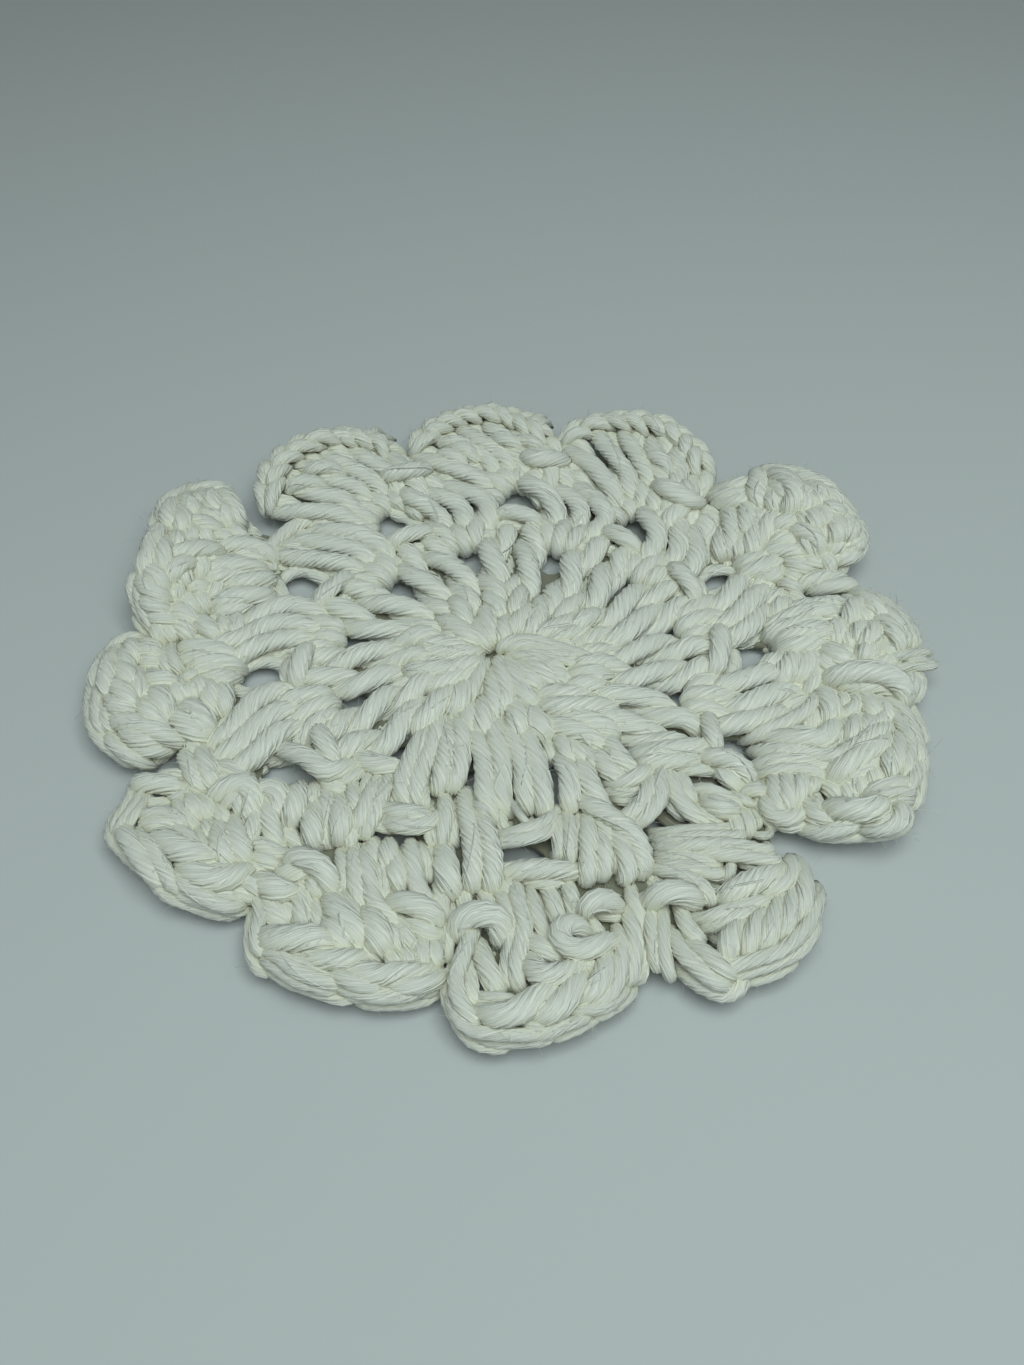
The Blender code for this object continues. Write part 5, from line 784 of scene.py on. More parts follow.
PETAL_274 = (
    Laid(0.60, ((-2.8, -35.2, 1.8), (-2.5, -37.2, 2.7), (-2.3, -39.2, 2.6), (-2.2, -40.8, 1.9))),
    Laid(0.62, ((3.9, -35.4, 1.9), (4.4, -37.4, 3.1), (4.9, -39.4, 2.9), (5.0, -41.2, 2.1))),
    Laid(0.62, ((5.8, -34.8, 1.9), (6.4, -36.8, 3.1), (7.0, -38.8, 2.9), (7.5, -40.4, 2.1))),
    Laid(0.55, ((-5.0, -35.8, 1.9), (-5.1, -37.2, 2.7), (-5.0, -38.8, 2.1))),
    Laid(0.60, ((-7.4, -34.6, 1.9), (-7.5, -36.6, 2.8), (-7.6, -38.8, 2.7), (-7.6, -40.8, 2.0))),
    Laid(0.90, ((-5.9, -42.0, 2.2), (-5.6, -40.0, 3.8), (-4.4, -38.9, 4.7), (-2.7, -38.9, 5.0),
        (-1.2, -39.7, 4.6), (-0.7, -41.2, 3.6), (-1.0, -42.6, 2.4))),
    Laid(0.42, ((-6.5, -37.5, 2.0), (-6.6, -40.0, 2.8), (-6.6, -42.5, 2.8), (-6.7, -45.0, 2.0))),
    Laid(0.55, ((-4.1, -40.8, 2.8), (-4.6, -42.4, 3.6), (-5.3, -44.6, 3.8), (-5.9, -47.0, 3.8),
        (-5.6, -49.2, 3.6), (-4.8, -50.8, 3.2), (-3.9, -51.9, 2.6))),
    Laid(0.36, ((-6.6, -46.0, 2.4), (-6.9, -48.5, 2.4), (-6.4, -50.3, 2.2), (-5.4, -52.3, 1.8),
        (-4.2, -53.7, 1.5), (-2.6, -54.5, 1.2), (-0.9, -54.7, 1.0))),
    Laid(0.46, ((-6.2, -49.0, 3.2), (-5.2, -51.2, 3.0), (-4.0, -52.5, 2.8), (-2.0, -52.9, 2.8),
        (0.2, -53.0, 2.8), (2.6, -53.2, 2.2))),
    Laid(0.34, ((-4.6, -53.0, 1.6), (-2.5, -53.9, 1.6), (0.0, -54.0, 1.6), (2.2, -53.8, 1.8),
        (3.9, -53.3, 1.8))),
    Laid(0.46, ((2.3, -53.3, 2.0), (4.0, -52.5, 2.6), (5.6, -51.8, 2.8), (7.3, -51.4, 2.2))),
    Laid(0.32, ((3.6, -53.5, 1.4), (5.6, -53.0, 1.6), (7.2, -52.4, 1.6), (8.3, -51.5, 1.6))),
    Laid(0.44, ((5.8, -50.9, 2.2), (7.2, -50.3, 2.9), (9.0, -50.1, 2.9), (10.5, -49.4, 2.6),
        (11.4, -48.8, 2.0))),
    Laid(0.36, ((8.2, -51.4, 1.6), (9.8, -50.8, 1.8), (11.0, -50.0, 1.8), (11.9, -49.1, 1.8))),
    Laid(0.50, ((8.2, -49.9, 2.8), (9.7, -49.1, 3.2), (10.7, -47.4, 3.4), (11.3, -45.3, 3.6),
        (11.5, -43.4, 3.4), (11.2, -41.8, 2.4))),
    Laid(0.80, ((-3.1, -50.6, 2.6), (-1.6, -51.0, 3.8), (0.2, -50.7, 4.0), (1.9, -49.6, 4.0),
        (3.6, -48.4, 3.6), (5.0, -47.4, 2.6))),
    Laid(0.80, ((2.2, -50.9, 2.6), (3.6, -50.7, 3.8), (5.0, -49.7, 4.0), (6.2, -48.3, 3.9),
        (7.1, -46.9, 3.0))),
    Laid(0.70, ((6.8, -49.0, 2.6), (8.1, -48.6, 3.7), (9.1, -47.3, 3.9), (9.7, -45.7, 3.8),
        (9.8, -44.4, 2.8))),
    Laid(0.36, ((1.0, -51.5, 2.4), (2.2, -52.1, 3.0), (3.4, -52.6, 2.2))),
    Laid(0.42, ((-3.6, -49.2, 2.6), (-2.2, -48.8, 3.4), (-0.6, -49.0, 3.4), (0.6, -49.7, 2.4))),
    Laid(0.70, ((-3.4, -43.3, 2.2), (-2.9, -44.9, 3.3), (-2.1, -46.6, 3.4), (-1.6, -48.3, 2.6))),
    Laid(0.55, ((-4.4, -44.4, 2.2), (-4.3, -46.0, 2.8), (-4.2, -48.0, 3.0), (-3.6, -49.8, 2.4))),
    Laid(0.56, ((0.3, -36.5, 3.2), (0.9, -38.5, 3.8), (1.3, -40.3, 3.9), (1.1, -42.1, 3.8),
        (0.5, -44.2, 3.6), (0.2, -46.3, 3.4), (0.7, -48.2, 2.4))),
    Laid(0.50, ((-1.0, -36.8, 3.0), (-0.2, -38.8, 3.4), (0.3, -40.9, 3.6), (0.0, -43.2, 3.5),
        (-0.5, -45.5, 3.3), (-0.4, -47.8, 2.4))),
    Laid(0.50, ((2.2, -37.0, 3.0), (2.6, -39.0, 3.6), (3.3, -41.2, 3.4), (4.3, -43.2, 3.0),
        (5.8, -44.7, 2.9), (7.6, -45.6, 3.0), (9.0, -46.4, 2.4))),
    Laid(0.60, ((1.6, -42.3, 2.4), (2.3, -42.9, 3.8), (3.6, -43.5, 4.0), (4.9, -44.5, 3.0))),
    Laid(0.84, ((1.7, -44.4, 2.6), (2.1, -45.8, 3.9), (3.4, -46.8, 4.2), (5.0, -46.8, 3.9),
        (6.6, -46.2, 3.4), (7.6, -45.8, 2.6))),
    Laid(0.72, ((7.9, -41.9, 2.6), (7.3, -40.8, 4.2), (6.0, -40.3, 4.8), (5.0, -41.3, 4.9),
        (5.3, -42.9, 4.7), (6.8, -43.7, 4.5), (8.6, -43.4, 4.2), (10.2, -42.8, 3.6), (11.2, -42.8, 2.8))),
    Laid(0.42, ((8.0, -39.6, 2.4), (8.7, -40.8, 3.0), (9.4, -42.1, 2.6))),
    Laid(0.36, ((9.2, -39.7, 2.4), (10.5, -39.6, 3.2), (12.0, -39.9, 2.4))),
    Laid(0.75, ((7.9, -39.9, 2.4), (8.1, -38.4, 4.4), (9.4, -37.5, 4.9), (10.8, -37.6, 4.6),
        (11.4, -38.8, 3.0))),
)
PETAL_302 = (
    Laid(0.55, ((12.7, -39.4, 2.6), (13.0, -41.4, 3.4), (12.9, -43.6, 3.4), (12.5, -45.6, 3.0),
        (11.9, -47.6, 2.4))),
    Laid(0.50, ((13.8, -41.6, 2.4), (13.9, -43.8, 2.6), (13.5, -45.8, 2.2), (12.8, -47.8, 1.6))),
    Laid(0.52, ((14.9, -39.6, 2.6), (14.8, -41.8, 3.0), (14.8, -44.0, 3.0), (15.2, -46.2, 2.4))),
    Laid(0.85, ((15.0, -38.6, 2.4), (15.6, -37.2, 4.2), (17.2, -36.6, 4.9), (18.8, -36.9, 4.7),
        (19.8, -38.2, 3.2))),
    Laid(0.45, ((16.9, -29.2, 2.6), (19.0, -28.9, 3.6), (22.0, -28.7, 3.8), (25.4, -28.4, 3.0))),
    Laid(0.50, ((17.0, -30.2, 2.6), (19.5, -29.8, 3.8), (22.5, -29.6, 4.0), (25.8, -29.7, 3.4))),
    Laid(0.55, ((17.2, -31.2, 2.6), (19.8, -30.8, 3.8), (23.0, -30.8, 4.1), (26.3, -31.2, 4.0),
        (28.8, -32.0, 3.2))),
    Laid(0.55, ((19.8, -31.6, 3.0), (22.5, -31.6, 3.9), (25.5, -32.1, 4.0), (28.0, -32.9, 3.6),
        (29.6, -33.8, 2.8))),
    Laid(0.50, ((17.2, -32.4, 2.6), (19.5, -32.1, 3.6), (21.5, -32.8, 3.6), (23.0, -33.6, 2.6))),
    Laid(0.50, ((17.0, -33.2, 2.6), (19.2, -33.4, 3.6), (21.4, -34.3, 3.6), (23.3, -35.1, 2.8))),
    Laid(0.50, ((16.2, -33.9, 2.6), (18.3, -34.4, 3.6), (20.2, -35.3, 3.6), (21.3, -36.7, 3.4),
        (21.9, -38.4, 2.6))),
    Laid(0.40, ((24.5, -33.0, 2.6), (24.1, -34.1, 3.6), (23.5, -35.3, 2.8))),
    Laid(0.35, ((25.2, -33.2, 2.6), (26.2, -33.7, 3.2), (27.4, -34.3, 2.6))),
    Laid(0.88, ((22.6, -38.0, 2.6), (24.2, -36.9, 3.9), (26.2, -35.8, 4.2), (28.2, -35.3, 4.0),
        (30.0, -34.9, 3.0))),
    Laid(0.60, ((27.0, -37.4, 2.6), (28.4, -36.7, 3.6), (29.9, -35.7, 3.8), (30.9, -34.3, 3.0))),
    Laid(0.50, ((19.8, -40.4, 2.6), (21.6, -39.9, 3.4), (24.0, -39.2, 3.4), (26.4, -38.6, 3.4),
        (28.2, -38.1, 2.6))),
    Laid(0.50, ((20.8, -41.4, 2.4), (22.6, -40.7, 3.2), (24.6, -39.8, 3.2), (27.0, -39.0, 2.8))),
    Laid(0.50, ((16.2, -38.9, 2.4), (16.0, -41.2, 3.2), (15.8, -43.4, 3.2), (15.7, -45.4, 3.0),
        (16.4, -47.4, 2.0))),
    Laid(0.28, ((15.0, -39.9, 2.2), (14.8, -41.8, 2.8), (14.5, -43.8, 2.2))),
    Laid(0.60, ((18.1, -39.0, 2.4), (18.5, -40.7, 3.2), (19.0, -42.2, 3.0), (19.6, -43.2, 2.4))),
    Laid(0.60, ((17.0, -42.3, 2.6), (17.6, -44.0, 3.4), (18.8, -45.7, 3.4), (20.2, -47.2, 3.2),
        (21.6, -48.5, 2.2))),
    Laid(0.60, ((18.9, -43.4, 2.6), (20.1, -44.3, 3.6), (21.2, -45.5, 3.6), (22.4, -46.8, 2.8))),
    Laid(0.60, ((17.4, -46.2, 1.6), (18.6, -47.6, 2.0), (20.2, -48.6, 2.0), (22.0, -48.9, 1.8),
        (23.6, -47.8, 1.6))),
    Laid(0.50, ((21.3, -47.0, 2.6), (23.0, -45.9, 3.2), (25.2, -45.2, 3.4), (27.2, -44.6, 3.4),
        (29.2, -43.5, 3.4), (31.0, -41.7, 3.4), (32.4, -39.6, 3.2), (33.3, -37.8, 2.6))),
    Laid(0.45, ((22.9, -47.2, 2.0), (25.0, -46.4, 2.4), (27.4, -45.7, 2.4), (29.6, -44.7, 2.4),
        (31.3, -43.1, 2.4), (32.3, -41.4, 2.2))),
    Laid(0.38, ((23.8, -47.7, 1.3), (26.0, -47.4, 1.4), (28.0, -46.6, 1.4), (29.2, -45.7, 1.4))),
    Laid(0.72, ((24.6, -40.4, 2.6), (23.2, -42.2, 3.8), (22.5, -43.9, 3.8), (22.4, -45.4, 2.6))),
    Laid(0.66, ((27.4, -39.0, 2.6), (26.1, -41.0, 3.8), (25.1, -42.8, 3.9), (24.4, -44.6, 2.8))),
    Laid(0.66, ((29.2, -37.6, 2.6), (28.2, -39.9, 3.8), (27.2, -42.0, 3.9), (26.1, -44.0, 2.8))),
    Laid(0.60, ((30.7, -36.4, 2.6), (30.3, -38.5, 3.8), (29.3, -40.6, 3.9), (27.9, -42.8, 2.8))),
    Laid(0.60, ((31.7, -34.0, 2.8), (32.0, -36.0, 3.8), (31.4, -38.3, 3.9), (30.2, -40.6, 2.8))),
    Laid(0.55, ((13.0, -36.5, 2.4), (13.3, -39.0, 2.8), (13.2, -41.5, 2.8), (13.4, -43.5, 2.6))),
)
PETAL_333 = (
    Laid(0.80, ((30.8, -15.0, 2.6), (33.2, -15.6, 3.7), (35.8, -16.1, 4.3), (37.9, -16.0, 4.3),
        (39.2, -14.9, 3.9), (39.8, -13.4, 3.2))),
    Laid(0.40, ((32.2, -14.9, 2.8), (34.0, -14.2, 3.7), (36.0, -14.2, 3.8), (37.6, -14.9, 2.8))),
    Laid(0.42, ((35.4, -17.1, 3.0), (37.0, -17.3, 4.0), (38.4, -16.8, 4.0), (39.4, -15.7, 3.2))),
    Laid(0.72, ((29.9, -17.6, 2.6), (32.4, -17.5, 3.6), (35.0, -17.9, 3.7), (37.0, -19.0, 3.7),
        (38.8, -19.1, 3.8), (40.4, -17.9, 3.9), (42.1, -16.7, 3.9), (44.0, -15.4, 3.8),
        (45.8, -14.1, 2.8))),
    Laid(0.72, ((29.6, -20.0, 2.4), (31.4, -18.9, 3.4), (33.4, -18.8, 3.6), (35.4, -19.3, 3.6),
        (36.9, -20.1, 3.4), (38.4, -20.3, 3.3), (39.6, -19.5, 2.6))),
    Laid(0.55, ((29.8, -21.0, 2.4), (31.8, -20.2, 3.4), (34.0, -20.0, 3.6), (36.0, -20.7, 3.5),
        (37.0, -21.9, 2.6))),
    Laid(0.62, ((29.6, -23.4, 2.6), (29.5, -25.2, 3.4), (30.1, -26.9, 3.6), (31.5, -27.6, 3.6),
        (33.0, -26.9, 3.2), (33.7, -25.6, 2.6))),
    Laid(0.60, ((30.8, -21.6, 3.0), (30.7, -23.4, 3.8), (30.9, -25.2, 3.8), (31.4, -26.6, 3.0))),
    Laid(0.60, ((32.5, -21.0, 3.2), (32.2, -22.8, 4.0), (31.9, -24.6, 4.0), (31.9, -26.2, 3.2))),
    Laid(0.60, ((34.6, -20.9, 3.2), (34.1, -22.6, 4.0), (33.3, -24.1, 3.9), (32.7, -25.6, 3.0))),
    Laid(0.50, ((36.0, -21.4, 3.0), (35.3, -22.8, 3.7), (34.3, -23.8, 2.8))),
    Laid(0.85, ((37.8, -22.0, 2.6), (39.1, -20.9, 3.7), (40.8, -19.6, 4.0), (42.6, -18.4, 4.0),
        (44.3, -17.3, 3.8), (45.6, -16.1, 3.0))),
    Laid(0.62, ((38.8, -22.6, 2.4), (40.2, -21.4, 3.4), (41.7, -20.3, 3.5), (43.3, -19.4, 3.3),
        (44.5, -18.9, 2.6))),
    Laid(0.60, ((45.6, -16.4, 2.8), (45.4, -18.2, 3.7), (45.1, -20.0, 3.8), (44.6, -21.8, 3.0))),
    Laid(0.60, ((46.7, -15.4, 2.8), (46.3, -17.2, 3.7), (45.9, -19.2, 3.7), (45.5, -21.0, 3.0))),
    Laid(0.50, ((46.4, -9.0, 2.6), (47.8, -10.3, 3.3), (48.5, -11.9, 3.3), (48.9, -13.7, 3.2),
        (49.1, -15.5, 2.9), (49.0, -17.5, 2.6), (48.5, -19.4, 2.4))),
    Laid(0.52, ((46.8, -11.2, 2.8), (47.3, -12.9, 3.4), (47.8, -14.6, 3.4), (48.1, -16.2, 3.4),
        (47.8, -18.0, 3.4), (47.0, -19.8, 3.4), (46.2, -21.5, 2.8))),
    Laid(0.50, ((49.1, -16.8, 1.8), (48.9, -18.8, 2.0), (48.4, -20.8, 2.0), (47.8, -22.8, 2.0),
        (47.2, -24.5, 1.8), (46.2, -26.0, 1.6))),
    Laid(0.50, ((47.8, -19.4, 2.6), (47.3, -21.2, 3.0), (46.7, -22.8, 3.0), (45.4, -23.9, 2.6))),
    Laid(0.46, ((47.6, -8.6, 1.8), (49.1, -10.2, 2.1), (49.7, -12.2, 2.0), (49.9, -14.4, 1.8),
        (49.8, -16.6, 1.6))),
    Laid(0.50, ((41.0, -24.1, 2.6), (42.6, -23.2, 3.6), (44.4, -22.8, 3.6), (46.0, -22.9, 3.2),
        (47.1, -22.4, 2.6))),
    Laid(0.50, ((41.4, -25.0, 2.6), (43.0, -24.3, 3.4), (44.9, -23.9, 3.4), (46.6, -24.1, 2.4))),
    Laid(0.48, ((41.9, -25.7, 2.4), (43.4, -25.1, 3.0), (45.1, -24.9, 2.8), (46.4, -25.4, 2.0))),
    Laid(0.95, ((36.2, -26.5, 2.8), (37.7, -26.1, 4.1), (39.4, -26.3, 4.4), (41.1, -26.5, 4.2),
        (42.7, -26.2, 3.4))),
    Laid(0.60, ((44.6, -25.6, 2.8), (44.8, -26.8, 3.6), (44.2, -28.0, 3.7), (42.8, -28.8, 3.6),
        (41.1, -29.0, 3.4), (39.7, -28.6, 2.8))),
    Laid(0.46, ((43.2, -26.5, 3.0), (43.3, -27.3, 3.6), (42.4, -28.1, 3.7), (41.0, -28.3, 3.2))),
    Laid(0.46, ((45.5, -26.6, 1.8), (45.2, -28.2, 2.0), (44.2, -29.3, 2.1), (42.7, -29.9, 2.0),
        (41.0, -30.0, 1.8), (39.3, -29.8, 1.7))),
    Laid(0.50, ((39.8, -29.8, 2.0), (38.2, -30.1, 2.1), (36.6, -30.2, 2.1), (35.0, -30.1, 2.1),
        (33.8, -29.5, 2.0))),
    Laid(0.60, ((39.4, -28.5, 3.0), (37.8, -28.7, 3.5), (36.2, -29.3, 3.4), (34.7, -29.4, 3.0),
        (33.4, -28.9, 2.4))),
    Laid(0.55, ((34.2, -24.6, 2.6), (34.2, -26.0, 3.4), (35.0, -27.3, 3.5), (36.4, -28.1, 3.0))),
    Laid(0.50, ((35.0, -24.2, 2.4), (35.3, -25.4, 3.0), (36.2, -26.6, 2.9))),
    Laid(0.45, ((33.6, -26.4, 2.6), (34.4, -27.8, 3.2), (35.6, -28.6, 2.8))),
    Laid(0.50, ((30.0, -28.1, 2.4), (31.6, -28.4, 3.0), (33.2, -28.3, 2.4))),
    Laid(0.50, ((29.0, -23.0, 2.2), (28.8, -25.0, 2.8), (29.2, -27.0, 2.8), (30.1, -28.5, 2.2))),
    Laid(0.75, ((36.9, -22.0, 2.0), (37.7, -23.2, 2.8), (38.1, -24.7, 2.2))),
    Laid(0.75, ((38.9, -22.6, 2.0), (39.6, -23.5, 2.8), (39.6, -24.9, 2.2))),
    Laid(0.75, ((41.3, -21.2, 2.2), (41.0, -22.7, 3.0), (40.8, -24.3, 2.4))),
    Laid(0.75, ((43.2, -20.3, 2.6), (42.5, -21.6, 3.3), (42.2, -23.0, 2.6))),
    Laid(0.80, ((39.0, -8.6, 2.8), (39.6, -10.3, 3.8), (39.5, -12.0, 3.8), (38.9, -13.6, 2.8))),
    Laid(0.60, ((41.0, -12.7, 2.8), (40.6, -14.2, 3.8), (40.1, -15.6, 3.6), (39.3, -16.8, 2.8))),
    Laid(0.72, ((42.7, -12.4, 2.8), (42.3, -13.8, 3.9), (41.6, -15.2, 3.9), (40.6, -16.4, 3.0))),
    Laid(0.72, ((44.2, -12.3, 2.8), (44.0, -13.8, 3.8), (43.2, -15.1, 3.8), (42.2, -16.1, 3.0))),
    Laid(0.60, ((45.3, -12.0, 2.8), (45.4, -13.2, 3.6), (44.8, -14.4, 3.4), (43.9, -15.3, 2.6))),
    Laid(0.55, ((43.2, -8.6, 2.8), (43.4, -10.2, 3.6), (42.4, -11.4, 3.6), (41.0, -12.2, 3.4),
        (40.1, -12.9, 2.6))),
    Laid(0.72, ((44.3, -8.6, 2.6), (44.6, -10.4, 3.6), (44.9, -12.0, 3.5), (45.4, -13.4, 2.6))),
    Laid(0.60, ((45.6, -9.2, 2.6), (45.9, -10.8, 3.5), (46.1, -12.4, 3.4), (46.3, -13.8, 2.6))),
    Laid(0.60, ((41.5, -8.6, 2.6), (41.7, -9.8, 3.4), (41.3, -11.2, 2.8))),
    Laid(0.60, ((38.2, -9.8, 3.2), (36.8, -11.2, 3.8), (35.0, -12.6, 3.8), (33.0, -13.5, 3.6),
        (31.0, -14.5, 3.2), (29.4, -15.6, 2.4))),
    Laid(0.55, ((37.4, -13.0, 2.4), (38.0, -13.9, 3.2), (38.2, -14.8, 2.6))),
)

# The petals whose runs follow the photo, by their index.
LAID = {
    0: PETAL_003,
    1: PETAL_033,
    5: PETAL_153,
    6: PETAL_189,
    7: PETAL_218,
    8: PETAL_247,
    9: PETAL_274,
    10: PETAL_302,
    11: PETAL_333,
}


def near(angle: float, other: float) -> float:
    """Writes an angle in the turn that brings it nearest to another one.

    Args:
        angle: The angle to rewrite, in degrees.
        other: The angle to come near to, in degrees.

    Returns:
        The same direction, at most half a turn from the other.
    """
    return angle + 360.0 * round((other - angle) / 360.0)


def at_back(angle: float) -> bool:
    """Whether an angle in degrees points to the mat's far half."""
    return math.sin(math.radians(angle)) > 0.0


def gaps_by(index: int) -> tuple[Gap, Gap]:
    """The petals' gaps before and after a notch, given by its petal's index."""
    return SHELL_GAPS[index], SHELL_GAPS[(index + 1) % len(SHELL_GAPS)]


def smooth_step(value: float) -> float:
    """Smooth step from 0 to 1."""
    value = min(max(value, 0.0), 1.0)
    return value * value * (3.0 - 2.0 * value)


def unit(vector: np.ndarray) -> np.ndarray:
    """The direction of a vector, with length 1."""
    return vector / np.linalg.norm(vector)


@dataclass(frozen=True)
class Layout:
    """Where the mat's edge and fabric lie.

    Attributes:
        flat_radius: Radius of the round that touches the floor.
        scallop: How square a petal's outline is; 2 is an ellipse.
        lift_at_notch: Share of a petal's lift that is left at its notches.
    """

    flat_radius: float = 37.0
    scallop: float = 2.7
    lift_at_notch: float = 0.35

    def span(self, index: int) -> tuple[float, float]:
        """First and last angle of a petal.

        Args:
            index: Which petal.

        Returns:
            The angles of its two notches in degrees, rising.
        """
        last = PETALS[index].notch
        first = PETALS[index - 1].notch
        return (first - 360.0 if first > last else first), last

    def root(self, index: int) -> float:
        """Angle of the gap that a petal is worked into, written in the petal's own turn."""
        first, last = self.span(index)
        return near(SHELL_GAPS[index].angle, 0.5 * (first + last))

    def edge(self, index: int, angle: float) -> float:
        """Radius of the mat's edge.

        Args:
            index: Which petal.
            angle: An angle within it, in degrees.

        Returns:
            The radius in millimetres.
        """
        petal = PETALS[index]
        first, last = self.span(index)
        if angle < petal.middle:
            low, share = PETALS[index - 1].notch_radius, (petal.middle - angle) / (petal.middle - first)
        else:
            low, share = petal.notch_radius, (angle - petal.middle) / (last - petal.middle)
        share = min(abs(share), 1.0)
        return low + (petal.tip - low) * (1.0 - share**self.scallop)

    def petal_at(self, angle: float) -> tuple[int, float]:
        """Finds the petal that an angle lies in.

        Args:
            angle: Any angle in degrees.

        Returns:
            The petal's index, and the angle written in that petal's own turn.
        """
        for index in range(len(PETALS)):
            first, last = self.span(index)
            own = near(angle, 0.5 * (first + last))
            if first <= own < last:
                return index, own
        return 0, near(angle, PETALS[0].middle)

    def lift(self, angle: float, radius: float) -> float:
        """How far the fabric's underside is off the floor.

        Args:
            angle: Any angle in degrees.
            radius: Radius in millimetres.

        Returns:
            The lift in millimetres: none inside the flat round, then rising towards the tips.
        """
        index, own = self.petal_at(angle)
        first, last = self.span(index)
        petal = PETALS[index]
        share = smooth_step((radius - self.flat_radius) / (petal.tip - self.flat_radius))
        across = math.sin(math.pi * (own - first) / (last - first))
        return petal.lift * share * (self.lift_at_notch + (1.0 - self.lift_at_notch) * across)

    def ground(self, point: np.ndarray) -> float:
        """Height of the fabric's underside below a point in millimetres."""
        angle = math.degrees(math.atan2(point[1], point[0]))
        return self.lift(angle, float(np.hypot(point[0], point[1])))

    def place(self, radius: float, angle: float, height: float) -> np.ndarray:
        """World point over the fabric's underside.

        Args:
            radius: Radius in millimetres.
            angle: Angle in degrees.
            height: Height over the underside in millimetres.

        Returns:
            The point in millimetres.
        """
        turn = math.radians(angle)
        lift = self.lift(angle, radius)
        return np.array((radius * math.cos(turn), radius * math.sin(turn), height + lift))

    def course(self, radius: float, angle: float, stops: Stops) -> list[np.ndarray]:
        """World points beside a place.

        Args:
            radius: The place's radius.
            angle: The place's angle, in degrees.
            stops: How far out from the place, how many degrees on and how high each point lies.

        Returns:
            The points in millimetres.
        """
        return [self.place(radius + out, angle + on, height) for out, on, height in stops]


LAYOUT = Layout()


@dataclass(frozen=True)
class Sight:
    """The photo's lines of sight, in millimetres.

    Attributes:
        eye: Where the camera is.
        plane: Height of the level plane on which places are read from the photo.
    """

    eye: tuple[float, float, float] = (0.57, -108.75, 115.75)
    plane: float = 3.8

    def place(self, x: float, y: float, height: float) -> np.ndarray:
        """Finds the point at a height that covers a place in the photo.

        Args:
            x: The place's x on the plane.
            y: The place's y on the plane.
            height: The point's height over the fabric's underside.

        Returns:
            The point in millimetres.
        """
        seen = np.array((x, y, self.plane))
        eye = np.array(self.eye)
        total = height + LAYOUT.ground(seen)
        return seen + (eye - seen) * (total - self.plane) / (self.eye[2] - self.plane)


SIGHT = Sight()


def run_length(line: np.ndarray) -> np.ndarray:
    """Length along a line at each of its points, from 0."""
    return np.concatenate([[0.0], np.cumsum(np.linalg.norm(np.diff(line, axis=0), axis=1))])


def read_evenly(line: np.ndarray, run: np.ndarray, step: float) -> np.ndarray:
    """Reads a fine line at even steps.

    Args:
        line: Points close together.
        run: What the steps are counted in, at each point, such as the length along the line.
        step: The step wanted.

    Returns:
        An array of points, the first and last ones included.
    """
    count = max(int(round(run[-1] / step)), LEAST_STEPS)
    wanted = np.linspace(0.0, run[-1], count + 1)
    return np.stack([np.interp(wanted, run, line[:, axis]) for axis in range(3)], axis=1)


def smooth_line(points: Sequence[np.ndarray], spacing: float) -> np.ndarray:
    """Runs a Catmull-Rom curve through points and reads it at even steps.

    Args:
        points: The points to pass through, two or more.
        spacing: The step along the curve.

    Returns:
        An array of points, the first and last ones included.
    """
    knots = np.asarray(points, float)
    before = 2.0 * knots[0] - knots[1]
    after = 2.0 * knots[-1] - knots[-2]
    knotted = np.vstack([before, knots, after])
    share = np.linspace(0.0, 1.0, CURVE_STEPS + 1)[:-1, None]
    pieces = []
    for index in range(1, len(knotted) - 2):
        a, b, c, d = knotted[index - 1 : index + 3]
        straight = 2.0 * b + (c - a) * share
        square = (2.0 * a - 5.0 * b + 4.0 * c - d) * share**2
        cube = (3.0 * b - a - 3.0 * c + d) * share**3
        pieces.append(0.5 * (straight + square + cube))
    fine = np.vstack([*pieces, knots[-1:]])
    return read_evenly(fine, run_length(fine), spacing)


def pairs_within(points: np.ndarray, reach: float) -> np.ndarray:
    """Finds all points that lie near each other.

    Args:
        points: The points.
        reach: How near they have to be.

    Returns:
        Pairs of indexes in rising order of the first, each pair both ways round and each point
        with itself too.
    """
    tree = KDTree(len(points))
    for index, point in enumerate(points):
        tree.insert(point, index)
    tree.balance()
    firsts, seconds = [], []
    for index, point in enumerate(points):
        for _, other, _ in tree.find_range(point, reach):
            firsts.append(index)
            seconds.append(other)
    return np.array([firsts, seconds]).T


@dataclass
class Strand:
    """One visible run of the yarn.

    Attributes:
        part: The piece that it belongs to.
        line: Its centre line, in millimetres.
        radius: Half its thickness, in millimetres.
        ends: Share of the radius left at its two ends, which are tucked in.
        middle: Share of the radius left halfway, where a post's foot is drawn tight.
        reach: Length in millimetres over which an end narrows.
        held: Whether it follows the photo, and so keeps its place.
    """

    part: Part
    line: np.ndarray
    radius: float
    ends: tuple[float, float] = (0.5, 0.5)
    middle: float = 1.0
    reach: float = 4.0
    held: bool = False

    def radii(self) -> np.ndarray:
        """Half thickness at each point of the line."""
        run = run_length(self.line)
        start = np.clip(run / self.reach, 0.0, 1.0)
        end = np.clip((run[-1] - run) / self.reach, 0.0, 1.0)
        shape = (self.ends[0] + (1.0 - self.ends[0]) * np.sin(0.5 * np.pi * start)) * (
            self.ends[1] + (1.0 - self.ends[1]) * np.sin(0.5 * np.pi * end)
        )
        tight = np.exp(-(((run - 0.5 * run[-1]) / self.reach) ** 2))
        return self.radius * shape * (1.0 - (1.0 - self.middle) * tight)


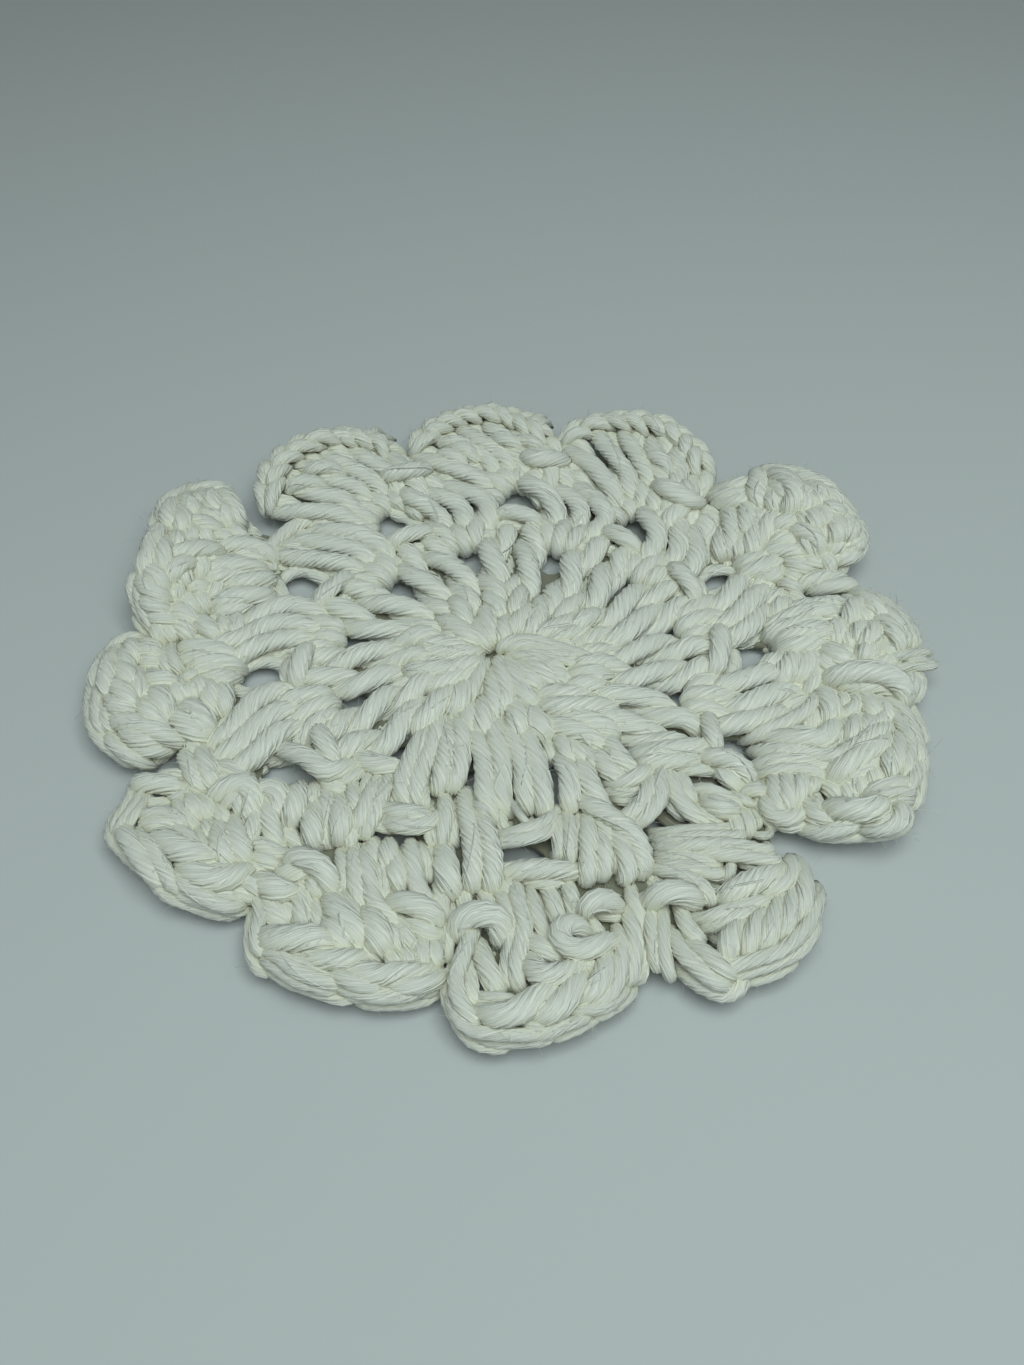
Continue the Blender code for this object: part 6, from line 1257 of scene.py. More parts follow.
@dataclass
class Worker:
    """Works single stitches: it turns a place in the mat into runs of yarn.

    Attributes:
        spacing: Step between the points of a run before it is settled.
        yarn: Half the yarn's thickness.
        tuck: How far the ends of a laid run go on out of sight.
        sink: How far they sink on the way.
        lowest: Least height of such an end.
        laid_ends: Share of the radius left at the two ends of a laid run.
        laid_reach: Length over which such an end narrows.
        post_step: Step between the points that a post's legs wind round.
        rise: How far a post's legs go over and under its middle.
        sway: How far they go to each side of its middle.
        opening: How soon they reach their full sway: 3 is a third of the way out.
        turn_chance: How much the number of their turns varies.
        phase_chance: How much the place where they start varies, in radians.
        tight: Share of the thickness left at a post's foot.
        hook: How far inward and how far up the points of the hook at a post's foot lie.
        tail: How far past a post's top its legs end.
        drops: How far below the post's middle they end there.
        low_height: Height of a low strand.
        wrap_reach: How far a wrap goes to each side.
        wrap_slant: How far it goes in and out.
        wrap_top: Height of its middle.
        wrap_thick: Its share of the yarn's thickness.
        wrap_stops: Its points: shares of slant and reach, and how far below the top each lies.
        rng: Seeded chance, which makes the hand's small unevenness.
    """

    spacing: float = 1.0
    yarn: float = 1.18
    tuck: float = 1.3
    sink: float = 1.5
    lowest: float = 0.8
    laid_ends: tuple[float, float] = (0.4, 0.4)
    laid_reach: float = 2.6
    post_step: float = 1.5
    rise: float = 1.1
    sway: float = 1.0
    opening: float = 3.0
    turn_chance: float = 0.1
    phase_chance: float = 0.3
    tight: float = 0.8
    hook: Spine = ((0.9, 0.75), (1.7, -0.5), (1.0, -1.45))
    tail: float = 1.6
    drops: tuple[float, float] = (0.7, 1.1)
    low_height: float = 1.2
    wrap_reach: float = 2.0
    wrap_slant: float = 1.6
    wrap_top: float = 4.9
    wrap_thick: float = 0.9
    wrap_stops: Stops = (
        (-1.25, -1.0, 2.5), (-0.8, -0.75, 0.55), (0.0, 0.0, 0.0), (0.8, 0.75, 0.55), (1.25, 1.0, 2.5),
    )
    rng: random.Random = field(default_factory=lambda: random.Random(SEED))

    def jitter(self, amount: float) -> float:
        """A small chance offset, within the amount either way."""
        return self.rng.uniform(-amount, amount)

    def strand(
        self,
        part: Part,
        points: Sequence[np.ndarray],
        thick: float = 1.0,
        ends: tuple[float, float] = (0.5, 0.5),
    ) -> Strand:
        """Makes one run of yarn through points.

        Args:
            part: The piece that it belongs to.
            points: Points to pass through, in millimetres.
            thick: Share of the yarn's thickness.
            ends: Share of the thickness left at the two ends.

        Returns:
            The run.
        """
        return Strand(part, smooth_line(points, self.spacing), self.yarn * thick, ends)

    def laid(self, part: Part, run: Laid, swell: float) -> Strand:
        """Lays one run as the photo shows it.

        Args:
            part: The piece that it belongs to.
            run: Its thickness and its way.
            swell: How much thicker it is than it shows, since its neighbours cover its sides.

        Returns:
            The run of yarn.
        """
        first = self.tucked(run.stops[0], run.stops[1])
        last = self.tucked(run.stops[-1], run.stops[-2])
        places = [SIGHT.place(*stop) for stop in (first, *run.stops, last)]
        strand = self.strand(part, places, run.thick * swell, self.laid_ends)
        strand.reach = self.laid_reach
        strand.held = True
        return strand

    def tucked(self, end: tuple[float, ...], before: tuple[float, ...]) -> tuple[float, float, float]:
        """Goes on past the end of a laid run, and down.

        Args:
            end: The run's last stop.
            before: The stop before it.

        Returns:
            A stop out of sight under the neighbours.
        """
        share = self.tuck / math.dist(end[:2], before[:2])
        x = end[0] + share * (end[0] - before[0])
        y = end[1] + share * (end[1] - before[1])
        inward = min(1.0, (math.hypot(*end[:2]) - self.sink) / math.hypot(x, y))
        return x * inward, y * inward, max(end[2] - self.sink, self.lowest)

    def post(
        self, part: Part, spine: Spine, turns: float, thick: float, height: float = 2.5, foot: float = 0.6
    ) -> Strand:
        """Works one post: a loop hooked round the bar below, whose two legs twist on the way out.

        Args:
            part: The piece that it belongs to.
            spine: Radius and angle of points along the post, from its foot out.
            turns: How often the legs go round each other.
            thick: Share of the yarn's thickness.
            height: Height of the post's middle.
            foot: Share of the sway left at the foot.

        Returns:
            The two legs, joined at the foot into one run.
        """
        middle = smooth_line([LAYOUT.place(radius, angle, height) for radius, angle in spine], self.post_step)
        count = len(middle)
        turns = turns + self.jitter(self.turn_chance)
        phase = 0.5 * math.pi + math.pi * turns + self.jitter(self.phase_chance)
        legs: list[list[np.ndarray]] = [[], []]
        for index, point in enumerate(middle):
            share = index / (count - 1)
            ahead = unit(middle[min(index + 1, count - 1)] - middle[max(index - 1, 0)])
            side = unit(np.cross(UP, ahead))
            over = np.cross(ahead, side)
            spread = self.sway * (foot + (1.0 - foot) * min(share * self.opening, 1.0))
            for leg in (0, 1):
                angle = phase - math.tau * turns * share + math.pi * leg
                legs[leg].append(point + spread * math.cos(angle) * side + self.rise * math.sin(angle) * over)
        inward = unit(middle[0] - middle[1])
        outward = unit(middle[-1] - middle[-2])
        hook = [middle[0] + into * inward + up * UP for into, up in self.hook]
        tails = [middle[-1] + self.tail * outward - drop * UP for drop in self.drops]
        first, second = (1, 0) if legs[0][0][2] < legs[1][0][2] else (0, 1)
        points = [tails[first], *legs[first][::-1], *hook, *legs[second], tails[second]]
        run = self.strand(part, points, thick)
        run.middle = self.tight
        return run

    def low(self, part: Part, spine: Spine) -> Strand:
        """Works a low strand that fills the space between two posts.

        Args:
            part: The piece that it belongs to.
            spine: Radius and angle of points along it, from its foot out.

        Returns:
            The run.
        """
        return self.strand(part, [LAYOUT.place(radius, angle, self.low_height) for radius, angle in spine])

    def wrap(self, part: Part, radius: float, angle: float) -> Strand:
        """Works the wrap that crosses a post at mid height.

        Args:
            part: The piece that it belongs to.
            radius: Radius of its middle.
            angle: Angle of its middle, in degrees.

        Returns:
            The run.
        """
        step = math.degrees(self.wrap_reach / radius)
        points = [
            LAYOUT.place(radius + out * self.wrap_slant, angle + on * step, self.wrap_top - drop)
            for out, on, drop in self.wrap_stops
        ]
        return self.strand(part, points, self.wrap_thick)


@dataclass
class EdgePath:
    """A petal's edge, read by its length.

    Attributes:
        stations: Radius and angle of points along it, counter-clockwise.
    """

    stations: Spine

    def __post_init__(self) -> None:
        """Works out the length along the edge."""
        radius = np.array([station[0] for station in self.stations])
        turn = np.radians([station[1] for station in self.stations])
        self.flat = np.stack([radius * np.cos(turn), radius * np.sin(turn)], axis=1)
        self.run = run_length(self.flat)

    @property
    def length(self) -> float:
        """Length of the edge in millimetres."""
        return float(self.run[-1])

    def at(self, along: float, out: float, height: float) -> np.ndarray:
        """A point beside the edge.

        Args:
            along: Distance along the edge, which may run past its ends.
            out: Distance to its outer side.
            height: Height over the fabric's underside.

        Returns:
            The point in millimetres.
        """
        index = int(np.clip(np.searchsorted(self.run, along) - 1, 0, len(self.run) - 2))
        direction = unit(self.flat[index + 1] - self.flat[index])
        point = self.flat[index] + direction * (along - self.run[index])
        point = point + out * np.array((direction[1], -direction[0]))
        radius = float(np.hypot(*point))
        angle = math.degrees(math.atan2(point[1], point[0]))
        return LAYOUT.place(radius, angle, height)


@dataclass
class CentreRound:
    """Round 1: stitches drawn together at the middle, and low strands beneath them.

    Attributes:
        swell: How much thicker its laid runs are than they show.
        start: Radius where the low strands begin.
        end: Radius where they end, under round 2.
        heights: Their height at the start, halfway and at the end.
        thick: Their share of the yarn's thickness.
        ends: Share of that thickness left at their two ends.
        shares: Where they lie between one pair's foot and the next.
    """

    swell: float = 1.12
    start: float = 4.6
    end: float = 10.8
    heights: tuple[float, ...] = (1.4, 1.2, 1.2)
    thick: float = 0.95
    ends: tuple[float, float] = (0.35, 0.8)
    shares: tuple[float, ...] = (0.0, 0.5)

    def work(self, worker: Worker) -> list[Strand]:
        """Works the round.

        Args:
            worker: Makes the stitches.

        Returns:
            All runs of yarn in it.
        """
        runs = [worker.laid(Part.CENTRE, run, self.swell) for run in CENTRE]
        radii = (self.start, 0.5 * (self.start + self.end), self.end)
        for index, foot in enumerate(PAIR_FEET):
            after = near(PAIR_FEET[(index + 1) % len(PAIR_FEET)], foot)
            for share in self.shares:
                angle = foot + share * (after - foot)
                points = [LAYOUT.place(radius, angle, height) for radius, height in zip(radii, self.heights)]
                runs.append(worker.strand(Part.CENTRE, points, self.thick, self.ends))
        return runs


@dataclass
class PairRound:
    """Round 2: two posts worked into each space of round 1, and the chains between them.

    Attributes:
        foot: Radius of the posts' feet.
        knee: Radius where they have parted.
        waist: Radius of the gap between the pairs.
        end: Radius of their tops.
        foot_apart: Half the angle between the two feet.
        knee_apart: Half the angle between the two knees, before the waist draws them on.
        waist_apart: How far off the pair's middle a waist is, as a share of the pair's space.
        end_apart: Half the angle between the two tops.
        bar_in: Distance from a petal's gap in to the strands that cross its inner side.
        bar_slant: Least and most slant of the upper one.
        bar_tilt: How far out its stops go with the slant.
        bar_rows: Stops of the upper, the lower and the inner one.
        bar_thick: Their shares of the yarn's thickness.
        bar_ends: Shares of that thickness left at their ends.
        chain_apart: Angle from a petal's gap to the chain beside it.
        chain_out: Distance from a gap between pairs out to the chain.
        chain_rows: How far out and how high the chain's two strands lie.
        chain_bend: How far out, and how far in along the chain, they bend near each end.
        chain_tail: How far out, on past the chain and below it their ends lie.
        chain_thick: Their share of the yarn's thickness.
        post_turns: How often a post's legs go round each other.
        post_thick: Their share of the yarn's thickness.
        post_foot: Share of their sway left at the foot.
        swell: How much thicker its laid runs are than they show.
    """

    foot: float = 10.0
    knee: float = 15.5
    waist: float = 21.0
    end: float = 25.6
    foot_apart: float = 7.5
    knee_apart: float = 8.0
    waist_apart: float = 0.235
    end_apart: float = 4.8
    bar_in: float = 1.5
    bar_slant: tuple[float, float] = (0.2, 1.4)
    bar_tilt: tuple[float, ...] = (-1.0, -1.0, 0.0, 0.5, 0.2)
    bar_rows: tuple[Stops, ...] = (
        ((-1.2, -9.0, 1.8), (0.0, -5.5, 4.0), (0.0, 0.0, 4.6), (0.0, 5.5, 4.0), (0.0, 9.0, 1.8)),
        ((-0.6, -10.0, 1.2), (1.7, -4.5, 2.2), (1.6, 4.5, 2.2), (-0.6, 10.0, 1.2)),
        ((-2.2, -7.0, 1.4), (-1.4, -3.0, 2.6), (-1.2, 3.0, 2.8), (-2.0, 7.0, 1.4)),
    )
    bar_thick: tuple[float, ...] = (0.95, 0.85, 0.85)
    bar_ends: tuple[float, ...] = (0.55, 0.5, 0.5)
    chain_apart: float = 7.0
    chain_out: float = 1.2
    chain_rows: Spine = ((0.0, 2.2), (1.1, 1.2))
    chain_bend: tuple[float, float] = (0.3, 2.0)
    chain_tail: tuple[float, float, float] = (1.4, 3.0, 0.4)
    chain_thick: float = 0.8
    post_turns: float = 0.95
    post_thick: float = 1.1
    post_foot: float = 0.45
    swell: float = 1.0

    def spine(self, index: int, side: float) -> list[tuple[float, float]]:
        """Lays out a line along a pair.

        Args:
            index: Which pair.
            side: -1 for the middle of its first post, 1 for that of its second one.

        Returns:
            Radius and angle of points along it.
        """
        gap = SHELL_GAPS[index]
        foot = near(PAIR_FEET[index], gap.angle)
        before = near(PAIR_GAPS[index - 1].angle, gap.angle)
        after = near(PAIR_GAPS[index].angle, gap.angle)
        waist = before + (after - before) * (0.5 + self.waist_apart * side)
        return [
            (self.foot, foot + self.foot_apart * side),
            (self.knee, 0.5 * (foot + self.knee_apart * side + waist)),
            (self.waist, waist),
            (self.end, gap.angle + self.end_apart * side),
        ]

    def bar(self, worker: Worker, index: int) -> list[Strand]:
        """Works the three strands that cross the inner side of a petal's gap.

        Args:
            worker: Makes the stitches.
            index: Which gap.

        Returns:
            The upper strand, which lies aslant, the lower one and the inner one.
        """
        gap = SHELL_GAPS[index]
        middle = gap.radius - 0.5 * gap.length - self.bar_in
        slant = worker.rng.uniform(*self.bar_slant)
        upper, *lower = self.bar_rows
        upper = [(stop[0] + tilt * slant, *stop[1:]) for stop, tilt in zip(upper, self.bar_tilt)]
        rows = zip((upper, *lower), self.bar_thick, self.bar_ends)
        return [
            worker.strand(Part.PAIRS, LAYOUT.course(middle, gap.angle, stops), thick, (end, end))
            for stops, thick, end in rows
        ]

    def chain(self, worker: Worker, index: int) -> list[Strand]:
        """Works the chain behind the feet of a group.

        Args:
            worker: Makes the stitches.
            index: Which gap between pairs.

        Returns:
            Its two strands.
        """
        gap = PAIR_GAPS[index]
        start, end = gaps_by(index)
        low = near(start.angle, gap.angle) + self.chain_apart
        high = near(end.angle, gap.angle) - self.chain_apart
        bend_out, bend = self.chain_bend
        tail_out, tail, drop = self.chain_tail
        runs = []
        for out, height in self.chain_rows:
            radius = gap.outer + self.chain_out + out
            points = [
                LAYOUT.place(radius + tail_out, low - tail, height - drop),
                LAYOUT.place(radius + bend_out, low + bend, height),
                LAYOUT.place(radius, gap.angle, height),
                LAYOUT.place(radius + bend_out, high - bend, height),
                LAYOUT.place(radius + tail_out, high + tail, height - drop),
            ]
            runs.append(worker.strand(Part.PAIRS, points, self.chain_thick))
        return runs

    def work(self, worker: Worker) -> list[Strand]:
        """Works the round.

        Args:
            worker: Makes the stitches.

        Returns:
            All runs of yarn in it.
        """
        runs = [worker.laid(Part.PAIRS, run, self.swell) for run in PAIRS_FRONT]
        for index in range(len(SHELL_GAPS)):
            if index in LAID_PAIRS:
                continue
            for side in (-1.0, 1.0):
                spine = self.spine(index, side)
                post = worker.post(Part.PAIRS, spine, self.post_turns, self.post_thick, foot=self.post_foot)
                runs.append(post)
            runs.append(worker.low(Part.PAIRS, self.spine(index, 0.0)))
        for index in range(len(SHELL_GAPS)):
            if index not in LAID_BARS:
                runs += self.bar(worker, index)
            if index not in LAID_GROUPS:
                runs += self.chain(worker, index)
        return runs


@dataclass
class GroupRound:
    """Round 3: three posts worked into each gap of round 2, and the chains over their tops.

    Attributes:
        waist: Radius of the gaps beside the group.
        end: Radius of their tops.
        posts: Posts in a group.
        low_sides: Where the low strands between them lie, from -1 to 1.
        foot_out: Distance of the middle foot from its gap.
        foot_curve: How much farther out the outer feet lie.
        foot_apart: Half the angle that the feet take up.
        end_apart: Half the angle that the tops take up.
        chain_out: Distance from a petal's gap out to the chain.
        chain_top: Radius of the chain where it crosses a notch.
        chain_side: Radius that it nears on both sides of the notch.
        chain_rows: How far out and how high the chain's two strands lie.
        chain_rise: How much higher they lie on both sides of the notch, and where they cross it.
        chain_apart: Angle from halfway between gap and notch to their points there.
        chain_thick: Their share of the yarn's thickness.
        chain_ends: Share of that thickness left at their ends.
        post_turns: How often a post's legs go round each other.
        post_thick: Their share of the yarn's thickness.
        swell: How much thicker its laid runs are than they show.
    """

    waist: float = 31.8
    end: float = 38.4
    posts: int = 3
    low_sides: tuple[float, ...] = (-0.35, 0.35)
    foot_out: float = 0.9
    foot_curve: float = 0.8
    foot_apart: float = 6.0
    end_apart: float = 6.4
    chain_out: float = 1.1
    chain_top: float = 39.2
    chain_side: float = 39.0
    chain_rows: Spine = ((0.0, 1.3), (1.3, 2.5))
    chain_rise: tuple[float, float] = (0.2, 0.4)
    chain_apart: float = 1.0
    chain_thick: float = 0.85
    chain_ends: tuple[float, float] = (0.6, 0.6)
    post_turns: float = 0.7
    post_thick: float = 1.1
    swell: float = 1.04

    def part(self, angle: float) -> Part:
        """The piece that yarn at an angle goes to."""
        return Part.GROUPS_BACK if at_back(angle) else Part.GROUPS_FRONT

    def spine(self, index: int, side: float) -> list[tuple[float, float]]:
        """Lays out a line along a group.

        Args:
            index: Which group.
            side: -1 for its first side, 0 for its middle, 1 for its last side.

        Returns:
            Radius and angle of points along it.
        """
        gap = PAIR_GAPS[index]
        start, end = gaps_by(index)
        low = near(start.angle, gap.angle) + math.degrees(0.5 * start.width / start.radius)
        high = near(end.angle, gap.angle) - math.degrees(0.5 * end.width / end.radius)
        return [
            (gap.outer + self.foot_out + self.foot_curve * abs(side), gap.angle + self.foot_apart * side),
            (self.waist, 0.5 * (low + high + (high - low) * side)),
            (self.end, PETALS[index].notch + self.end_apart * side),
        ]

    def chain(self, worker: Worker, index: int) -> list[Strand]:
        """Works the chain behind the feet of a shell and over the group's tops.

        Args:
            worker: Makes the stitches.
            index: Which petal's notch.

        Returns:
            Its two strands.
        """
        notch = PETALS[index].notch
        before, after = gaps_by(index)
        low, high = near(before.angle, notch), near(after.angle, notch)
        low_side = 0.5 * (low + notch) - self.chain_apart
        high_side = 0.5 * (high + notch) + self.chain_apart
        side_rise, top_rise = self.chain_rise
        runs = []
        for out, height in self.chain_rows:
            first = before.outer + self.chain_out + out
            last = after.outer + self.chain_out + out
            points = [
                LAYOUT.place(first, low, height),
                LAYOUT.place(0.5 * (first + self.chain_side + out), low_side, height + side_rise),
                LAYOUT.place(self.chain_top + out, notch, height + top_rise),
                LAYOUT.place(0.5 * (last + self.chain_side + out), high_side, height + side_rise),
                LAYOUT.place(last, high, height),
            ]
            runs.append(worker.strand(self.part(notch), points, self.chain_thick, self.chain_ends))
        return runs

    def work(self, worker: Worker) -> list[Strand]:
        """Works the round.

        Args:
            worker: Makes the stitches.

        Returns:
            All runs of yarn in it.
        """
        runs = [worker.laid(Part.GROUPS_FRONT, run, self.swell) for run in GROUPS_FRONT]
        for index in range(len(PETALS)):
            if index in LAID_GROUPS:
                continue
            part = self.part(self.spine(index, 0.0)[1][1])
            for post in range(self.posts):
                side = (2.0 * post + 1.0) / self.posts - 1.0
                runs.append(worker.post(part, self.spine(index, side), self.post_turns, self.post_thick))
            runs += [worker.low(part, self.spine(index, side)) for side in self.low_sides]
            runs += self.chain(worker, index)
        return runs


@dataclass
class EdgeTwist:
    """The thin strands along a petal's edge, which wind round each other.

    Attributes:
        strands: How many they are.
        thick: Their share of the yarn's thickness.
        ends: Share of that thickness left at their ends.
        step: Length between two points of a strand.
        least_steps: Fewest steps along a petal.
        lay: Length in which they go once round each other.
        inset: Distance from the edge in to their middle.
        tuck: How much farther in they are at a petal's ends.
        flare: How slowly they come out from there; less is sooner.
        height: Height of their middle at a petal's ends.
        rise: How much higher they lie along the petal.
        wind: How far they go out and in, and up and down.
    """

    strands: int = 4
    thick: float = 0.56
    ends: tuple[float, float] = (0.6, 0.6)
    step: float = 2.6
    least_steps: int = 8
    lay: float = 15.0
    inset: float = 1.2
    tuck: float = 1.6
    flare: float = 0.35
    height: float = 1.5
    rise: float = 0.3
    wind: tuple[float, float] = (0.7, 0.8)

    def work(self, worker: Worker, path: EdgePath, part: Part) -> list[Strand]:
        """Works the strands.

        Args:
            worker: Makes the stitches.
            path: The petal's edge.
            part: The piece that they belong to.

        Returns:
            The strands.
        """
        runs = []
        count = max(int(path.length / self.step), self.least_steps)
        turns = path.length / self.lay
        start = worker.rng.uniform(0.0, math.tau)
        for strand in range(self.strands):
            phase = start + math.tau * strand / self.strands
            points = []
            for step in range(count + 1):
                share = step / count
                along = math.sin(math.pi * share) ** self.flare
                angle = phase + math.tau * turns * share
                out = self.wind[0] * math.cos(angle) - self.inset - self.tuck * (1.0 - along)
                height = self.height + self.wind[1] * math.sin(angle) + self.rise * along
                points.append(path.at(share * path.length, out, height))
            runs.append(worker.strand(part, points, self.thick, self.ends))
        return runs


@dataclass
class ShellRound:
    """Rounds 4 and 5: a shell of posts over each gap, and the braid and edge of its petal.

    Attributes:
        foot_turn: How far round its gap the outermost foot of a shell lies, in degrees.
        foot_out: Distance of the feet from the gap.
        inset: Distance from the posts' tops in from the edge.
        posts: Posts in a shell.
        bow: How far a post bends away from the petal's middle, in degrees.
        height: Height of the posts' middles.
        turns: How often a post's legs go round each other.
        thick: Their share of the yarn's thickness.
        wrapped: Share of the posts that have a wrap.
        wrap_out: How far out of a post's middle the wrap lies.
        wrap_chance: How much that varies.
        wrap_turn: Angle from the post to its wrap.
        low_posts: Low strands beneath them.
        low_foot_out: Distance of those strands' feet from the gap.
        low_span: Half the share of the petal that their tops take up.
        low_inset: Distance from the middle one's top out to the edge.
        low_curve: How much farther in the outer ones end.
        low_heights: Their height at the foot, halfway and at the top.
        low_thick: Their share of the yarn's thickness.
        lined: Petals whose gap has a lining.
        lining_out: Distance of the lining from the gap.
        lining_height: Height of the lining.
        lining_points: Points along the lining.
        lining_lap: Steps between those points by which its ends pass each other.
        lining_thick: Its share of the yarn's thickness.
        edge_steps: Steps in which a petal's edge is read.
        edge_short: Angle before the notch at which its last step is read, still on this petal.
        braids: Lenses in a row of the braid along a petal.
        braid_rows: The braid's rows: how far out of the edge, how aslant and how high each is.
        braid_lens: Points of a lens: shares of its pitch and slant, and how far over its top.
        braid_thick: A lens's share of the yarn's thickness.
        braid_chance: How much a lens varies along, across and in height.
        rim_from: Radius from which laid runs belong to the rim.
        swell: How much thicker its laid runs are than they show.
    """

    foot_turn: float = 74.0
    foot_out: float = 1.4
    inset: float = 4.1
    posts: int = 6
    bow: float = 0.8
    height: float = 2.7
    turns: float = 0.6
    thick: float = 1.04
    wrapped: float = 0.4
    wrap_out: float = 1.2
    wrap_chance: float = 0.9
    wrap_turn: float = 1.0
    low_posts: int = 7
    low_foot_out: float = 0.5
    low_span: float = 0.45
    low_inset: float = 3.0
    low_curve: float = 0.8
    low_heights: tuple[float, float, float] = (1.5, 1.2, 1.2)
    low_thick: float = 0.95
    lined: tuple[int, ...] = (1, 4, 5, 6)
    lining_out: float = 0.6
    lining_height: float = 1.8
    lining_points: int = 13
    lining_lap: float = 0.5
    lining_thick: float = 0.8
    edge_steps: int = 14
    edge_short: float = 0.01
    braids: int = 8
    braid_rows: Stops = ((-3.1, 0.9, 4.6), (-1.5, -0.7, 3.7))
    braid_lens: Stops = (
        (-0.8, -1.0, -2.0), (-0.4, -0.6, -0.5), (0.1, 0.1, 0.0), (0.5, 0.6, -0.5), (0.9, 1.0, -2.0),
    )
    braid_thick: float = 0.86
    braid_chance: tuple[float, float, float] = (0.4, 0.3, 0.3)
    rim_from: float = 44.5
    swell: float = 1.21

    def part(self, angle: float, rim: bool) -> Part:
        """The piece that yarn at an angle goes to."""
        if rim:
            return Part.RIM_BACK if at_back(angle) else Part.RIM_FRONT
        return Part.SHELLS_BACK if at_back(angle) else Part.SHELLS_FRONT

    def work(self, worker: Worker) -> list[Strand]:
        """Works the rounds.

        Args:
            worker: Makes the stitches.

        Returns:
            All runs of yarn in them.
        """
        runs = [worker.laid(Part.RIM_BACK, run, 1.0) for run in TUFTS]
        for index, petal in enumerate(PETALS):
            if index in LAID:
                for run in LAID[index]:
                    outer = np.mean([math.hypot(x, y) for x, y, _ in run.stops]) > self.rim_from
                    runs.append(worker.laid(self.part(petal.middle, outer), run, self.swell))
            else:
                runs += self.shell(worker, index)
                runs += self.rim(worker, index)
            runs += self.under(worker, index)
            if index in self.lined:
                runs.append(self.lining(worker, index))
        return runs

    def lining(self, worker: Worker, index: int) -> Strand:
        """Works the loop of yarn that lines a petal's gap.

        Args:
            worker: Makes the stitches.
            index: Which petal.

        Returns:
            The loop, whose ends lie over each other.
        """
        gap = SHELL_GAPS[index]
        points = []
        for step in range(self.lining_points):
            turn = math.tau * step / (self.lining_points - 1.0 - self.lining_lap)
            radius, side = gap.beside(turn, self.lining_out)
            points.append(LAYOUT.place(radius, gap.angle + math.degrees(side / radius), self.lining_height))
        return worker.strand(self.part(PETALS[index].middle, False), points, self.lining_thick)

    def under(self, worker: Worker, index: int) -> list[Strand]:
        """Works the low strands that lie beneath a petal's upper ones.

        Args:
            worker: Makes the stitches.
            index: Which petal.

        Returns:
            The low strands, which fan out from the gap.
        """
        first, last = LAYOUT.span(index)
        part = self.part(PETALS[index].middle, False)
        runs = []
        for post in range(self.low_posts):
            side = (2.0 * post + 1.0) / self.low_posts - 1.0
            angle = 0.5 * (first + last) + self.low_span * (last - first) * side
            top = LAYOUT.edge(index, angle) - self.low_inset - self.low_curve * abs(side)
            turn = math.radians(self.foot_turn * side)
            bottom, beside = SHELL_GAPS[index].beside(turn, self.low_foot_out)
            foot = LAYOUT.root(index) + math.degrees(beside / bottom)
            spine = ((bottom, foot), (0.5 * (bottom + top), 0.5 * (foot + angle)), (top, angle))
            points = [LAYOUT.place(*stop, height) for stop, height in zip(spine, self.low_heights)]
            runs.append(worker.strand(part, points, self.low_thick))
        return runs

    def shell(self, worker: Worker, index: int) -> list[Strand]:
        """Works the posts of one petal.

        Args:
            worker: Makes the stitches.
            index: Which petal.

        Returns:
            The runs of its posts and wraps.
        """
        first, last = LAYOUT.span(index)
        part = self.part(PETALS[index].middle, False)
        runs = []
        for post in range(self.posts):
            share = (post + 0.5) / self.posts
            side = 2.0 * share - 1.0
            angle = first + (last - first) * share
            top = LAYOUT.edge(index, angle) - self.inset
            turn = math.radians(self.foot_turn * side * self.posts / (self.posts - 1.0))
            bottom, beside = SHELL_GAPS[index].beside(turn, self.foot_out)
            foot = LAYOUT.root(index) + math.degrees(beside / bottom)
            middle = (0.5 * (bottom + top), 0.5 * (foot + angle) + self.bow * side)
            spine = ((bottom, foot), middle, (top, angle))
            runs.append(worker.post(part, spine, self.turns, self.thick, self.height))
            if worker.rng.random() < self.wrapped:
                radius = middle[0] + self.wrap_out + worker.jitter(self.wrap_chance)
                runs.append(worker.wrap(part, radius, middle[1] + self.wrap_turn))
        return runs

    def rim(self, worker: Worker, index: int) -> list[Strand]:
        """Works the braid and the edge of one petal.

        Args:
            worker: Makes the stitches.
            index: Which petal.

        Returns:
            The runs of its rim.
        """
        first, last = LAYOUT.span(index)
        angles = [first + (last - first) * step / self.edge_steps for step in range(self.edge_steps + 1)]
        on_petal = [min(angle, last - self.edge_short) for angle in angles]
        path = EdgePath([(LAYOUT.edge(index, read), angle) for read, angle in zip(on_petal, angles)])
        part = self.part(PETALS[index].middle, True)
        pitch = (path.length - 1.0) / self.braids
        along_chance, across_chance, height_chance = self.braid_chance
        runs = []
        for braid in range(self.braids):
            for out, slant, top in self.braid_rows:
                at = (braid + 0.5) * pitch + 0.5 + worker.jitter(along_chance)
                middle = out + worker.jitter(across_chance)
                crown = top + worker.jitter(height_chance)
                lens = [
                    path.at(at + along * pitch, middle + aslant * slant, crown + over)
                    for along, aslant, over in self.braid_lens
                ]
                runs.append(worker.strand(part, lens, self.braid_thick))
        return runs + EdgeTwist().work(worker, path, part)


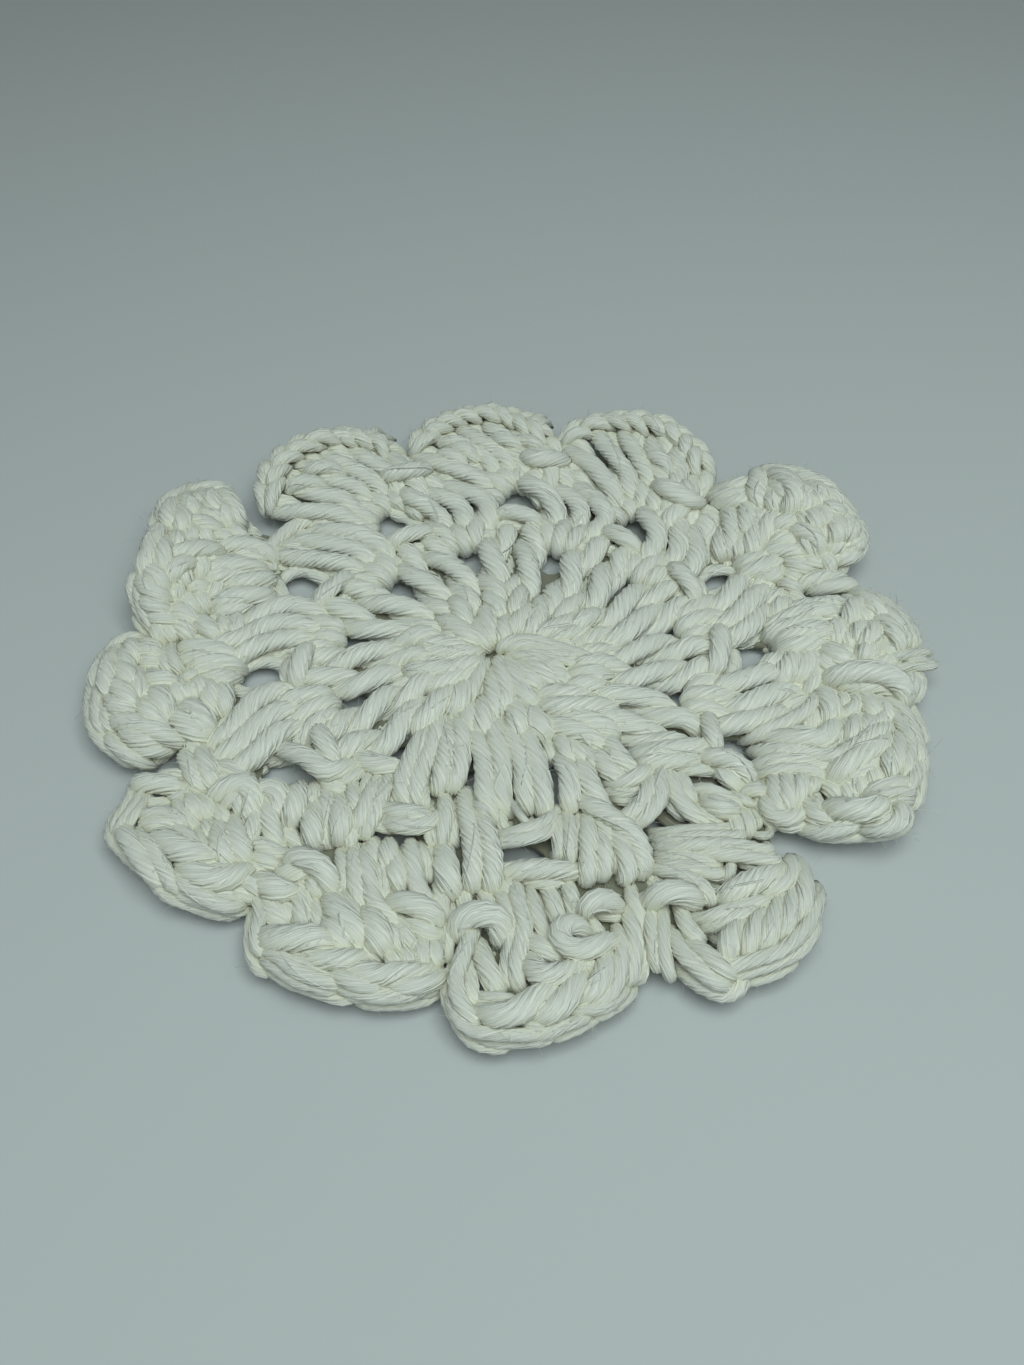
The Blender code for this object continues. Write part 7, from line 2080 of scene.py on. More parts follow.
@dataclass
class NotchLoops:
    """The fat loop that arcs over the first post of each petal.

    Attributes:
        radius: Radius of its crown.
        top: Height of its crown.
        start: Angle from the notch to its start.
        reach: Angle from its start to its end.
        chance: How much both angles vary.
        thick: Its share of the yarn's thickness.
        ends: Share of that thickness left at its ends.
        stops: Its points: how far out of the crown, shares of the reach, and how far below it.
        tail: How far out of the crown, before the start and below the crown its first end lies.
    """

    radius: float = 38.2
    top: float = 5.3
    start: float = -2.0
    reach: float = 10.0
    chance: float = 0.8
    thick: float = 1.12
    ends: tuple[float, float] = (0.55, 0.55)
    stops: Stops = ((1.0, 0.1, 1.0), (0.0, 0.45, 0.0), (0.9, 0.8, 0.5), (3.0, 1.0, 2.2))
    tail: tuple[float, float, float] = (2.4, 0.6, 2.6)

    def work(self, worker: Worker) -> list[Strand]:
        """Works the loops.

        Args:
            worker: Makes the stitches.

        Returns:
            One run for each petal whose yarn doesn't follow the photo.
        """
        runs = []
        for index, petal in enumerate(PETALS):
            if (index + 1) % len(PETALS) in LAID:
                continue
            part = Part.SHELLS_BACK if at_back(petal.notch) else Part.SHELLS_FRONT
            first = petal.notch + self.start + worker.jitter(self.chance)
            reach = self.reach + worker.jitter(self.chance)
            tail_out, tail, tail_drop = self.tail
            points = [LAYOUT.place(self.radius + tail_out, first - tail, self.top - tail_drop)]
            for out, share, drop in self.stops:
                points.append(LAYOUT.place(self.radius + out, first + share * reach, self.top - drop))
            runs.append(worker.strand(part, points, self.thick, self.ends))
        return runs


@dataclass
class Settling:
    """Lets all yarn press on itself, so that no run lies inside another.

    Attributes:
        rounds: How many small moves are made.
        renew: Moves between two searches for neighbours.
        slack: How much farther than touching a search reaches.
        own: Points next to each other on one run that don't press on each other.
        give: Share of two thicknesses that yarn keeps when it is pressed.
        firm: Share of an overlap that one move takes away.
        closest: Least distance that is reckoned with.
        bend: How strongly a run straightens.
        pull: How strongly neighbours on a run go back to their distance.
        hold: How strongly a point stays where it was worked.
        hold_laid: The same for runs that follow the photo.
        shortest: Least length of a step that is reckoned with.
        floor: Share of its radius that a point keeps over the fabric's underside.
        flat: How much wider than high the yarn lies.
    """

    rounds: int = 48
    renew: int = 6
    slack: float = 0.3
    own: int = 3
    give: float = 0.78
    firm: float = 0.42
    closest: float = 0.05
    bend: float = 0.16
    pull: float = 0.25
    hold: float = 0.03
    hold_laid: float = 0.14
    shortest: float = 1e-6
    floor: float = 0.82
    flat: float = 1.35

    def run(self, strands: list[Strand]) -> None:
        """Settles the strands in place.

        Args:
            strands: All runs of yarn.
        """
        points = np.vstack([strand.line for strand in strands])
        radii = np.concatenate([strand.radii() for strand in strands])
        under = np.array([LAYOUT.ground(point) for point in points]) + self.floor * radii
        points[:, 2] *= self.flat
        radii = radii * math.sqrt(self.flat)
        counts = [len(strand.line) for strand in strands]
        owner = np.repeat(np.arange(len(strands)), counts)
        start = points.copy()
        holds = [self.hold_laid if strand.held else self.hold for strand in strands]
        holds = np.repeat(holds, counts)[:, None]
        inner = (owner[:-2] == owner[2:]).nonzero()[0] + 1
        linked = (owner[:-1] == owner[1:]).nonzero()[0]
        rest = np.linalg.norm(points[linked + 1] - points[linked], axis=1)
        pairs = np.zeros((0, 2), int)
        for step in range(self.rounds):
            if step % self.renew == 0:
                pairs = self.neighbours(points, radii, owner)
            points = points + self.pushes(points, radii, pairs)
            straight = 0.5 * (points[inner - 1] + points[inner + 1]) - points[inner]
            points[inner] += self.bend * straight
            self.keep_length(points, linked, rest)
            points += holds * (start - points)
            points[:, 2] = np.maximum(points[:, 2], under * self.flat)
        points[:, 2] /= self.flat
        for strand, line in zip(strands, np.split(points, np.cumsum(counts)[:-1])):
            strand.line = line

    def neighbours(self, points: np.ndarray, radii: np.ndarray, owner: np.ndarray) -> np.ndarray:
        """Finds the pairs of points that may touch.

        Args:
            points: All points.
            radii: The radius at each.
            owner: Which run each belongs to.

        Returns:
            Pairs of indexes, without those next to each other on one run.
        """
        pairs = pairs_within(points, 2.0 * float(radii.max()) + self.slack)
        apart = pairs[:, 1] - pairs[:, 0]
        beside = (owner[pairs[:, 0]] == owner[pairs[:, 1]]) & (apart <= self.own)
        return pairs[(apart > 0) & ~beside]

    def pushes(self, points: np.ndarray, radii: np.ndarray, pairs: np.ndarray) -> np.ndarray:
        """How far each point is pushed by the yarn that it overlaps.

        Args:
            points: All points.
            radii: The radius at each.
            pairs: Pairs that may touch.

        Returns:
            One move for each point.
        """
        first, second = pairs[:, 0], pairs[:, 1]
        apart = points[second] - points[first]
        distance = np.maximum(np.linalg.norm(apart, axis=1), self.closest)
        overlap = (radii[first] + radii[second]) * self.give - distance
        touching = overlap > 0.0
        first, second = first[touching], second[touching]
        push = (self.firm * 0.5 * overlap[touching] / distance[touching])[:, None] * apart[touching]
        count = len(points)
        moves = np.zeros_like(points)
        for axis in range(3):
            away = np.bincount(second, push[:, axis], count)
            moves[:, axis] = away - np.bincount(first, push[:, axis], count)
        weight = np.bincount(first, minlength=count) + np.bincount(second, minlength=count)
        return moves / np.sqrt(np.maximum(weight, 1.0))[:, None]

    def keep_length(self, points: np.ndarray, linked: np.ndarray, rest: np.ndarray) -> None:
        """Pulls neighbours on a run back to their distance.

        Args:
            points: All points, moved in place.
            linked: Index of the first of each two neighbours.
            rest: Their distances when worked.
        """
        step = points[linked + 1] - points[linked]
        length = np.maximum(np.linalg.norm(step, axis=1), self.shortest)
        pull = (self.pull * (length - rest) / length)[:, None] * step
        np.add.at(points, linked, pull)
        np.add.at(points, linked + 1, -pull)


@dataclass
class Skin:
    """The surface of one run of yarn, ring by ring.

    Attributes:
        points: Points of each ring, in millimetres.
        along: Length along the yarn at each point, in centimetres.
        turns: Ply and place across it at each point.
        cover: How hidden each point is, from 0 to 1.
    """

    points: np.ndarray
    along: np.ndarray
    turns: np.ndarray
    cover: np.ndarray


def axes(line: np.ndarray) -> tuple[np.ndarray, np.ndarray, np.ndarray]:
    """Two directions across a line that turn as little as they can.

    Args:
        line: The points of the line.

    Returns:
        For each point, a unit vector to its side and one over it, and how steep the line is.
    """
    ahead = np.gradient(line, axis=0)
    ahead /= np.linalg.norm(ahead, axis=1)[:, None]
    side = np.zeros_like(line)
    first = np.cross(ahead[0], UP)
    if np.linalg.norm(first) < UPRIGHT:
        first = np.cross(ahead[0], (1.0, 0.0, 0.0))
    side[0] = unit(first)
    for index in range(1, len(line)):
        side[index] = unit(side[index - 1] - ahead[index] * np.dot(side[index - 1], ahead[index]))
    return side, np.cross(ahead, side), np.abs(ahead[:, 2])


def tube(line: np.ndarray, radius: float, rng: random.Random, sides: int = 3) -> Skin:
    """Lays a plain skin along a line.

    Args:
        line: Its middle, in millimetres.
        radius: Half its thickness.
        rng: Seeded chance for its place in the fibres' pattern.
        sides: Its number of sides.

    Returns:
        The skin.
    """
    side, over, _ = axes(line)
    angle = math.tau * np.arange(sides) / sides
    way = np.cos(angle)[:, None] * side[:, None] + np.sin(angle)[:, None] * over[:, None]
    along = np.repeat(rng.uniform(0.0, PATTERN_LENGTH) + run_length(line)[:, None], sides, axis=1)
    first = float(rng.randrange(PATTERN_YARNS * PLIES))
    turns = np.tile(first + np.arange(sides) / sides, (len(line), 1))
    return Skin(line[:, None] + radius * way, along / MM_PER_CM, turns, np.zeros((len(line), sides)))


@dataclass
class Crowding:
    """Tells for each place on the yarn how close other yarn lies in front of it.

    Attributes:
        reach: How far other yarn counts, in millimetres.
        near: Distance within which it counts in full.
        closest: Least distance that is reckoned with.
        own: Points next to each other on one run that don't count.
        share: How soon a place is taken as fully hidden.
    """

    reach: float = 3.3
    near: float = 1.9
    closest: float = 0.2
    own: int = 4
    share: float = 0.62

    def look(self, lines: list[np.ndarray]) -> None:
        """Finds the neighbours of every point.

        Args:
            lines: The centre lines of all runs.
        """
        points = np.vstack(lines)
        counts = [len(line) for line in lines]
        owner = np.repeat(np.arange(len(lines)), counts)
        first, second = pairs_within(points, self.reach).T
        apart = (owner[first] != owner[second]) | (np.abs(first - second) > self.own)
        first, second = first[apart], second[apart]
        self.way = points[second] - points[first]
        distance = np.maximum(np.linalg.norm(self.way, axis=1), self.closest)
        self.way /= distance[:, None]
        self.weight = np.clip((self.reach - distance) / (self.reach - self.near), 0.0, 1.0)
        self.starts = np.searchsorted(first, np.arange(len(points) + 1))
        self.firsts = np.concatenate([[0], np.cumsum(counts)])

    def cover(self, run: int, ways: np.ndarray) -> np.ndarray:
        """How hidden each ply of a run is.

        Args:
            run: Which run, in the order of the lines.
            ways: For each point and ply, the unit vector from the run's middle out to the ply.

        Returns:
            For each point and ply, a number from 0, open, to 1, hidden.
        """
        result = np.zeros(ways.shape[:2])
        for index in range(len(ways)):
            low, high = self.starts[self.firsts[run] + index : self.firsts[run] + index + 2]
            facing = np.maximum(ways[index] @ self.way[low:high].T, 0.0) ** 2
            result[index] = facing @ self.weight[low:high]
        return 1.0 - np.exp(-self.share * result)


@dataclass(frozen=True)
class LoosePly:
    """One ply that has worked loose and crosses the others.

    Attributes:
        least: Fewest points that it lies along.
        most: One more than the most.
        lays: Least and most length in which it goes once round the yarn, either way.
        places: Where it may lie over the yarn, as shares of half a turn.
        sunk: Share of the yarn's radius at which its ends lie.
        raised: How much farther out its middle lies.
        thick: Share of the yarn's thickness.
        uneven: Least and most share of that thickness.
    """

    least: int = 4
    most: int = 12
    lays: tuple[float, float] = (14.0, 40.0)
    places: tuple[float, float] = (0.15, 0.85)
    sunk: float = 0.75
    raised: float = 0.22
    thick: float = 0.12
    uneven: tuple[float, float] = (0.8, 1.4)


@dataclass
class YarnMesher:
    """Turns runs of yarn into meshes whose skin follows every ply.

    Attributes:
        fine_step: Step in which a run is read before its points are picked.
        straight_step: Length between two rings of points where a run is straight.
        bend_share: How much of its radius a bend takes to one ring.
        across: Points across one ply.
        uneven: How much the yarn's thickness varies along a run, as a share of it.
        groove: Depth of the groove between two plies, as a share of the radius.
        groove_uneven: How much that depth varies, as a share of it.
        groove_light: Share of a groove's openness that is kept, so that grooves between plies take more
            painted crevice light.
        bulge: How far a ply stands out or lies back, as a share of the radius.
        wander: How far a groove strays, as a share of a ply's width.
        knot_every: Points of a run between two chance values.
        lay: Length in which a ply goes once round, in the sense of an S.
        lays: Least and most share of that length.
        wide: How much wider than round the yarn lies.
        low: How much lower than round the yarn lies.
        thin: Share of its thickness that yarn keeps where it is pressed below.
        swell: How much thicker it is where it lies open on top.
        thin_to: Height up to which it is thin.
        swell_over: Height over which it then swells.
        table: Lowest height of the yarn's skin, just over the table.
        ply: The loose plies.
        rng: Seeded chance for the plies.
        crowding: Tells what yarn hides what.
    """

    fine_step: float = 0.2
    straight_step: float = 1.55
    bend_share: float = 0.51
    across: int = 3
    uneven: float = 0.05
    groove: float = 0.13
    groove_uneven: float = 0.8
    groove_light: float = 0.72
    bulge: float = 0.07
    wander: float = 0.34
    knot_every: int = 4
    lay: float = 13.0
    lays: tuple[float, float] = (0.75, 1.35)
    wide: float = 1.22
    low: float = 0.84
    thin: float = 0.92
    swell: float = 0.13
    thin_to: float = 1.6
    swell_over: float = 2.2
    table: float = 0.03
    ply: LoosePly = field(default_factory=LoosePly)
    rng: random.Random = field(default_factory=lambda: random.Random(SEED + 1))
    crowding: Crowding = field(default_factory=Crowding)

    def prepare(self, strands: list[Strand]) -> None:
        """Reads every run at the steps that its bends need, and finds what hides what.

        Args:
            strands: All runs, in the order in which they are meshed.
        """
        for strand in strands:
            strand.line = self.by_bend(smooth_line(strand.line, self.fine_step))
        self.crowding.look([strand.line for strand in strands])

    def by_bend(self, fine: np.ndarray) -> np.ndarray:
        """Picks points from a fine line, closer together where it bends.

        Args:
            fine: Points close together.

        Returns:
            The points to keep.
        """
        step = np.linalg.norm(np.diff(fine, axis=0), axis=1)
        way = np.diff(fine, axis=0) / step[:, None]
        turn = np.zeros(len(step))
        turn[1:] = np.linalg.norm(np.diff(way, axis=0), axis=1)
        cost = step / self.straight_step + turn / (2.0 * self.bend_share)
        return read_evenly(fine, np.concatenate([[0.0], np.cumsum(cost)]), 1.0)

    def pressed(self, line: np.ndarray) -> np.ndarray:
        """How much yarn swells where it lies open on top, and thins where it is pressed below.

        Args:
            line: Points in millimetres.

        Returns:
            A factor near 1 for each point.
        """
        height = np.array([point[2] - LAYOUT.ground(point) for point in line])
        return self.thin + self.swell * np.clip((height - self.thin_to) / self.swell_over, 0.0, 1.0)

    def flatten(self, offset: np.ndarray, steep: np.ndarray) -> None:
        """Widens and lowers the yarn where it lies level.

        Args:
            offset: From the run's middle to its skin, changed in place.
            steep: How steep the run is at each point.
        """
        level = 1.0 - steep.reshape(-1, *[1] * (offset.ndim - 2))
        offset[..., :2] *= (1.0 + (self.wide - 1.0) * level)[..., None]
        offset[..., 2] *= 1.0 + (self.low - 1.0) * level

    def slow(self, count: int, amount: float) -> np.ndarray:
        """Slow chance changes along a line.

        Args:
            count: Number of points.
            amount: The most that a value may be, either way.

        Returns:
            One value for each point.
        """
        knots = max(count // self.knot_every, 1) + 2
        values = [self.rng.uniform(-amount, amount) for _ in range(knots)]
        return np.interp(np.linspace(0.0, knots - 1.0, count), np.arange(knots), values)

    def skin(self, strand: Strand, number: int) -> Skin:
        """Lays the yarn's skin over its plies.

        Args:
            strand: The run.
            number: Its place in the order of all.

        Returns:
            The skin's points, and what the material needs to know of each.
        """
        line = strand.line
        count = len(line)
        run = run_length(line)
        side, over, steep = axes(line)
        radius = strand.radii() * (1.0 + self.slow(count, self.uneven)) * self.pressed(line)
        phase = self.rng.uniform(0.0, 1.0)
        lay = self.lay * self.rng.uniform(*self.lays)
        borders = [ply + self.slow(count, self.wander) for ply in range(PLIES)]
        borders.append(borders[0] + PLIES)
        grooves = [self.groove * (1.0 + self.slow(count, self.groove_uneven)) for _ in range(PLIES)]
        bulges = [self.slow(count, self.bulge) for _ in range(PLIES)]
        ring = PLIES * self.across
        turns = np.zeros((count, ring))
        outs = np.zeros((count, ring))
        for index in range(ring):
            ply, step = divmod(index, self.across)
            share = step / self.across
            turns[:, index] = borders[ply] * (1.0 - share) + borders[ply + 1] * share
            outs[:, index] = 1.0 - grooves[ply] if step == 0 else 1.0 + bulges[ply]
        angle = math.tau * (phase - run[:, None] / lay + turns / PLIES)
        way = np.cos(angle)[..., None] * side[:, None] + np.sin(angle)[..., None] * over[:, None]
        offset = way * (radius[:, None] * outs)[..., None]
        self.flatten(offset, steep)
        # The cover, how hidden each ply is, mixes in the painted crevice light in the material; the grooves
        # get more of it.
        cover = self.crowding.cover(number, way)
        cover[:, :: self.across] = 1.0 - (1.0 - cover[:, :: self.across]) * self.groove_light
        first = float(self.rng.randrange(PATTERN_YARNS)) * PLIES
        along = np.repeat(self.rng.uniform(0.0, PATTERN_LENGTH) + run[:, None], ring, axis=1)
        return Skin(line[:, None] + offset, along / MM_PER_CM, first + turns, cover)

    def loose(self, strand: Strand) -> Skin:
        """Lays one ply that has worked loose and crosses the others.

        Args:
            strand: The run that it belongs to.

        Returns:
            The thin ply's skin.
        """
        ply = self.ply
        count = len(strand.line)
        start = self.rng.randrange(0, max(count - ply.least - 1, 1))
        end = min(start + self.rng.randrange(ply.least, ply.most), count)
        line = strand.line[start:end]
        run = run_length(line)
        side, over, steep = axes(line)
        radius = strand.radii()[start:end] * self.pressed(line)
        lay = self.rng.choice((-1.0, 1.0)) * self.rng.uniform(*ply.lays)
        angle = self.rng.uniform(*ply.places) * math.pi + math.tau * (run - 0.5 * run[-1]) / lay
        raised = np.sin(np.pi * np.linspace(0.0, 1.0, len(line))) ** 0.5
        way = np.cos(angle)[:, None] * side + np.sin(angle)[:, None] * over
        way *= np.where((over[:, 2] < 0.0)[:, None], -1.0, 1.0)
        offset = way * (radius * (ply.sunk + ply.raised * raised))[:, None]
        self.flatten(offset, steep)
        return tube(line + offset, ply.thick * strand.radius * self.rng.uniform(*ply.uneven), self.rng)

    def sweep(self, name: str, skins: list[Skin]) -> bpy.types.Mesh:
        """Sweeps plain tubes along the middles of some skins.

        Args:
            name: The mesh's name.
            skins: The skins, all with the same number of points in a ring.

        Returns:
            The mesh, with its faces ring by ring and its UV map.
        """
        section = bpy.data.curves.new("section", "CURVE")
        section.dimensions = "2D"
        sides = skins[0].points.shape[1]
        outline = section.splines.new("POLY")
        outline.points.add(sides - 1)
        outline.use_cyclic_u = True
        for index in range(sides):
            angle = -math.tau * index / sides
            outline.points[index].co = (math.cos(angle), math.sin(angle), 0.0, 1.0)
        bevel = bpy.data.objects.new("section", section)
        curve = bpy.data.curves.new(name, "CURVE")
        curve.dimensions = "3D"
        curve.bevel_mode = "OBJECT"
        curve.bevel_object = bevel
        for skin in skins:
            spline = curve.splines.new("POLY")
            middle = skin.points.mean(axis=1)
            spline.points.add(len(middle) - 1)
            flat = np.ones((len(middle), 4), np.float32)
            flat[:, :3] = middle * MM
            spline.points.foreach_set("co", flat.ravel())
            spline.points.foreach_set("radius", np.full(len(middle), MM, np.float32))
        holder = bpy.data.objects.new(name, curve)
        for made in (bevel, holder):
            bpy.context.scene.collection.objects.link(made)
        graph = bpy.context.evaluated_depsgraph_get()
        mesh = bpy.data.meshes.new_from_object(holder.evaluated_get(graph))
        for made in (bevel, holder):
            bpy.data.objects.remove(made)
        mesh.name = name
        return mesh

    def dress(self, mesh: bpy.types.Mesh, skins: list[Skin]) -> None:
        """Moves a swept mesh onto its skins, closes its ends and gives it UV map and cover.

        Args:
            mesh: The mesh of plain tubes, ring by ring.
            skins: The skins, in the mesh's order.
        """
        sides = skins[0].points.shape[1]
        points = np.concatenate([skin.points.reshape(-1, 3) for skin in skins])
        points[:, 2] = np.maximum(points[:, 2], self.table)
        along = np.concatenate([skin.along.ravel() for skin in skins])
        turns = np.concatenate([skin.turns.ravel() for skin in skins])
        cover = np.concatenate([skin.cover.ravel() for skin in skins])
        mesh.vertices.foreach_set("co", (points * MM).astype(np.float32).ravel())
        loops = np.empty(len(mesh.loops), int)
        mesh.loops.foreach_get("vertex_index", loops)
        corners = len(mesh.loops) // len(mesh.polygons)
        face = np.repeat(np.arange(len(mesh.polygons)), corners)
        side = loops % sides
        widest = np.zeros(len(mesh.polygons), int)
        np.maximum.at(widest, face, side)
        plies = PLIES if sides == PLIES * self.across else 1
        last = (widest[face] == sides - 1) & (side == 0)
        uv = np.stack([along[loops], turns[loops] + np.where(last, plies, 0)], axis=1)
        layer = mesh.uv_layers[0] if mesh.uv_layers else mesh.uv_layers.new(name="UVMap")
        layer.data.foreach_set("uv", uv.ravel().astype(np.float32))
        # The cover attribute carries the painted crevice light and shade to the material.
        attribute = mesh.attributes.new("cover", "FLOAT", "POINT")
        attribute.data.foreach_set("value", cover.astype(np.float32))
        solid = bmesh.new()
        solid.from_mesh(mesh)
        bmesh.ops.holes_fill(solid, edges=[edge for edge in solid.edges if edge.is_boundary], sides=0)
        solid.to_mesh(mesh)
        solid.free()
        mesh.polygons.foreach_set("use_smooth", np.ones(len(mesh.polygons), bool))
        mesh.update()

    def piece(self, name: str, skins: list[Skin]) -> bpy.types.Object:
        """Makes one mesh of some skins.

        Args:
            name: The piece's name.
            skins: The skins, all with the same number of points in a ring.

        Returns:
            A mesh object at the origin, with a UV map and a cover attribute.
        """
        mesh = self.sweep(name, skins)
        self.dress(mesh, skins)
        piece = bpy.data.objects.new(name, mesh)
        bpy.context.scene.collection.objects.link(piece)
        return piece


@dataclass
class Fuzz:
    """Short single fibres that stand off the yarn.

    Attributes:
        count: Number of fibres.
        long: Length of the longest.
        shortest: Share of that length that the shortest has.
        thin: Half a fibre's thickness.
        rooted: How deep a fibre's root lies in the yarn.
        points: Points along a fibre.
        out: Least and most share of a fibre's way that goes straight out.
        lean: How much of its way goes where chance takes it.
        curl: How much it bends.
        hidden: Cover from which a place grows no fibre.
        lowest: Height below which a place grows none.
        table: Lowest height of a fibre's middle.
        rng: Seeded chance.
    """

    count: int = 3200
    long: float = 1.5
    shortest: float = 0.3
    thin: float = 0.02
    rooted: float = 0.1
    points: int = 4
    out: tuple[float, float] = (0.3, 1.1)
    lean: float = 0.7
    curl: float = 0.5
    hidden: float = 0.6
    lowest: float = 1.5
    table: float = 0.05
    rng: random.Random = field(default_factory=lambda: random.Random(SEED + 2))

    def grow(self, skins: Sequence[Skin]) -> list[Skin]:
        """Grows fibres from open places of the yarn.

        Args:
            skins: The yarn's skins.

        Returns:
            A thin skin for each fibre.
        """
        points = np.concatenate([skin.points.reshape(-1, 3) for skin in skins])
        middles = np.concatenate([
            np.repeat(skin.points.mean(axis=1), skin.points.shape[1], axis=0) for skin in skins
        ])
        cover = np.concatenate([skin.cover.ravel() for skin in skins])
        open_places = np.flatnonzero((cover < self.hidden) & (points[:, 2] > self.lowest))
        steps = np.linspace(0.0, 1.0, self.points)[:, None]
        fibres = []
        for _ in range(self.count):
            place = open_places[self.rng.randrange(len(open_places))]
            root = points[place]
            out = unit(root - middles[place])
            lean = np.array([self.rng.gauss(0.0, 1.0) for _ in range(3)])
            bend = np.array([self.rng.gauss(0.0, self.curl) for _ in range(3)])
            way = unit(out * self.rng.uniform(*self.out) + self.lean * lean)
            length = self.long * self.rng.uniform(self.shortest, 1.0)
            line = root - self.rooted * out + length * (way * steps + bend * steps**2)
            line[:, 2] = np.maximum(line[:, 2], self.table)
            fibres.append(tube(line, self.thin, self.rng))
        return fibres


@dataclass
class NodeWriter:
    """Adds nodes to a tree with short calls.

    Attributes:
        tree: The node tree.
        noise_roughness: Roughness of all its noise.
    """

    tree: bpy.types.NodeTree
    noise_roughness: float = 0.6

    def math(
        self, operation: str, first: bpy.types.NodeSocket | float, second: bpy.types.NodeSocket | float = 0.0
    ) -> bpy.types.NodeSocket:
        """Adds a Math node.

        Args:
            operation: Its operation.
            first: Its first input.
            second: Its second input.

        Returns:
            Its output.
        """
        node = self.tree.nodes.new("ShaderNodeMath")
        node.operation = operation
        for index, value in enumerate((first, second)):
            if isinstance(value, bpy.types.NodeSocket):
                self.tree.links.new(value, node.inputs[index])
            else:
                node.inputs[index].default_value = value
        return node.outputs["Value"]

    def noise(self, place: bpy.types.NodeSocket, scale: Colour, detail: float) -> bpy.types.NodeSocket:
        """Adds a Noise Texture node behind a Mapping node.

        Args:
            place: Where it is read.
            scale: How fine it is along each axis.
            detail: Its detail.

        Returns:
            Its value.
        """
        stretch = self.tree.nodes.new("ShaderNodeMapping")
        stretch.inputs["Scale"].default_value = scale
        self.tree.links.new(place, stretch.inputs["Vector"])
        texture = self.tree.nodes.new("ShaderNodeTexNoise")
        texture.inputs["Scale"].default_value = 1.0
        texture.inputs["Detail"].default_value = detail
        texture.inputs["Roughness"].default_value = self.noise_roughness
        self.tree.links.new(stretch.outputs["Vector"], texture.inputs["Vector"])
        return texture.outputs["Fac"]


@dataclass(frozen=True)
class FibrePattern:
    """The shared node group that draws threads and fibres along the yarn, with painted shade in their low
    places.

    Attributes:
        threads: Threads across one ply.
        stray: How far the threads stray, in threads.
        stray_scale: How fine that straying is along and across the yarn.
        stray_detail: Its detail.
        streak_scale: How fine the fibres are along and across the yarn.
        streak_detail: Their detail.
        thread_height: How much the threads add to the height.
        streak_height: How much the fibres add to it.
        ply_tone: How much the plies' tones differ.
        painted_groove_shade: Painted shade of the lowest places of the fibres' relief.
        painted_shade_to: Height up to which that painted shade is full.
    """

    threads: float = 2.0
    stray: float = 3.0
    stray_scale: tuple[float, float, float] = (1.6, 0.9, 1.0)
    stray_detail: float = 2.0
    streak_scale: tuple[float, float, float] = (5.0, 8.0, 1.0)
    streak_detail: float = 3.0
    thread_height: float = 0.55
    streak_height: float = 0.9
    ply_tone: float = 0.22
    painted_groove_shade: Colour = (0.88, 0.88, 0.87)
    painted_shade_to: float = 0.3

    def build(self) -> bpy.types.NodeTree:
        """Builds the group.

        Returns:
            A group with the input Along, a UV vector whose U runs along the yarn in
            centimetres and whose V counts its plies, and the outputs Height and Shade. Shade is
            the plies' own tones with painted shade in the relief's low places.
        """
        group = bpy.data.node_groups.new("cotton_fibres", "ShaderNodeTree")
        group.interface.new_socket("Along", in_out="INPUT", socket_type="NodeSocketVector")
        group.interface.new_socket("Height", in_out="OUTPUT", socket_type="NodeSocketFloat")
        group.interface.new_socket("Shade", in_out="OUTPUT", socket_type="NodeSocketColor")
        write = NodeWriter(group)
        source = group.nodes.new("NodeGroupInput").outputs["Along"]
        sink = group.nodes.new("NodeGroupOutput")
        split = group.nodes.new("ShaderNodeSeparateXYZ")
        group.links.new(source, split.inputs["Vector"])
        plies = split.outputs["Y"]
        stray = write.math("MULTIPLY", write.noise(source, self.stray_scale, self.stray_detail), self.stray)
        strayed = write.math("ADD", write.math("MULTIPLY", plies, self.threads), stray)
        thread = write.math("ABSOLUTE", write.math("SINE", write.math("MULTIPLY", strayed, math.pi)))
        streak = write.noise(source, self.streak_scale, self.streak_detail)
        threads = write.math("MULTIPLY", thread, self.thread_height)
        height = write.math("ADD", threads, write.math("MULTIPLY", streak, self.streak_height))
        group.links.new(height, sink.inputs["Height"])
        own = group.nodes.new("ShaderNodeTexWhiteNoise")
        own.noise_dimensions = "1D"
        group.links.new(write.math("FLOOR", plies), own.inputs["W"])
        # The plies' own tones differ at random; the relief's height is added, so its low places take the
        # painted groove shade of the ramp.
        tone = write.math("ADD", write.math("MULTIPLY", own.outputs["Value"], self.ply_tone), height)
        ramp = group.nodes.new("ShaderNodeValToRGB")
        low, high = ramp.color_ramp.elements
        low.position, low.color = self.painted_shade_to, (*self.painted_groove_shade, 1.0)
        high.position, high.color = 1.0, (1.0, 1.0, 1.0, 1.0)
        group.links.new(tone, ramp.inputs["Fac"])
        group.links.new(ramp.outputs["Color"], sink.inputs["Shade"])
        return group


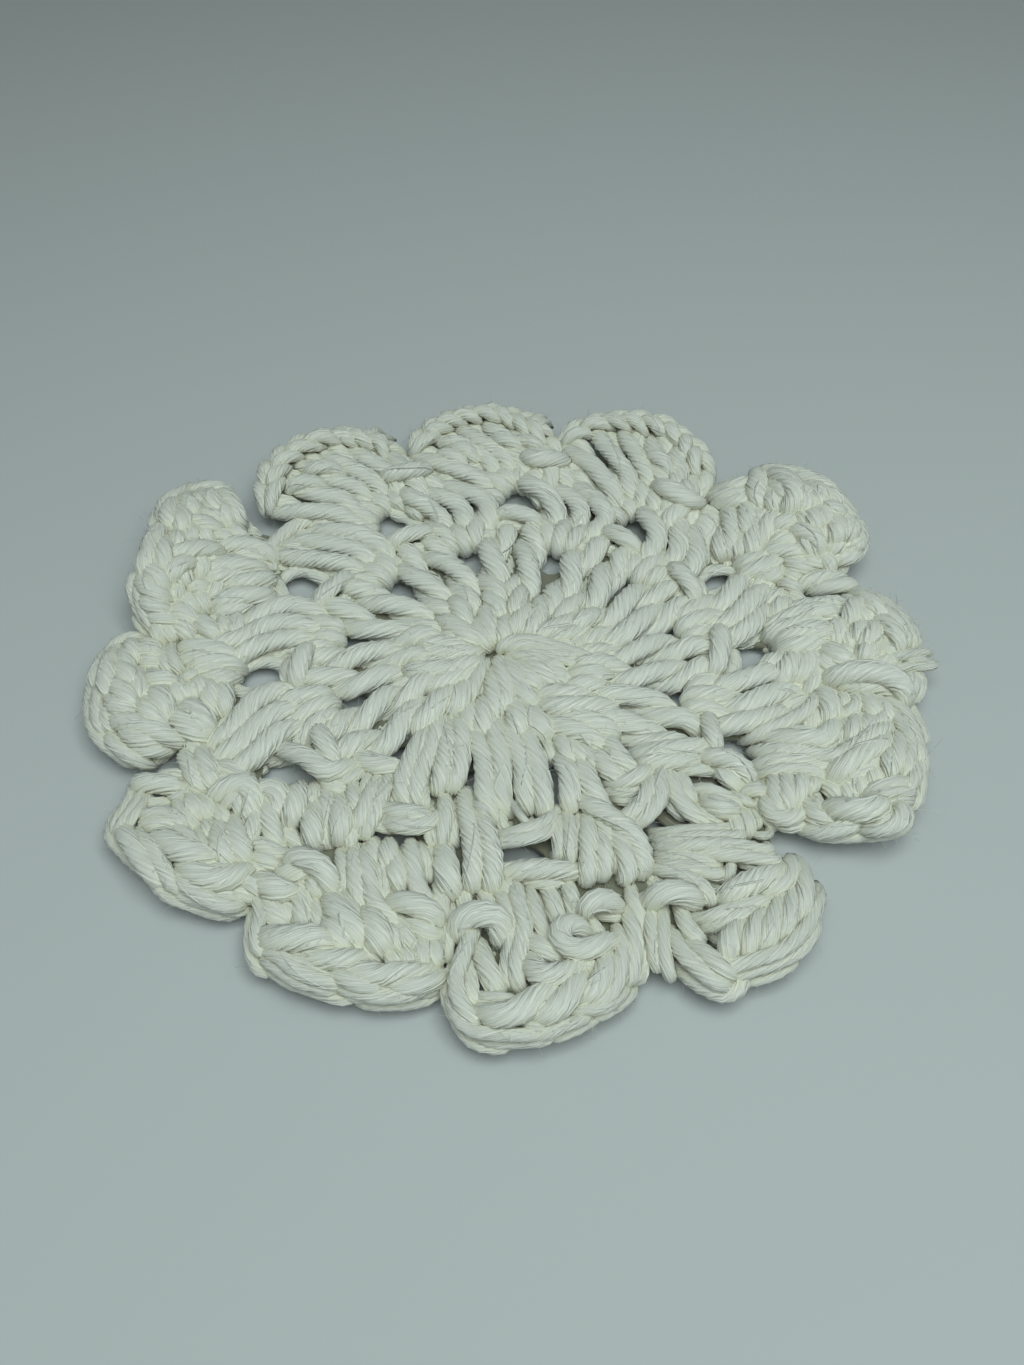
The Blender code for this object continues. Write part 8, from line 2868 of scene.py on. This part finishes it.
@dataclass(frozen=True)
class CottonFinish:
    """Undyed white cotton yarn, with its crevice colour painted down between its stitches by the cover
    attribute.

    Attributes:
        open_colour: Colour of the yarn where light reaches it.
        painted_crevice_colour: Painted light down between the stitches, mixed in by the cover attribute: a
            warmer, brighter cream that stands in for light scattered into the crevices. The ground sheet's
            copy is dark painted shade.
        roughness: Roughness of the fibres.
        sheen: Weight of the soft sheen that the fuzz gives.
        sheen_roughness: Its roughness.
        bump: Strength of the fine fibres.
        bump_height: Their height, in metres.
    """

    open_colour: Colour = (0.886, 0.880, 0.845)
    painted_crevice_colour: Colour = (0.97, 0.95, 0.82)
    roughness: float = 0.42
    sheen: float = 0.12
    sheen_roughness: float = 0.5
    bump: float = 0.65
    bump_height: float = 0.00015

    def build(self, name: str, fibres: bpy.types.NodeTree) -> bpy.types.Material:
        """Makes the material.

        Args:
            name: The material's name.
            fibres: The shared group that draws fibres along the yarn.

        Returns:
            The material.
        """
        material = bpy.data.materials.new(name)
        material.use_nodes = True
        tree = material.node_tree
        shader = tree.nodes["Principled BSDF"]
        shader.inputs["Roughness"].default_value = self.roughness
        shader.inputs["Sheen Weight"].default_value = self.sheen
        shader.inputs["Sheen Roughness"].default_value = self.sheen_roughness
        group = tree.nodes.new("ShaderNodeGroup")
        group.node_tree = fibres
        coordinates = tree.nodes.new("ShaderNodeTexCoord")
        tree.links.new(coordinates.outputs["UV"], group.inputs["Along"])
        # Painted crevice light: the cover attribute mixes the open colour towards the painted crevice colour
        # where other yarn hides the skin.
        cover = tree.nodes.new("ShaderNodeAttribute")
        cover.attribute_name = "cover"
        depth = tree.nodes.new("ShaderNodeMix")
        depth.data_type = "RGBA"
        depth.inputs["A"].default_value = (*self.open_colour, 1.0)
        depth.inputs["B"].default_value = (*self.painted_crevice_colour, 1.0)
        tree.links.new(cover.outputs["Fac"], depth.inputs["Factor"])
        # Multiplies in the Shade output: the fibres' own tones and their painted groove shade.
        tint = tree.nodes.new("ShaderNodeMix")
        tint.data_type = "RGBA"
        tint.blend_type = "MULTIPLY"
        tint.inputs["Factor"].default_value = 1.0
        tree.links.new(depth.outputs["Result"], tint.inputs["A"])
        tree.links.new(group.outputs["Shade"], tint.inputs["B"])
        tree.links.new(tint.outputs["Result"], shader.inputs["Base Color"])
        bump = tree.nodes.new("ShaderNodeBump")
        bump.inputs["Strength"].default_value = self.bump
        bump.inputs["Distance"].default_value = self.bump_height
        tree.links.new(group.outputs["Height"], bump.inputs["Height"])
        tree.links.new(bump.outputs["Normal"], shader.inputs["Normal"])
        return material


@dataclass
class Ground:
    """A thin sheet in place of the worked yarn between the upper and the lower legs, with its gaps open. It
    is coloured with painted shade, dark as the shadow deep in the gaps and between the strands.

    Attributes:
        thick: Thickness in millimetres.
        level: Height of its middle over the underside.
        inset: Distance from the mat's edge in to its own.
        grow: How much wider its gaps are than the mat's, on each side.
        edge_steps: Points of its edge along a petal.
        gap_steps: Points round a gap.
        merge: Distance within which its points become one.
        longest: Length from which an edge is divided.
        cuts: Into how many more pieces it is divided.
    """

    thick: float = 0.8
    level: float = 1.5
    inset: float = 9.0
    grow: float = 0.7
    edge_steps: int = 10
    gap_steps: int = 12
    merge: float = 0.01
    longest: float = 4.0
    cuts: int = 3

    def build(self) -> bpy.types.Object:
        """Makes the sheet.

        Returns:
            A mesh object at the origin.
        """
        curve = bpy.data.curves.new("ground", "CURVE")
        curve.dimensions = "2D"
        curve.fill_mode = "BOTH"
        curve.extrude = 0.5 * self.thick * MM
        self.ring(curve, self.outline())
        for gap in (*SHELL_GAPS, *PAIR_GAPS, *CENTRE_GAPS):
            self.ring(curve, self.oval(gap))
        holder = bpy.data.objects.new("ground", curve)
        bpy.context.scene.collection.objects.link(holder)
        graph = bpy.context.evaluated_depsgraph_get()
        mesh = bpy.data.meshes.new_from_object(holder.evaluated_get(graph))
        bpy.data.objects.remove(holder)
        self.shape(mesh)
        piece = bpy.data.objects.new("ground", mesh)
        bpy.context.scene.collection.objects.link(piece)
        # Full cover: the whole sheet takes the dark painted shade of its material.
        cover = mesh.attributes.new("cover", "FLOAT", "POINT")
        cover.data.foreach_set("value", np.ones(len(mesh.vertices), np.float32))
        return piece

    def shape(self, mesh: bpy.types.Mesh) -> None:
        """Divides the flat sheet and lifts it as the fabric lies.

        Args:
            mesh: The flat sheet, changed in place.
        """
        solid = bmesh.new()
        solid.from_mesh(mesh)
        bmesh.ops.remove_doubles(solid, verts=solid.verts, dist=self.merge * MM)
        bmesh.ops.triangulate(solid, faces=solid.faces)
        long_edges = [edge for edge in solid.edges if edge.calc_length() > self.longest * MM]
        bmesh.ops.subdivide_edges(solid, edges=long_edges, cuts=self.cuts)
        bmesh.ops.triangulate(solid, faces=solid.faces)
        for vertex in solid.verts:
            radius = math.hypot(vertex.co.x, vertex.co.y) / MM
            angle = math.degrees(math.atan2(vertex.co.y, vertex.co.x))
            vertex.co.z += (self.level + LAYOUT.lift(angle, radius)) * MM
        bmesh.ops.recalc_face_normals(solid, faces=solid.faces)
        solid.to_mesh(mesh)
        solid.free()

    def edge(self, index: int, step: float) -> tuple[float, float]:
        """Radius and angle in radians of the sheet's edge, some steps along a petal."""
        first, last = LAYOUT.span(index)
        angle = first + (last - first) * step / self.edge_steps
        return LAYOUT.edge(index, angle) - self.inset, math.radians(angle)

    def outline(self) -> list[tuple[float, float]]:
        """Points along the sheet's edge, in millimetres."""
        places = [self.edge(index, step) for index in range(len(PETALS)) for step in range(self.edge_steps)]
        return [(radius * math.cos(turn), radius * math.sin(turn)) for radius, turn in places]

    def ring(self, curve: bpy.types.Curve, points: Sequence[tuple[float, float]]) -> None:
        """Adds one closed outline to a flat curve.

        Args:
            curve: The curve.
            points: The outline's points in millimetres.
        """
        spline = curve.splines.new("POLY")
        spline.points.add(len(points) - 1)
        for index, (x, y) in enumerate(points):
            spline.points[index].co = (x * MM, y * MM, 0.0, 1.0)
        spline.use_cyclic_u = True

    def oval(self, gap: Gap) -> list[tuple[float, float]]:
        """Points round one gap.

        Args:
            gap: The gap.

        Returns:
            Points in millimetres.
        """
        cos, sin = math.cos(math.radians(gap.angle)), math.sin(math.radians(gap.angle))
        places = [gap.beside(math.tau * step / self.gap_steps, self.grow) for step in range(self.gap_steps)]
        return [(out * cos - side * sin, out * sin + side * cos) for out, side in places]

    def flat_size(self) -> tuple[float, float]:
        """Width and length of the sheet as cut, in metres."""
        across, along = zip(*self.outline())
        return (max(across) - min(across)) * MM, (max(along) - min(along)) * MM

    def flat_area(self) -> float:
        """Area of the sheet in square metres, seen from above and without its gaps."""
        area = 0.0
        for index in range(len(PETALS)):
            first, last = LAYOUT.span(index)
            for step in range(self.edge_steps):
                radius, _ = self.edge(index, step + 0.5)
                area += 0.5 * radius**2 * math.radians((last - first) / self.edge_steps)
        for gap in (*SHELL_GAPS, *PAIR_GAPS, *CENTRE_GAPS):
            area -= math.pi * (0.5 * gap.length + self.grow) * (0.5 * gap.width + self.grow)
        return area * MM * MM


@dataclass
class Studio:
    """The pale floor, the soft light and the camera at the photo's angle.

    Attributes:
        focal: The lens, in pixels of the photo.
        sensor: Width of the camera's sensor, in millimetres.
        near: Distance from which the camera sees, in metres.
        elevation: Camera's angle over the floor, in degrees.
        roll: Camera's turn about its own axis, in radians.
        distance: Camera's distance from the point that it looks at, in metres.
        target: The point that it looks at, in metres.
        floor_size: Half the floor's width, in metres.
        floor_colour: Colour of the floor.
        floor_roughness: Its roughness.
        key_place: Where the soft light hangs, in metres. It faces the coaster.
        key_size: Length of its side, in metres.
        key_power: Its power in watts.
        key_colour: Its colour.
        glow: Strength of the room's dim glow.
        glow_colour: Its colour.
    """

    focal: float = 1210.0
    sensor: float = 36.0
    near: float = 0.005
    elevation: float = 47.3
    roll: float = -0.0205
    distance: float = 0.1575
    target: tuple[float, float, float] = (0.000573, -0.001934, 0.0)
    floor_size: float = 2.5
    floor_colour: Colour = (0.60, 0.62, 0.65)
    floor_roughness: float = 0.9
    key_place: tuple[float, float, float] = (0.06, -0.15, 0.38)
    key_size: float = 0.34
    key_power: float = 1.10
    key_colour: Colour = (0.87, 1.0, 0.94)
    glow: float = 0.165
    glow_colour: Colour = (0.84, 1.0, 0.92)

    def camera(self) -> None:
        """Makes the camera and gives it to the scene."""
        data = bpy.data.cameras.new("camera")
        camera = bpy.data.objects.new("camera", data)
        bpy.context.scene.collection.objects.link(camera)
        tilt = math.radians(self.elevation)
        ahead = Vector((0.0, math.cos(tilt), -math.sin(tilt)))
        right = Vector((1.0, 0.0, 0.0))
        up = right.cross(ahead)
        turned_right = math.cos(self.roll) * right + math.sin(self.roll) * up
        turned_up = math.cos(self.roll) * up - math.sin(self.roll) * right
        pose = Matrix((turned_right, turned_up, -ahead)).transposed().to_4x4()
        pose.translation = Vector(self.target) - self.distance * ahead
        camera.matrix_world = pose
        data.sensor_fit = "AUTO"
        data.sensor_width = self.sensor
        data.lens = data.sensor_width * self.focal / max(PHOTO_SIZE)
        data.clip_start = self.near
        bpy.context.scene.camera = camera

    def floor(self) -> None:
        """Makes the pale floor."""
        mesh = bpy.data.meshes.new("floor")
        plane = bmesh.new()
        bmesh.ops.create_grid(plane, x_segments=1, y_segments=1, size=self.floor_size)
        plane.to_mesh(mesh)
        plane.free()
        floor = bpy.data.objects.new("floor", mesh)
        bpy.context.scene.collection.objects.link(floor)
        material = bpy.data.materials.new("pale_floor")
        material.use_nodes = True
        shader = material.node_tree.nodes["Principled BSDF"]
        shader.inputs["Base Color"].default_value = (*self.floor_colour, 1.0)
        shader.inputs["Roughness"].default_value = self.floor_roughness
        mesh.materials.append(material)

    def key_light(self) -> None:
        """Hangs the square soft light."""
        data = bpy.data.lights.new("key_light", "AREA")
        data.shape = "SQUARE"
        data.size = self.key_size
        data.energy = self.key_power
        data.color = self.key_colour
        lamp = bpy.data.objects.new("key_light", data)
        lamp.location = self.key_place
        lamp.rotation_mode = "QUATERNION"
        lamp.rotation_quaternion = (-Vector(self.key_place)).to_track_quat("-Z", "Y")
        bpy.context.scene.collection.objects.link(lamp)

    def room(self) -> None:
        """Sets the room's dim glow and plain view of colours."""
        world = bpy.data.worlds.new("room")
        world.use_nodes = True
        background = world.node_tree.nodes["Background"]
        background.inputs["Color"].default_value = (*self.glow_colour, 1.0)
        background.inputs["Strength"].default_value = self.glow
        bpy.context.scene.world = world
        bpy.context.scene.view_settings.view_transform = "Standard"

    def build(self) -> None:
        """Makes camera, floor and lights."""
        self.camera()
        self.floor()
        self.key_light()
        self.room()


# Painted shade: the ground sheet's colour is dark, as the shadow deep in the gaps and between the strands.
PAINTED_SHADE_COTTON = CottonFinish(painted_crevice_colour=(0.24, 0.235, 0.18))


def work_yarn() -> list[Strand]:
    """Works the yarn of all rounds and lets it settle.

    Returns:
        All runs of yarn, in the order in which they were worked.
    """
    worker = Worker()
    strands: list[Strand] = []
    for stage in (CentreRound(), PairRound(), GroupRound(), ShellRound(), NotchLoops()):
        made = stage.work(worker)
        length = sum(float(run_length(run.line)[-1]) for run in made)
        log.info("%s: %d runs, %.0f mm of yarn", type(stage).__name__, len(made), length)
        strands += made
    Settling().run(strands)
    return strands


def mesh_yarn(strands: list[Strand]) -> list[bpy.types.Object]:
    """Makes the pieces of yarn, with their loose plies and fuzz.

    Args:
        strands: All runs of yarn.

    Returns:
        One mesh object for each piece.
    """
    mesher = YarnMesher()
    mesher.prepare(strands)
    by_part: dict[Part, list[Skin]] = defaultdict(list)
    for number, strand in enumerate(strands):
        by_part[strand.part].append(mesher.skin(strand, number))
        by_part[Part.LOOSE].append(mesher.loose(strand))
    by_part[Part.FUZZ] = Fuzz().grow([skin for skins in by_part.values() for skin in skins])
    return [mesher.piece(part.value, by_part[part]) for part in Part]


def report(piece: bpy.types.Object) -> None:
    """Logs a piece's size in triangles."""
    triangles = sum(len(polygon.vertices) - 2 for polygon in piece.data.polygons)
    log.info("%s: %d triangles", piece.name, triangles)


def main() -> None:
    """Builds the studio, the coaster's yarn and its ground, gives them their materials and logs each piece's
    size in triangles.
    """
    logging.basicConfig(level=logging.INFO, format="%(name)s %(message)s")
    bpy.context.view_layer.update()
    Studio().build()
    pieces = mesh_yarn(work_yarn())
    ground = Ground()
    sheet = ground.build()
    fibres = FibrePattern().build()
    cotton = CottonFinish().build("white_cotton_yarn", fibres)
    shaded = PAINTED_SHADE_COTTON.build("painted_shade_yarn", fibres)
    for piece in [*pieces, sheet]:
        # The ground sheet takes the painted shade; the yarn takes the cotton with painted crevice light.
        piece.data.materials.append(shaded if piece is sheet else cotton)
        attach(piece, BODY)
        report(piece)
    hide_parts(NODE)
    ground.flat_size()
    ground.flat_area()


if __name__ == "__main__":
    main()
